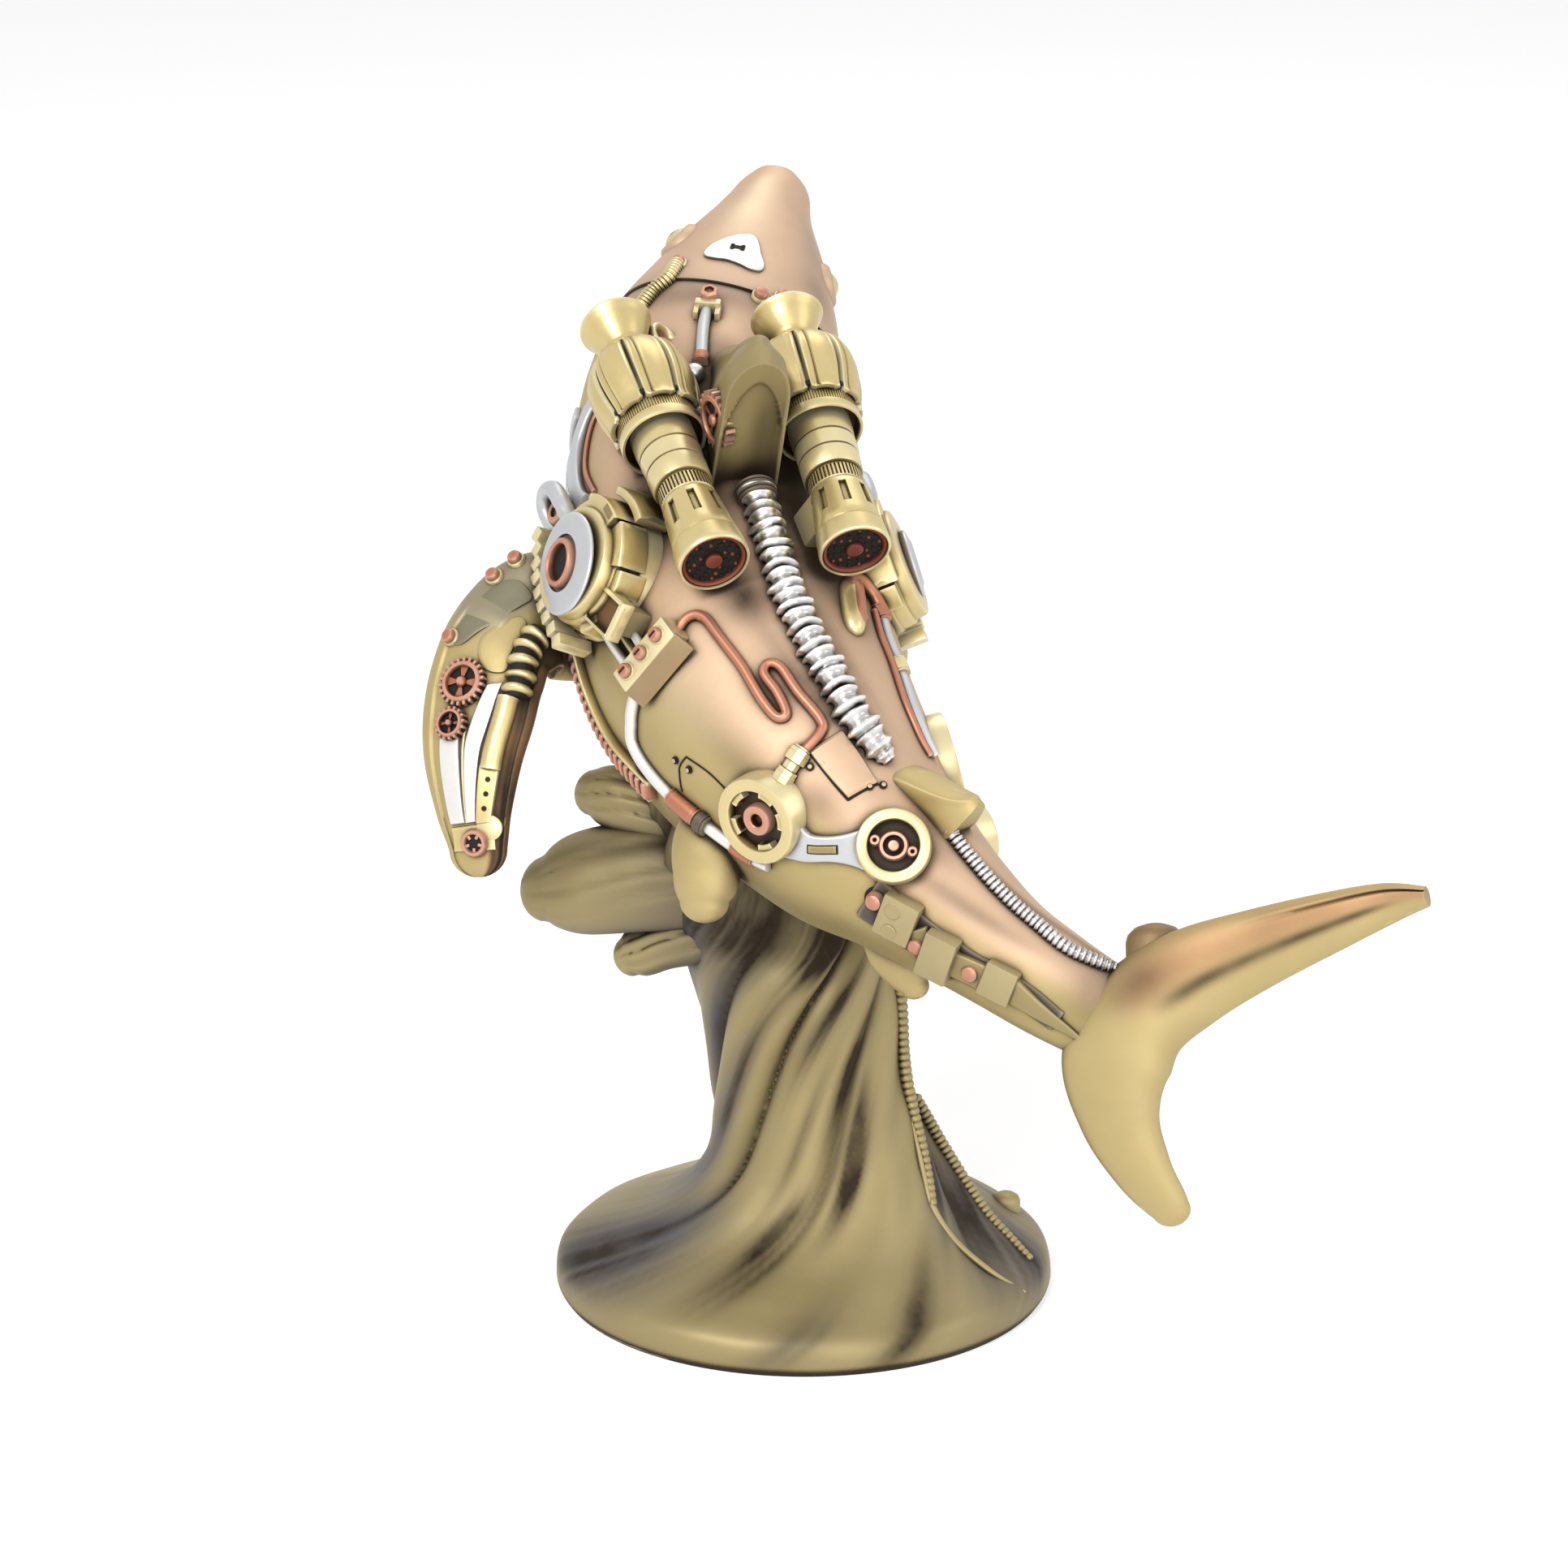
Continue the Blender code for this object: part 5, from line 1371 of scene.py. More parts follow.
def build_jet(name, ends):
    sizes = bpy.context.scene.shark_sizes
    long, girth = sizes.jet_length * JET_SHARES[name] / 0.082, sizes.jet_radius / 0.0117
    place = jet_place(ends) @ Matrix.Diagonal((girth, girth, long, 1))
    funnel = put(spun(f"{name}_funnel", FUNNEL_PROFILE, 72), place)
    keep(paint(funnel, brass()), "antique_gold")
    tank = paint(put(spun(f"{name}_tank", TANK_PROFILE, 64), place), dark_bronze())
    first = petal("petal", Matrix.Identity(4))
    petals = [copy_of(first, place @ Matrix.Rotation(TURN * (k + 0.25) / PETALS, 4,
                                                     "Z")) for k in range(PETALS)]
    bpy.data.objects.remove(first)
    # Black notch blocks at the petals' feet: painted shade in the gaps there.
    notches = []
    for k in range(PETALS):
        peg = put(box("petal_notch", (1.6, 1.5, 1.4), 0.2), Matrix.Translation((9.6 * MM, 0, 33.6 * MM)))
        notches.append(put(peg, place @ Matrix.Rotation(TURN * (k + 0.75) / PETALS, 4, "Z")))
    tank = join(f"{name}_tank", [tank, *[paint(p, brass()) for p in petals],
                                 *[paint(p, black_and_shade()) for p in notches]])
    keep(tank, "antique_gold")
    collar = spun(f"{name}_collar", COLLAR_PROFILE, 192)
    knurl(collar, 35.4, 39.2, 96, 0.16)
    keep(paint(put(collar, place), brass()), "antique_gold")
    barrel = spun(f"{name}_barrel", BARREL_PROFILE, 88)
    knurl(barrel, 58.1, 62.1, 44, 0.35)
    keep(paint(put(barrel, place), brass()), "antique_gold")
    nozzle = spun(f"{name}_nozzle", NOZZLE_PROFILE, 96)

    def window(middle, normal):
        outward = abs(normal.z) < 0.4
        between_bars = 0.3 < sector(middle, NOZZLE_WINDOWS) < 0.7
        return 64.3 * MM < middle.z < 71.8 * MM and outward and between_bars

    choose(nozzle, window)
    bpy.ops.mesh.inset(thickness=0.25 * MM, depth=-0.75 * MM, use_individual=False)
    keep(paint(put(nozzle, place), brass()), "antique_gold")
    build_jet_face(f"{name}_face", place)
    build_saddles(name, ends, place)


def build_jet_face(name, place):
    """Burnt red end of a nozzle: a dark ring of beads round a copper button."""
    disc = paint(put(spun(name, FACE_PROFILE, 72), Matrix.Identity(4)), nozzle_red())

    def in_ring(middle, normal):
        return 2.0 * MM < math.hypot(middle.x,
                                     middle.y) < 6.0 * MM and middle.z < 80.75 * MM and normal.z > 0.5

    paint(disc, black_and_shade(), in_ring)
    pieces = [disc]
    bead_profile = ((0, -0.4), (1, -0.4), (0.95, 0.3), (0.6, 0.8), (0, 1.0))
    bead = put(spun("bead", bead_profile, 10), Matrix.Identity(4))
    for ring, (radius, size, count) in enumerate(FACE_BEADS):
        for k in range(count):
            a = TURN * (k + 0.3 * ring) / count
            spot = Matrix.Translation((radius * MM * math.cos(a), radius * MM * math.sin(a), 80.8 * MM))
            made = copy_of(bead, spot @ Matrix.Scale(size, 4))
            pieces.append(paint(made, nozzle_red() if (k + ring) % 3 == 0 else black_and_shade()))
    bpy.data.objects.remove(bead)
    keep(put(join(name, pieces), place), "rose_copper")


def build_saddles(name, ends, place):
    """Blocks that carry a jet on the shark's back."""
    (t, degrees), (t_end, degrees_end) = ends
    for n, share in enumerate((0.42, 0.85)):
        under = seat(t + (t_end - t) * share, degrees + (degrees_end - degrees) * share)
        height = (place @ Vector((0, 0, 0.082 * share)) - under.translation).length / MM
        saddle = put(box(f"{name}_saddle_{n + 1}", (9, 6.3, height + 4), 0.8, base=-4), under)
        keep(paint(saddle, dark_bronze()), "antique_gold")


def arc_block(name, radii, heights, angles, steps=10):
    """Block bent round Z between two radii and two heights in mm, over angles in degrees."""
    middle, wide = sum(radii) / 2, radii[1] - radii[0]
    outline = bar_section(wide, heights[1], heights[0], 0.22)

    def shape(u, v):
        side, high = outline(u, v)
        a = math.radians(angles[0] + (angles[1] - angles[0]) * v)
        r = (middle + side) * MM
        return Vector((r * math.cos(a), r * math.sin(a), high * MM))

    return wrapped(name, 20, steps, shape)


DRUM_PROFILE = (
    (0, -9), (15.6, -9), (15.6, 0.4), (15.3, 1.0), (14.6, 1.3), (14.4, 3.0), (13.9, 3.4),
    (13.7, 6.0), (13.3, 6.5), (12.9, 6.7), (12.7, 9.0), (12.3, 9.5), (11.0, 9.8), (0, 9.8),
)
DISC_PROFILE = (
    (0, 9.8), (11.4, 9.9), (12.5, 10.5), (12.8, 11.0), (12.6, 11.4), (11.8, 11.6), (9.0, 12.0),
    (7.8, 12.3), (7.2, 12.3), (6.9, 11.7), (6.4, 11.6), (0, 11.6),
)
HUB_RING_PROFILE = (
    (4.3, 6.4), (6.2, 6.4), (6.2, 12.6), (6.0, 13.3), (5.6, 13.6), (5.1, 13.6), (4.7, 13.3),
    (4.5, 12.6), (4.3, 11.5), (4.3, 6.4),
)
# Blocks round a wheel: radii, heights and angles in mm and degrees, for the port side.
HOUSING_BLOCKS = (
    ((12.2, 16.0), (0.0, 8.8), (88, 138)),
    ((12.2, 16.2), (0.0, 7.6), (46, 85)),
    ((12.6, 15.8), (-1.0, 6.4), (22, 43)),
    ((12.6, 15.6), (-1.0, 6.4), (143, 170)),
    ((13.0, 15.8), (-2.0, 5.4), (-30, -6)),
    ((17.0, 19.2), (-4.0, 4.4), (84, 126)),
)
# Small teeth down the wheel's outer side, as x, y, turn in degrees and size, in mm.
WHEEL_TEETH = (
    (-17.4, -11.2, 20, 2.9), (-14.1, -12.5, 16, 2.9), (-10.9, -13.9, 12, 2.9),
    (-7.7, -15.1, 6, 2.9), (-3.6, -15.7, 2, 2.9), (0.4, -15.8, 0, 2.9), (4.4, -15.4, -4, 2.9),
    (8.6, -14.8, -10, 2.9), (12.8, -14.2, -16, 2.9),
)
DISC_SHIFT = (2.6, 0.7)
DISC_TILT = 7
DISC_SHARES = {1: 0.92, -1: 0.62}
STARBOARD_SINK = 1.8 * MM
FRAME_BOX_PLACE = (19.1, 3.2, 24)
HOOK = ((-14, -1.8, 4.2), (-19.5, -2.0, 5.0), (-25.5, -3.8, 4.6), (-28.2, -7.4, 3.6),
        (-26.6, -10.6, 2.2), (-22.4, -11.4, 0.6), (-19.0, -11.2, -1.5))


def build_wheel(name, t, degrees):
    """Shoulder wheel: stepped drum with blocks, a silver disc, a copper hub ring and its teeth."""
    side = 1 if degrees > 0 else -1
    place = seat(t, degrees, 0.0 if side > 0 else -STARBOARD_SINK) @ Matrix.Diagonal((1, side, 1, 1))
    middle = Matrix.Translation((DISC_SHIFT[0] * MM, DISC_SHIFT[1] * MM, 0))
    pieces = [put(spun(f"{name}_drum", DRUM_PROFILE, 96), middle)]
    for n, (radii, heights, angles) in enumerate(HOUSING_BLOCKS if side > 0 else HOUSING_BLOCKS[:3]):
        pieces.append(put(arc_block(f"block_{n}", radii, heights, angles), middle))
    for x, y, turn, size in WHEEL_TEETH:
        tooth = box("tooth", (size, size * 1.15, 9.0), 0.35, base=-2.4)
        spot = Matrix.Translation((x * MM, y * MM, 0)) @ Matrix.Rotation(math.radians(turn), 4, "Z")
        pieces.append(put(tooth, spot))
    for made in pieces:
        paint(made, brass())
    spot = middle @ Matrix.Rotation(math.radians(100), 4, "Z") @ Matrix.Translation((14.6 * MM, 0, 0))
    pieces.append(paint(put(box("slot", (1.7, 4.0, 1.0), 0.2, base=8.0), spot), umber()))
    keep_mirrored(join(name, pieces), place, side, "antique_gold")
    share = DISC_SHARES[side]
    tilted = Matrix.Rotation(math.radians(DISC_TILT), 4, "X") @ Matrix.Diagonal((share, share, 1, 1))
    shift = place @ middle @ Matrix.Translation((0, 0, -0.8 * MM)) @ tilted
    keep_mirrored(paint(spun(f"{name}_disc", DISC_PROFILE, 96), silver()), shift, side, "silver_paint", 30)
    ring = paint(spun(f"{name}_hub_ring", HUB_RING_PROFILE, 64), copper())
    # Black hole inside the hub ring: painted shade in its opening.
    hole_profile = ((0, 7.0), (4.7, 7.0), (4.7, 12.0), (4.4, 12.15), (2.0, 12.0), (0, 11.9))
    hole = paint(spun("hole", hole_profile, 48), black_and_shade())
    sunk = Matrix.Translation((0, 0, 0 if side > 0 else -2.2 * MM))
    keep_mirrored(join(f"{name}_hub_ring", [ring, hole]), shift @ sunk, side, "rose_copper")
    if side > 0:
        build_frame_box(name, place)
    hook_points = [Vector(p) * MM for p in HOOK]

    def thick(v):
        return 2.15 * (1 - 0.12 * v) * (1 - 0.06 * abs(math.sin(v * 30)) * (v < 0.2))

    hook = paint(swept(f"{name}_hook", route(hook_points, 60), 24, round_section(thick)), silver())
    keep_mirrored(hook, place, side, "silver_paint")
    hook_plug_profile = ((0, -4), (3.0, -4), (3.0, 2.2), (2.6, 2.8), (1.4, 2.9), (1.2, 2.2), (0, 2.1))
    plug = spun(f"{name}_hook_plug", hook_plug_profile, 32)
    put(plug, Matrix.Translation((-22.6 * MM, -7.4 * MM, 0)))
    keep_mirrored(paint(plug, copper()), place, side, "rose_copper")


def build_frame_box(name, place):
    """Open square frame on a stand, beside a shoulder wheel."""
    x, y, turn = FRAME_BOX_PLACE
    tilt = place @ Matrix.Translation((x * MM, y * MM, 0)) @ Matrix.Rotation(math.radians(turn), 4, "Z")
    stand = paint(box("stand", (9.0, 6.2, 8.0), 0.3, base=-4), dark_bronze())
    frame_box = box(f"{name}_frame_box", (12.2, 9.2, 3.4), 0.25, base=3.4)
    choose(frame_box, lambda middle, normal: normal.z > 0.9 and middle.z > 6.5 * MM)
    bpy.ops.mesh.inset(thickness=0.9 * MM, depth=0)
    bpy.ops.mesh.inset(thickness=0.15 * MM, depth=-1.6 * MM)
    paint(frame_box, brass())
    paint(frame_box, umber(), lambda middle, normal: middle.z < 5.6 * MM and normal.z > 0.8)
    keep(put(join(f"{name}_frame_box", [frame_box, stand]), tilt), "antique_gold")


def keep_mirrored(made, place, side, slot, smooth=35):
    """Place a piece, turning its faces outwards again where its side is a mirror image."""
    put(made, place)
    if side < 0:
        reopen(made)
        bpy.ops.mesh.select_all(action="SELECT")
        bpy.ops.mesh.flip_normals()
        start()
    return keep(made, slot, smooth)


def ridged_hose(name, frames, around, ridges, high, low, finish, slot, lumps=0.0):
    """Hose with a rolled lip and a smaller one to each ridge."""
    def radius_at(u, v):
        x = (v * ridges) % 1.0
        lip = max(bell(x - 0.36, 0.17), 0.72 * bell(x - 0.74, 0.12))
        wave = 1 + lumps * math.sin(3 * TURN * u + 2.1 * math.floor(v * ridges))
        return (low + (high - low) * lip * wave) * (1 - 0.4 * ease((v - 0.93) / 0.07))

    def section(u, v):
        r = radius_at(u, v)
        return r * math.cos(TURN * u), r * math.sin(TURN * u)

    return keep(paint(swept(name, frames, around, section), finish), slot, 55)


def build_hoses():
    sizes = bpy.context.scene.shark_sizes
    high = sizes.spine_hose_radius / MM
    spine = skin_route(SPINE_HOSE, 16 * 12 + 1, HOSE_LIFT)
    ridged_hose("spine_hose", spine, 36, 14, high * 1.04, high * 0.66, chrome(), "silver_paint", 0.16)
    cuff_rows = [spline(SPINE_HOSE, 0.07 * k / 3) for k in range(4)]
    ribs = round_section(lambda v: high * (0.98 + 0.10 * abs(math.sin(4 * math.pi * v))))
    cuff = swept("spine_cuff", skin_route(cuff_rows, 49, HOSE_LIFT * 0.9), 32, ribs)
    keep(paint(cuff, gunmetal()), "rose_copper")
    tail_high = sizes.tail_hose_radius / MM
    tail = skin_route(TAIL_HOSE, 40 * 6 + 1, HOSE_LIFT)
    ridged_hose("tail_hose", tail, 20, 40, tail_high * 1.05, tail_high * 0.74, chrome(), "silver_paint",
                0.12)
    head = skin_route(HEAD_HOSE, 18 * 6 + 1, PIPE_LIFT)
    ridged_hose("head_hose", head, 20, 18, 2.0, 1.55, brass(), "antique_gold")


def pipe(name, rows, radius, finish, slot, count=60, lift=PIPE_LIFT):
    made = swept(name, skin_route(rows, count, lift), 16, round_section(radius))
    return keep(paint(made, finish), slot, 60)


def sleeve(name, rows, profile, around, finish, slot, lift=PIPE_LIFT):
    """Coupling along a pipe; profile gives its radius in mm at even steps along it."""
    values = [(r,) for r in profile]
    frames = skin_route(rows, 8 * len(profile), lift)
    made = swept(name, frames, around, round_section(lambda v: profile[round(v * (len(values) - 1))]))
    return keep(paint(made, finish), slot, 28)


def build_pipes():
    sizes = bpy.context.scene.shark_sizes
    thin = sizes.pipe_radius / MM
    pipe("copper_pipe", COPPER_PIPE, thin * 0.92, copper(), "rose_copper", 220)
    sleeve("copper_pipe_nut", ((0.664, 38), (0.668, 48), (0.671, 57)),
           (2.0, 2.5, 2.6, 2.6, 1.8, 1.8, 2.4, 2.5, 2.5, 2.3), 8, brass(), "antique_gold")
    pipe("flank_pipe", FLANK_PIPE, thin * 1.25, white(), "silver_paint", 120)
    sleeve("flank_coupling", ((0.615, 100), (0.636, 100)), (2.3, 2.4, 2.4, 2.4, 2.4, 2.3), 24,
           copper(), "rose_copper")
    sleeve("flank_cuff", ((0.638, 100), (0.645, 100)), (2.6, 2.8, 2.8, 2.6), 24, gunmetal(), "rose_copper")
    sleeve("flank_sleeve", ((0.668, 98.6), (0.686, 98)), (2.0, 2.1, 2.1, 2.1, 2.0), 24, copper(),
           "rose_copper")
    pipe("head_pipe", HEAD_PIPE[:3], thin * 1.1, silver(), "silver_paint", 60, 0.9 * MM)
    sleeve("head_pipe_collar", ((0.380, 10), (0.387, 10.4)), (1.8, 1.9, 1.9, 1.8), 24, copper(),
           "rose_copper",
           0.9 * MM)
    head_pipe_ball_profile = ((0, -2.4), (1.5, -1.9), (2.3, -0.6), (2.4, 0.6), (1.9, 1.7), (1.0, 2.3),
                              (0, 2.5))
    ball = spun("head_pipe_ball", head_pipe_ball_profile, 32)
    keep(put(paint(ball, chrome()), seat(0.397, 13, 1.0 * MM)), "silver_paint", 60)
    pipe("starboard_arch", STARBOARD_ARCH, thin * 1.25, copper(), "rose_copper", 60, 1.1 * MM)
    pipe("starboard_pipe", STARBOARD_PIPE, thin * 1.05, silver(), "silver_paint", 90)
    beside = [(t, degrees + 4.5) for t, degrees in STARBOARD_PIPE]
    pipe("starboard_strip", beside, thin * 0.7, copper(), "rose_copper", 90, 0.4 * MM)
    sleeve("starboard_coupling", ((0.622, -38.5), (0.634, -37)), (2.1, 2.3, 2.3, 2.1), 8, brass(),
           "antique_gold")
    sleeve("starboard_sleeve", ((0.572, -42.5), (0.584, -43)), (1.9, 2.1, 2.1, 1.9), 24, copper(),
           "rose_copper")
    ridge_rows = ((0.526, 67), (0.558, 66))
    pipe("rod_ridge", ridge_rows, thin * 0.8, brass(), "antique_gold", 24, 0.6 * MM)
    capsule = swept("capsule", skin_route(((0.557, -32), (0.575, -27), (0.602, -21)), 30, 1.0 * MM), 24,
                    round_section(lambda v: 2.3 * math.sqrt(max(0.02, 1 - abs(2 * v - 1) ** 3))))
    keep(paint(capsule, copper()), "rose_copper", 60)
    cradle = swept("capsule_cradle", skin_route(((0.556, -31), (0.575, -25.6), (0.606, -19)), 30, 0.0), 20,
                   round_section(lambda v: 2.9 * math.sqrt(max(0.02, 1 - abs(2 * v - 1) ** 4))))
    keep(paint(cradle, brass()), "antique_gold", 60)
    for n, ends in enumerate(ROD_ENDS):
        pipe(f"rod_{n + 1}", ends, thin * 0.85, white(), "silver_paint", 24, 1.6 * MM)


RING_PROFILE = (
    (0, -5), (1, -5), (1, 0.78), (0.97, 0.95), (0.92, 1), (0.76, 1), (0.71, 0.95), (0.69, 0.85),
    (0.69, 0.22), (0, 0.22),
)
HUB_PROFILE = (
    (0, 0.1), (0.36, 0.1), (0.36, 0.72), (0.33, 0.84), (0.18, 0.84), (0.15, 0.78), (0.14, 0.4),
    (0, 0.4),
)
BUTTON_PROFILE = (
    (0, 0.1), (0.40, 0.1), (0.40, 0.62), (0.36, 0.78), (0.29, 0.78), (0.26, 0.66), (0.26, 0.34),
    (0.17, 0.34), (0.17, 0.66), (0.13, 0.80), (0, 0.84),
)
RING_HEIGHT = 3.6
RING_TILT = 7


def build_ring_joint(name, t, degrees, radius, notched):
    place = seat(t, degrees)

    def scaled(profile):
        return [(r * radius, z * RING_HEIGHT if z > -5 else z) for r, z in profile]

    if notched:
        place = place @ Matrix.Rotation(math.radians(RING_TILT), 4, "X")
    ring = paint(spun(name, scaled(RING_PROFILE), 80), brass())
    floor_height = 0.3 * RING_HEIGHT * MM
    paint(ring, gunmetal(), lambda middle, normal: normal.z > 0.7 and 0 < middle.z < floor_height)
    pieces = [ring]
    for first in (20, 75, 150, 215, 300) if notched else ():
        notch = arc_block("castle", (0.56 * radius, 0.72 * radius), (0.6, 3.0), (first, first + 34), 8)
        pieces.append(paint(notch, brass()))
    keep(put(join(name, pieces), place), "antique_gold")
    hub = paint(spun(f"{name}_hub", scaled(HUB_PROFILE if notched else BUTTON_PROFILE), 56), copper())
    pieces = [hub]
    for side in () if notched else (0, 1):
        lug_profile = ((0, 0.3), (1.3, 0.3), (1.3, 2.0), (1.0, 2.5), (0.5, 2.5), (0.4, 1.6), (0, 1.6))
        lug = spun("lug", lug_profile, 20)
        turn = Matrix.Rotation(math.radians(20 + 180 * side), 4, "Z")
        pieces.append(paint(put(lug, turn @ Matrix.Translation((0.52 * radius * MM, 0, 0))), copper()))
    keep(put(join(f"{name}_hub", pieces), place), "rose_copper")


def build_ring_joints():
    for n, (t, degrees, radius) in enumerate(RING_JOINTS):
        build_ring_joint(f"ring_joint_{n + 1}", t, degrees, radius, n % 2 == 0)
    for n, rows in enumerate(STRAPS):
        def outline(u, v):
            wide = 5.6 + 3.6 * (2 * v - 1) ** 2
            return bar_section(wide, 1.6, -2.0, 0.25)(u, v)
        strap = swept(f"strap_{n + 1}", skin_route(rows, 40), 24, outline)
        keep(paint(strap, silver()), "silver_paint", 30)
        inner = [spline(rows, k / 3 * 0.36 + 0.34) for k in range(4)]
        # Black rim round the slot's floor: painted shade at the slot's edge.
        slot = paint(swept("slot_edge", skin_route(inner, 14), 20, bar_section(2.5, 1.72, 0.4, 0.5)), black_and_shade())
        inside = [spline(rows, k / 3 * 0.32 + 0.36) for k in range(4)]
        floor = paint(swept("slot_floor", skin_route(inside, 14), 20, bar_section(1.8, 1.84, 0.4, 0.5)),
                      dark_bronze())
        keep(join(f"strap_slot_{n + 1}", [slot, floor]), "antique_gold", 40)


def bolt_master(slotted=False):
    """Copper head on a gold washer, at the origin with Z out of the skin."""
    washer = spun("bolt", ((0, -2), (2.15, -2), (2.15, 0.45), (2.0, 0.7), (1.7, 0.8), (0, 0.8)), 28)
    paint(washer, brass())
    head_profile = ((0, 0.4), (1.45, 0.4), (1.62, 0.9), (1.62, 1.7), (1.4, 2.05), (0.9, 2.2), (0, 2.25))
    head = spun("head", head_profile, 28)
    paint(head, copper())
    pieces = [washer, head]
    if slotted:
        pieces.append(paint(box("slit", (0.55, 1.9, 0.35), 0.08, 1, base=1.98), black_and_shade()))
    return join("bolt", pieces)


def rivet_master():
    rivet_profile = ((0, -0.5), (0.85, -0.5), (0.85, 0.1), (0.55, 0.12), (0.5, 0.4), (0.3, 0.5), (0, 0.5))
    ring = spun("rivet", rivet_profile, 20)
    paint(ring, black_and_shade())
    return paint(ring, hide_paint_plain(), lambda middle, normal: middle.z > 0.3 * MM)


def spread(name, master, places, slot):
    """Copies of a master at each place, as one piece."""
    pieces = [copy_of(master, place) for place in places]
    bpy.data.objects.remove(master)
    return keep(join(name, pieces), slot)


HEAD_PLATE_OUTLINE = (
    (0.237, 23), (0.222, 21.5), (0.208, 16), (0.198, 9), (0.194, 2), (0.197, -3), (0.209, -6.5),
    (0.226, -9), (0.243, -12), (0.253, -11), (0.256, -6), (0.252, 1), (0.249, 8), (0.249, 15),
    (0.246, 21),
)


def build_fittings():
    spread("bolts", bolt_master(), [seat(t, degrees) for t, degrees in BOLTS], "rose_copper")
    build_valve_box()
    build_tail_clamps()
    build_head()
    build_gills_and_tracks()
    left = ((0.668, 37), (0.692, 38.5), (0.716, 40))
    right = ((0.668, 18), (0.694, 19), (0.722, 22))
    back_plate = panel("back_plate", left, right, skin, 0.8, 1.0, 16)
    keep(paint(back_plate, hide_paint_plain()), "rose_copper", 25)
    for n, (rows, radius) in enumerate(PLATE_LINES):
        line = swept(f"plate_line_{n + 1}", skin_route(rows, 40, 0.1 * MM), 8, round_section(radius))
        keep(paint(line, black_and_shade()), "antique_gold", 60)
    rivets = (
        (0.665, 40), (0.680, 36), (0.676, 41.5), (0.720, 27), (0.726, 20.5),
        (0.610, 85.5), (0.620, 84), (0.628, 99),
    )
    spread("rivets", rivet_master(), [seat(t, degrees, 0.35 * MM) for t, degrees in rivets], "antique_gold")


# Dark lines along the edges of the plates let into the skin, with their radius in mm: the first two
# paint the shadow under the back plate's edges, the last two are engraved lines on the flank.
PLATE_LINES = (
    (((0.667, 37), (0.692, 39), (0.717, 41)), 0.22),
    (((0.717, 41), (0.720, 31), (0.723, 22)), 0.20),
    (((0.615, 80), (0.632, 78), (0.650, 79)), 0.18),
    (((0.615, 80), (0.614, 88), (0.620, 95)), 0.18),
)


def hide_paint_plain():
    return antique("rose_plate", "bronze", lambda tree: tuple(colours().rose))


VALVE_STEP = 5.6


def build_valve_box():
    place = seat(*VALVE_BOX_PLACE)
    body = box("valve_box", (6.0, 18, 7.2), 0.4, base=-3)
    slope = Matrix.Translation((4.4 * MM, 0, 1.6 * MM)) @ Matrix.Rotation(math.radians(38), 4, "Y")
    flange = put(box("flange", (5.4, 18.6, 0.9), 0.25), slope)
    pieces = [paint(put(body, place), brass()), paint(put(flange, place), umber())]
    keep(join("valve_box", pieces), "antique_gold")
    spots = [place @ Matrix.Translation((-0.4 * MM, k * VALVE_STEP * MM, 3.8 * MM)) for k in (-1, 0, 1)]
    spread("valve_bolts", bolt_master(True), spots, "rose_copper")


def clamp_bed_section(u, v):
    """Flat bar that narrows towards the tail."""
    return bar_section(11.5 - 6 * v, 0.45, -1.5, 0.4)(u, v)


def build_tail_clamps():
    for n, (t, degrees, length, width, height) in enumerate(TAIL_CLAMPS):
        clamp = box(f"tail_clamp_{n + 1}", (length * 1.08, width, height + 3), 0.4, base=-3)
        paint(clamp, dark_bronze())
        if n == 1:
            paint(clamp, copper(), lambda middle, normal: normal.y < -0.6)
        keep(put(clamp, seat(t, degrees)), "antique_gold")
    bed = ((0.772, 86), (0.82, 93), (0.87, 98), (0.93, 99), (0.965, 108))
    dark = swept("clamp_bed", skin_route(bed, 60), 20, clamp_bed_section)
    keep(paint(dark, gunmetal()), "antique_gold", 50)
    discs = [seat(0.797, 82, 2.5 * MM), seat(0.802, 96, 2.5 * MM)]
    mark_profile = ((0, -0.4), (1.9, -0.4), (1.9, 0.25), (1.7, 0.4), (0, 0.4))
    mark = paint(spun("mark", mark_profile, 28), dark_bronze())
    spread("clamp_marks", mark, discs, "antique_gold")
    links = (((0.820, 90), (0.838, 98)), ((0.862, 99), (0.892, 98)))
    for n, ends in enumerate(links):
        link = swept(f"clamp_link_{n + 1}", skin_route(ends, 10), 20, bar_section(6.2, 1.8, -2.5, 0.25))
        keep(paint(link, dark_bronze()), "antique_gold", 30)
    taper = swept("clamp_taper", skin_route(((0.918, 97), (0.955, 106), (0.992, 116)), 24), 20,
                  lambda u, v: bar_section(6.0 * (1 - 0.8 * v), 1.8 * (1 - 0.7 * v), -2.0, 0.3)(u, v))
    keep(paint(taper, dark_bronze()), "antique_gold", 40)
    # Black discs round the copper domes: painted shade in the holes they sit in.
    holes = [seat(t, degrees, 1.4 * MM) for t, degrees in ((0.779, 84), (0.828, 99), (0.879, 99))]
    dark = paint(spun("dark", ((0, -2.5), (2.9, -2.5), (2.9, 0.0), (2.6, 0.25), (0, 0.2)), 28), black_and_shade())
    spread("clamp_holes", dark, [h @ Matrix.Translation((0, 0, -1.3 * MM)) for h in holes], "antique_gold")
    dome_profile = ((0, -1), (2.1, -1), (2.1, 0.7), (1.7, 1.6), (1.0, 2.0), (0, 2.15))
    dome = paint(spun("dome", dome_profile, 28), copper())
    spread("clamp_domes", dome, [h @ Matrix.Translation((0, 0, -0.7 * MM)) for h in holes], "rose_copper")


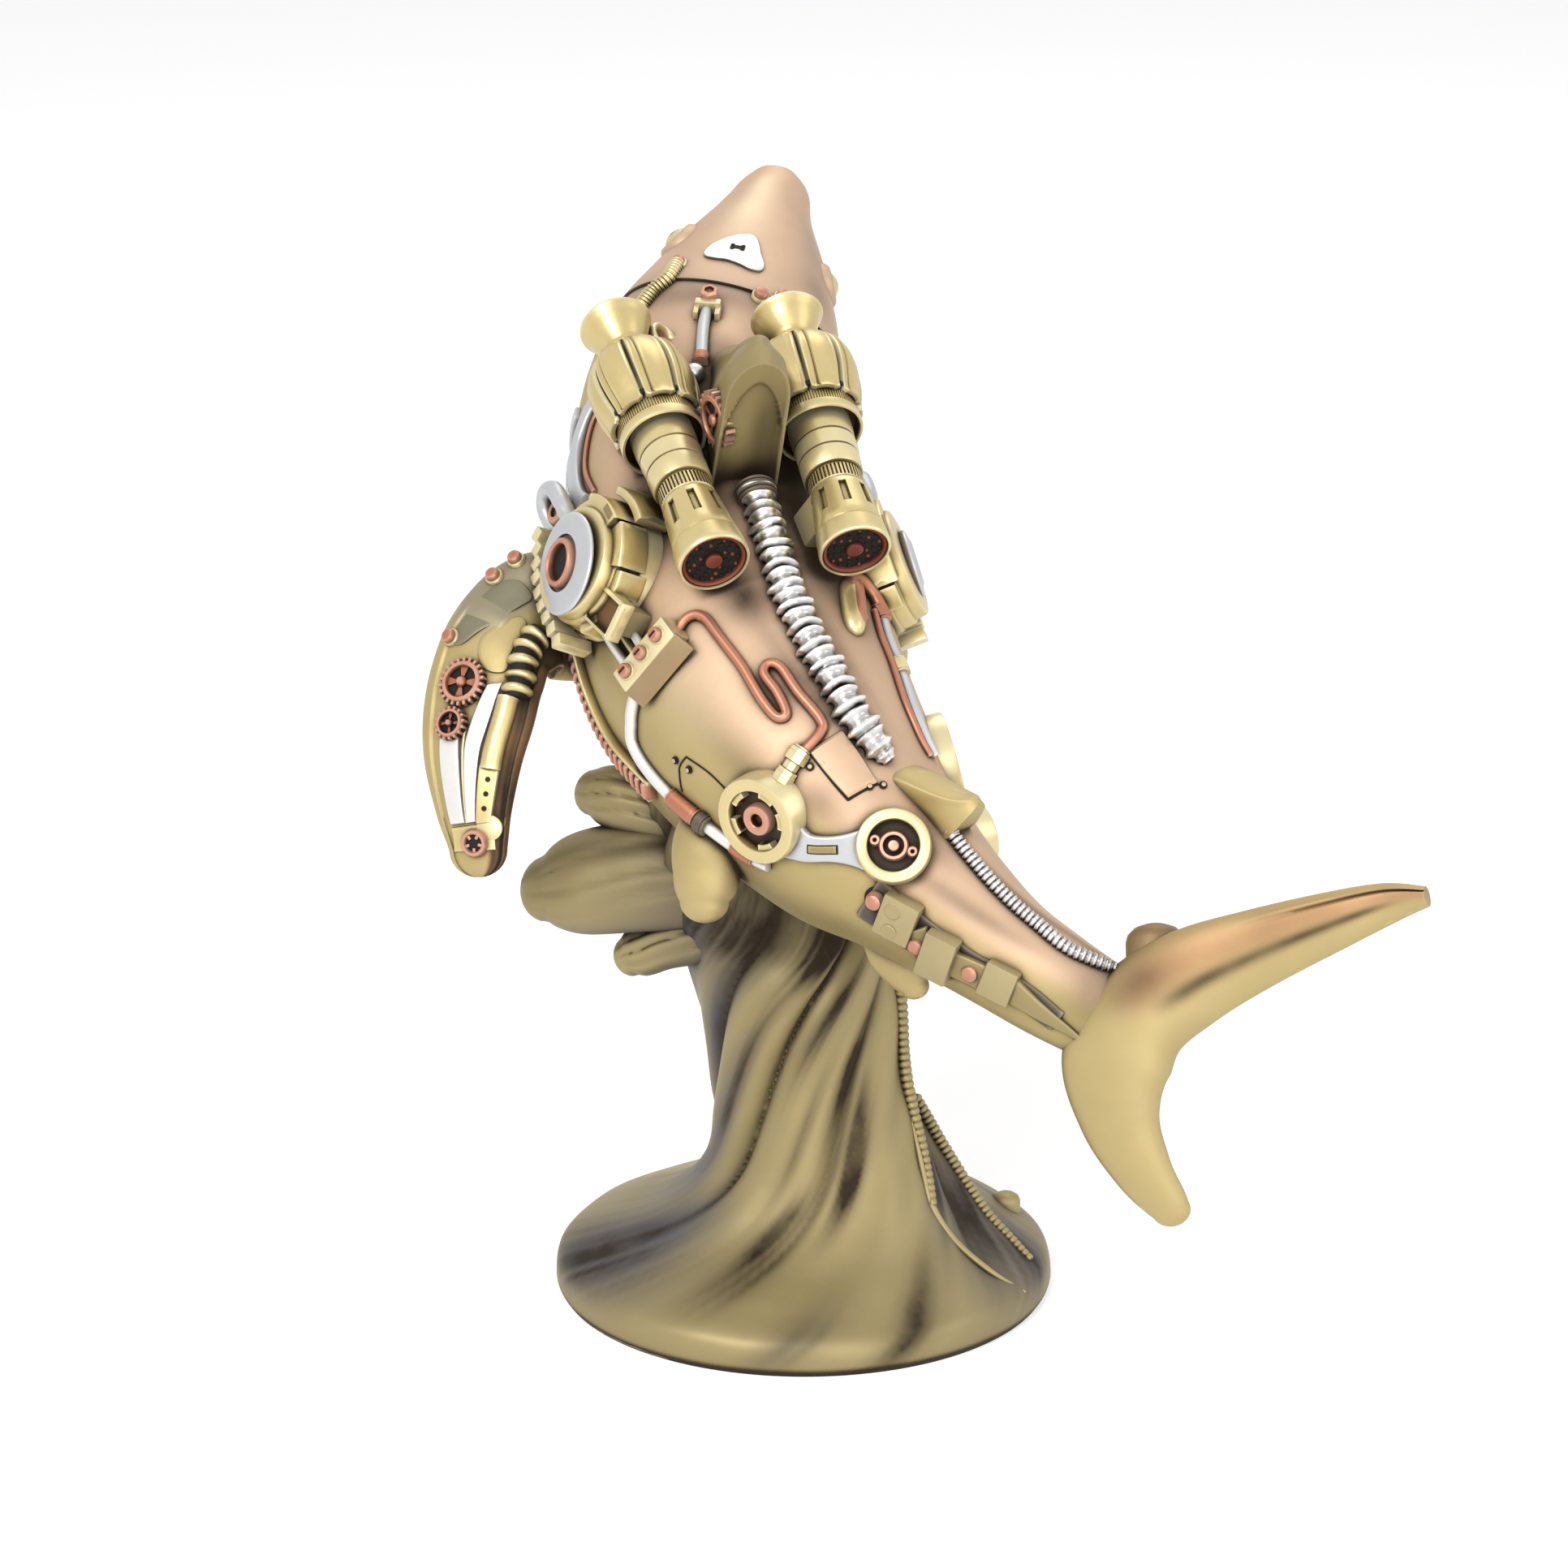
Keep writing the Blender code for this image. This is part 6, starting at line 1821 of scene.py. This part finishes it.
def build_head():
    keep(paint(plate("head_plate", HEAD_PLATE_OUTLINE, skin, 0.9, 1.0), white()), "silver_paint", 30)
    cross = box("head_plate_slot", (1.2, 3.0, 0.9), 0.1, 1)
    wings = [put(box("wing", (2.2, 0.9, 0.9), 0.1, 1),
                 Matrix.Translation((0, k * 1.25 * MM, 0))) for k in (-1, 1)]
    slot = paint(join("head_plate_slot", [put(cross, Matrix.Identity(4)), *wings]), black_and_shade())
    keep(put(slot, seat(0.225, 5.5, 0.15 * MM, 4)), "silver_paint")
    bracket = [put(box("bracket", (2.0, 6.0, 4.0), 0.3, base=-1), Matrix.Identity(4))]
    for side in (-1, 1):
        spot = Matrix.Translation((1.9 * MM, side * 2.5 * MM, 0))
        bracket.append(put(box("prong", (3.0, 1.2, 3.0), 0.25, base=-1), spot))
    clip = join("head_pipe_clip", [paint(b, brass()) for b in bracket])
    keep(put(clip, seat(0.318, 9)), "antique_gold")
    head_pipe_cap_profile = ((0, -3), (2.2, -3), (2.2, 1.0), (1.8, 1.4), (1.2, 1.4), (1.0, 0.9), (0, 0.8))
    cap = spun("head_pipe_cap", head_pipe_cap_profile, 6)
    keep(put(paint(cap, copper()), seat(0.310, 9, 3.0 * MM)), "rose_copper", 20)
    for n, (t, degrees) in enumerate(EYES):
        eyelid_profile = ((0, -4), (6.4, -4), (5.9, -0.8), (5.2, 0.4), (4.5, 1.0), (3.9, 1.1), (3.6, 0.5),
                          (0, 0.3))
        lid = spun(f"eyelid_{n + 1}", eyelid_profile, 48)
        keep(put(paint(lid, hide_paint_plain()), seat(t, degrees)), "rose_copper", 50)
        ball = spun(f"eye_{n + 1}", ((0, 0.5), (3.6, 0.5), (3.4, 1.8), (2.6, 2.9), (1.4, 3.5), (0, 3.7)), 40)
        paint(put(ball, Matrix.Identity(4)), brass())
        paint(ball, black_and_shade(), lambda middle,
              normal: math.hypot(middle.x, middle.y) < 1.6 * MM and normal.z > 0)
        keep(put(ball, seat(t, degrees, -1.4 * MM)), "antique_gold", 60)
    place = seat(*EYELET_PLACE, lift=1.6 * MM)
    upright = place @ Matrix.Rotation(math.radians(-62), 4, "X")
    tube_profile = ((2.3, -3.6), (3.5, -3.6), (3.5, 0.0), (3.4, 0.3), (2.6, 0.3), (2.4, 0.0), (2.3, -3.6))
    barrel = paint(put(spun("eyelet_barrel", tube_profile, 40), Matrix.Identity(4)), copper())
    rim_profile = ((2.5, -0.3), (3.8, -0.3), (4.1, 0.2), (4.0, 0.9), (3.6, 1.2), (3.0, 1.1), (2.6, 0.6),
                   (2.5, -0.3))
    rim = paint(put(spun("rim", rim_profile, 40), Matrix.Identity(4)), brass())
    keep(put(join("eyelet", [barrel, rim]), upright), "antique_gold", 50)


GILL_PLATE = ((0.384, 58), (0.393, 67), (0.406, 74), (0.425, 75), (0.447, 71), (0.458, 66))
GILL_LINE = ((0.389, 54), (0.400, 62), (0.415, 66), (0.434, 66), (0.456, 60))


def build_gills_and_tracks():
    for side, name in ((1, "port"), (-1, "starboard")):
        rows = [(t, side * degrees) for t, degrees in GILL_PLATE]
        edge = [(t, side * degrees) for t, degrees in GILL_LINE]
        band = swept(f"{name}_gill_plate", skin_route(rows, 50), 24, bar_section(4.6, 1.9, -1.5, 0.45))
        keep(paint(band, silver()), "silver_paint", 50)
        line = swept(f"{name}_gill_line", skin_route(edge, 50), 16, bar_section(1.3, 0.9, -1.0, 0.5))
        keep(paint(line, copper()), "rose_copper", 50)
        for n, (t, first, last) in enumerate(GILL_BANDS):
            low = [(t, side * (first + 14 + (last - first - 14) * k / 4)) for k in range(5)]
            gill = swept(f"{name}_gill_{n + 1}", skin_route(low, 30), 20, bar_section(3.2, 1.3, -2.0, 0.5))
            keep(paint(gill, silver()), "silver_paint", 50)
    ribs = 18

    def ribbed(u, v):
        top = 1.2 + 1.7 * abs(math.sin(math.pi * ribs * v)) ** 0.6
        return bar_section(5.0, top, -2.0, 0.35)(u, v)

    track = swept("track", skin_route(TRACK, ribs * 6 + 1), 16, ribbed)
    keep(paint(track, copper()), "rose_copper", 30)
    for n, side in enumerate((-1, 1)):
        rows = [(t, degrees + side * 4.6) for t, degrees in TRACK]
        lip = swept(f"track_lip_{n + 1}", skin_route(rows, 60), 14, bar_section(1.0, 2.2, -1.5, 0.5))
        keep(paint(lip, brass()), "antique_gold", 50)


STRIPES = (
    (((0.475, 0.24), (0.595, 0.05), (0.67, -0.01), (0.82, -0.01)),
     ((0.465, 0.47), (0.595, 0.36), (0.67, 0.29), (0.82, 0.22))),
    (((0.625, -0.53), (0.695, -0.54), (0.76, -0.54), (0.82, -0.52)),
     ((0.625, -0.14), (0.695, -0.11), (0.76, -0.10), (0.82, -0.08))),
)
COIL_RINGS = 5


def fin_route(rows, count, lift=0.0):
    places = [spline(rows, k / (count - 1)) for k in range(count)]
    outs = [fin_seat(u, v).to_3x3().col[2] for u, v in places]
    return route([port_fin(u, v, lift) for u, v in places], count, outs)


# Armour plates at the port fin's root, as places on its outer face.
ARMOUR_GREY = ((0.24, -0.62), (0.225, -0.35), (0.235, -0.10), (0.30, -0.08), (0.34, -0.25), (0.375, -0.45),
               (0.37, -0.66), (0.31, -0.68))
ARMOUR_GOLD = ((0.305, -0.04), (0.27, 0.12), (0.285, 0.32), (0.35, 0.42), (0.42, 0.46), (0.435, 0.24),
               (0.415, 0.02), (0.36, -0.14))


def build_fin_work():
    for n, (u, v, radius, teeth) in enumerate(((0.475, -0.20, 5.5, 22), (0.592, -0.28, 3.7, 16))):
        made = gear(f"fin_gear_{n + 1}", radius, teeth, 1.5, 1.6, copper())
        back = paint(spun("gear_shadow", ((0, -1), (radius * 1.02, -1), (radius * 1.02, 0.3), (0, 0.32)),
                          48), black_and_shade())
        made = join(f"fin_gear_{n + 1}", [made, back])
        keep(put(made, fin_seat(u, v) @ Matrix.Translation((0, 0, (0.3 + 0.6 * n) * MM))), "rose_copper")
    for n, (left, right) in enumerate(STRIPES):
        stripe = panel(f"fin_stripe_{n + 1}", left, right, port_fin, 0.75, 1.2, 40)
        keep(paint(stripe, white()), "silver_paint", 30)
    ridge = swept("fin_ridge", fin_route(((0.60, -0.05), (0.70, -0.055), (0.82, -0.05)), 30), 10,
                  round_section(0.45))
    keep(paint(ridge, brass()), "antique_gold", 50)
    coil = ((0.27, 0.50), (0.34, 0.62), (0.42, 0.70), (0.51, 0.72))
    # Black core between the coil's rings: painted shade in the gaps.
    core = paint(swept("coil_core", fin_route(coil, 30, 0.3 * MM), 20, round_section(2.7)), black_and_shade())
    frames = fin_route(coil, COIL_RINGS * 12 + 1, 0.3 * MM)
    rings = []
    for k in range(COIL_RINGS):
        part_frames = frames[k * 12 + 2:k * 12 + 11]
        rings.append(swept("coil_ring", part_frames, 32,
                           round_section(lambda v: 2.4 + 1.3 * math.sin(math.pi * v) ** 0.7)))
    keep(join("fin_coil", [core, *[paint(r, brass()) for r in rings]]), "antique_gold", 60)
    bar = swept("fin_bar", fin_route(((0.51, 0.60), (0.60, 0.56), (0.70, 0.51)), 24), 24,
                lambda u, v: (2.5 * math.cos(TURN * u), 1.9 * math.sin(TURN * u)))
    keep(paint(bar, brass()), "antique_gold", 60)
    tab = panel("fin_tab", ((0.69, 0.32), (0.75, 0.28), (0.83, 0.24)),
                ((0.69, 0.70), (0.75, 0.68), (0.83, 0.62)),
                port_fin, 0.9, 1.2, 20)
    keep(paint(tab, brass()), "antique_gold", 30)
    # Black discs: painted shade in the tab's holes.
    hole = paint(spun("tab_hole", ((0, -1), (0.55, -1), (0.55, 0.05), (0, 0.06)), 16), black_and_shade())
    spread("tab_holes", hole, [fin_seat(u, v) @ Matrix.Translation((0, 0, 0.9 * MM)) for u,
                               v in ((0.722, 0.50), (0.752, 0.48), (0.786, 0.45))], "antique_gold")
    ear = spun("fin_ear", ((0, -1.5), (2.9, -1.5), (2.9, 0.2), (2.6, 0.45), (0, 0.5)), 36)
    keep(put(paint(ear, brass()), fin_seat(0.845, 0.56)), "antique_gold", 40)
    fin_tip_ring_profile = ((1.8, -1.5), (3.1, -1.5), (3.1, 0.7), (2.8, 1.2), (2.2, 1.2), (1.9, 0.8),
                            (1.8, -1.5))
    tip = spun("fin_tip_ring", fin_tip_ring_profile, 48)
    star = paint(spun("star", ((0, -1.2), (2.0, -1.2), (2.0, 0.5), (0, 0.55)), 30), black_and_shade())
    spikes = []
    for k in range(5):
        spike = put(box("spike", (1.0, 0.7, 0.9), 0.15, base=0), Matrix.Translation((1.6 * MM, 0, 0.1 * MM)))
        spikes.append(paint(put(spike, Matrix.Rotation(TURN * k / 5, 4, "Z")), copper()))
    tip = join("fin_tip_ring", [paint(tip, copper()), star, *spikes])
    keep(put(tip, fin_seat(0.895, 0.12) @ Matrix.Translation((0, 0, 0.5 * MM))), "rose_copper", 40)
    tip_plate = panel("fin_tip_plate", ((0.83, -0.55), (0.88, -0.62), (0.93, -0.72)),
                      ((0.83, 0.62), (0.88, 0.70), (0.93, 0.74)),
                      port_fin, 0.55, 1.0, 16)
    keep(paint(tip_plate, brass()), "antique_gold", 30)
    for n, (finish, outline) in enumerate(((slate(), ARMOUR_GREY), (wave_and_gold(), ARMOUR_GOLD))):
        armour = plate(f"fin_armour_{n + 1}", outline, port_fin, 0.45, 1.2)
        keep(paint(armour, finish), "antique_gold", 30)
    spread("fin_bolts", bolt_master(), [fin_seat(0.215, -0.90), fin_seat(0.245, -0.80),
                                        fin_seat(0.365, -0.70)], "rose_copper")


def length(name, description, default):
    return bpy.props.FloatProperty(name=name, description=description, default=default, unit="LENGTH")


def tint(name, description, default):
    return bpy.props.FloatVectorProperty(
        name=name, description=description, default=default, size=3, subtype="COLOR", min=0, max=1
    )


class SharkSizes(bpy.types.PropertyGroup):
    """Sizes of the fittings"""
    jet_length: length("Jet length", "From the funnel's rim to the nozzle's end", 0.082)
    jet_radius: length("Jet radius", "At the widest of the petalled tank", 0.0117)
    jet_lift: length("Jet lift", "Height of the jets' middle lines above the skin", 0.0105)
    spine_hose_radius: length("Spine hose radius", "On the lips of its ridges", 0.0043)
    tail_hose_radius: length("Tail hose radius", "On the lips of its ridges", 0.0016)
    pipe_radius: length("Pipe radius", "Of the thin copper and silver pipes", 0.00125)


class SharkColours(bpy.types.PropertyGroup):
    """Paint colours"""
    brass: tint("Brass", "Pale brass of the jets, rings and boxes", srgb(210, 190, 134))
    fin_gold: tint("Fin gold", "Champagne gold of the fins and tail", srgb(188, 168, 116))
    champagne: tint("Champagne", "Flanks of the body", srgb(186, 166, 112))
    rose: tint("Rose", "Back and head of the body", srgb(208, 176, 146))
    copper: tint("Copper", "Bolts, pipes and hubs", srgb(182, 118, 90))
    silver: tint("Silver", "White-silver plates, discs and pipes", srgb(198, 200, 202))
    chrome: tint("Chrome", "Ridged hoses along the back", srgb(214, 212, 210))
    bronze: tint("Bronze", "Olive bronze of the wave", srgb(164, 148, 104))
    nozzle: tint("Nozzle", "Burnt red faces of the nozzles", srgb(118, 58, 42))


class StageSettings(bpy.types.PropertyGroup):
    """Camera and light"""
    lens: bpy.props.FloatProperty(
        name="Lens", description="Focal length of the camera", default=115.93, unit="CAMERA"
    )
    distance: length("Distance", "From the camera to the figurine's middle", 1.15)
    height: bpy.props.FloatProperty(
        name="Height", description="Angle of the camera above the figurine",
        default=math.radians(18), subtype="ANGLE"
    )
    daylight: bpy.props.FloatProperty(
        name="Daylight", description="Strength of the soft light all round", default=0.26
    )
    lamps: bpy.props.FloatProperty(name="Lamps", description="Strength of the soft lamps", default=1.0)


# Light that the white floor gives where the camera sees it.
FLOOR_GLOW = 0.56
CAMERA_TARGET = Vector((-0.0046, 0.0, 0.1214))
# Soft lamps: name, place in metres, power in watts and size in metres.
LAMPS = (
    ("key_lamp", (-0.75, -1.25, 1.35), 18.0, 0.8),
    ("front_lamp", (0.3, -1.7, 0.45), 12.0, 1.2),
    ("right_lamp", (1.4, -0.5, 0.8), 4.0, 1.0),
    ("back_lamp", (0.2, 1.1, 1.5), 5.0, 1.0),
)


def plain_view(tree):
    """1 for what the camera sees straight on or by reflection."""
    rays = add_node(tree, "ShaderNodeLightPath").outputs
    seen = maths(tree, "ADD", rays["Is Camera Ray"], rays["Is Glossy Ray"])
    return maths(tree, "ADD", seen, rays["Is Transmission Ray"], clamp=True)


def build_stage():
    stage = bpy.context.scene.stage_settings
    start()
    bpy.ops.mesh.primitive_plane_add(size=8)
    floor = named("floor")
    paper = bpy.data.materials.new("white_paper")
    paper.use_nodes = True
    shader = paper.node_tree.nodes["Principled BSDF"]
    shader.inputs["Base Color"].default_value = (0.86, 0.86, 0.86, 1)
    shader.inputs["Roughness"].default_value = 0.9
    shader.inputs["Emission Color"].default_value = (1, 1, 1, 1)
    glow = maths(paper.node_tree, "MULTIPLY", plain_view(paper.node_tree), FLOOR_GLOW)
    feed(paper.node_tree, shader.inputs["Emission Strength"], glow)
    floor.data.materials.append(paper)
    world = bpy.data.worlds.new("soft_daylight")
    bpy.context.scene.world = world
    world.use_nodes = True
    tree = world.node_tree
    tree.nodes.clear()
    soft = add_node(tree, "ShaderNodeBackground")
    soft.inputs["Strength"].default_value = stage.daylight
    white = add_node(tree, "ShaderNodeBackground")
    white.inputs["Color"].default_value = (1, 1, 1, 1)
    mixed = add_node(tree, "ShaderNodeMixShader")
    out = add_node(tree, "ShaderNodeOutputWorld")
    soft.inputs["Color"].default_value = (1, 1, 1, 1)
    feed(tree, mixed.inputs[0], plain_view(tree))
    tree.links.new(soft.outputs[0], mixed.inputs[1])
    tree.links.new(white.outputs[0], mixed.inputs[2])
    tree.links.new(mixed.outputs[0], out.inputs["Surface"])
    for name, spot, power, size in LAMPS:
        lamp = bpy.data.lights.new(name, "AREA")
        lamp.energy = power * stage.lamps
        lamp.size = size
        holder = bpy.data.objects.new(name, lamp)
        bpy.context.scene.collection.objects.link(holder)
        holder.location = spot
        holder.rotation_euler = (CAMERA_TARGET - Vector(spot)).to_track_quat("-Z", "Y").to_euler()
    lens = bpy.data.cameras.new("camera")
    lens.lens = stage.lens
    lens.clip_start = 0.01
    camera = bpy.data.objects.new("camera", lens)
    bpy.context.scene.collection.objects.link(camera)
    back = Vector((0, -math.cos(stage.height), math.sin(stage.height)))
    camera.location = CAMERA_TARGET + back * stage.distance
    camera.rotation_euler = (math.pi / 2 - stage.height, 0, 0)
    bpy.context.scene.camera = camera
    bpy.context.scene.view_settings.view_transform = "Standard"


def build_jets():
    for name, ends in JETS.items():
        build_jet(name, ends)


def build_wheels():
    for name, (t, degrees) in WHEELS.items():
        build_wheel(name, t, degrees)


class SHARK_OT_body(bpy.types.Operator):
    """Build the shark's body"""
    bl_idname = "shark.body"
    bl_label = "Body"

    def execute(self, context):
        build_body()
        return {"FINISHED"}


class SHARK_OT_wave(bpy.types.Operator):
    """Build the wave with its splashes and foot hoses"""
    bl_idname = "shark.wave"
    bl_label = "Wave"

    def execute(self, context):
        build_wave()
        return {"FINISHED"}


class SHARK_OT_fins(bpy.types.Operator):
    """Build the paired fins and the tail"""
    bl_idname = "shark.fins"
    bl_label = "Fins"

    def execute(self, context):
        build_fins()
        return {"FINISHED"}


class SHARK_OT_back_fins(bpy.types.Operator):
    """Build both fins of the back"""
    bl_idname = "shark.back_fins"
    bl_label = "Back fins"

    def execute(self, context):
        build_back_fins()
        return {"FINISHED"}


class SHARK_OT_jets(bpy.types.Operator):
    """Build both jets"""
    bl_idname = "shark.jets"
    bl_label = "Jets"

    def execute(self, context):
        build_jets()
        return {"FINISHED"}


class SHARK_OT_wheels(bpy.types.Operator):
    """Build both shoulder wheels"""
    bl_idname = "shark.wheels"
    bl_label = "Wheels"

    def execute(self, context):
        build_wheels()
        return {"FINISHED"}


class SHARK_OT_hoses(bpy.types.Operator):
    """Build the ridged hoses"""
    bl_idname = "shark.hoses"
    bl_label = "Hoses"

    def execute(self, context):
        build_hoses()
        return {"FINISHED"}


class SHARK_OT_pipes(bpy.types.Operator):
    """Build the pipes and their couplings"""
    bl_idname = "shark.pipes"
    bl_label = "Pipes"

    def execute(self, context):
        build_pipes()
        return {"FINISHED"}


class SHARK_OT_ring_joints(bpy.types.Operator):
    """Build the ring joints and straps"""
    bl_idname = "shark.ring_joints"
    bl_label = "Ring joints"

    def execute(self, context):
        build_ring_joints()
        return {"FINISHED"}


class SHARK_OT_fittings(bpy.types.Operator):
    """Build bolts, plates, clamps, eyes and gills"""
    bl_idname = "shark.fittings"
    bl_label = "Fittings"

    def execute(self, context):
        build_fittings()
        return {"FINISHED"}


class SHARK_OT_fin_work(bpy.types.Operator):
    """Build the gears and stripes of the port fin"""
    bl_idname = "shark.fin_work"
    bl_label = "Fin work"

    def execute(self, context):
        build_fin_work()
        return {"FINISHED"}


class SHARK_OT_stage(bpy.types.Operator):
    """Build the floor, light and camera"""
    bl_idname = "shark.stage"
    bl_label = "Stage"

    def execute(self, context):
        build_stage()
        return {"FINISHED"}


OPERATORS = [
    SHARK_OT_body,
    SHARK_OT_wave,
    SHARK_OT_fins,
    SHARK_OT_back_fins,
    SHARK_OT_jets,
    SHARK_OT_wheels,
    SHARK_OT_hoses,
    SHARK_OT_pipes,
    SHARK_OT_ring_joints,
    SHARK_OT_fittings,
    SHARK_OT_fin_work,
    SHARK_OT_stage,
]


class SHARK_PT_panel(bpy.types.Panel):
    """Sidebar panel that lists the operators"""
    bl_label = "Clockwork shark"
    bl_space_type = "VIEW_3D"
    bl_region_type = "UI"
    bl_category = "Shark"

    def draw(self, context):
        for made in OPERATORS:
            self.layout.operator(made.bl_idname)


CLASSES = [SharkSizes, SharkColours, StageSettings, *OPERATORS, SHARK_PT_panel]


def register():
    for made in CLASSES:
        bpy.utils.register_class(made)
    bpy.types.Scene.shark_sizes = bpy.props.PointerProperty(type=SharkSizes)
    bpy.types.Scene.shark_colours = bpy.props.PointerProperty(type=SharkColours)
    bpy.types.Scene.stage_settings = bpy.props.PointerProperty(type=StageSettings)


def unregister():
    del bpy.types.Scene.shark_sizes
    del bpy.types.Scene.shark_colours
    del bpy.types.Scene.stage_settings
    for made in reversed(CLASSES):
        bpy.utils.unregister_class(made)


def main():
    register()
    bpy.ops.shark.body()
    bpy.ops.shark.wave()
    bpy.ops.shark.fins()
    bpy.ops.shark.back_fins()
    bpy.ops.shark.jets()
    bpy.ops.shark.wheels()
    bpy.ops.shark.hoses()
    bpy.ops.shark.pipes()
    bpy.ops.shark.ring_joints()
    bpy.ops.shark.fittings()
    bpy.ops.shark.fin_work()
    bpy.ops.shark.stage()


if __name__ == "__main__":
    main()
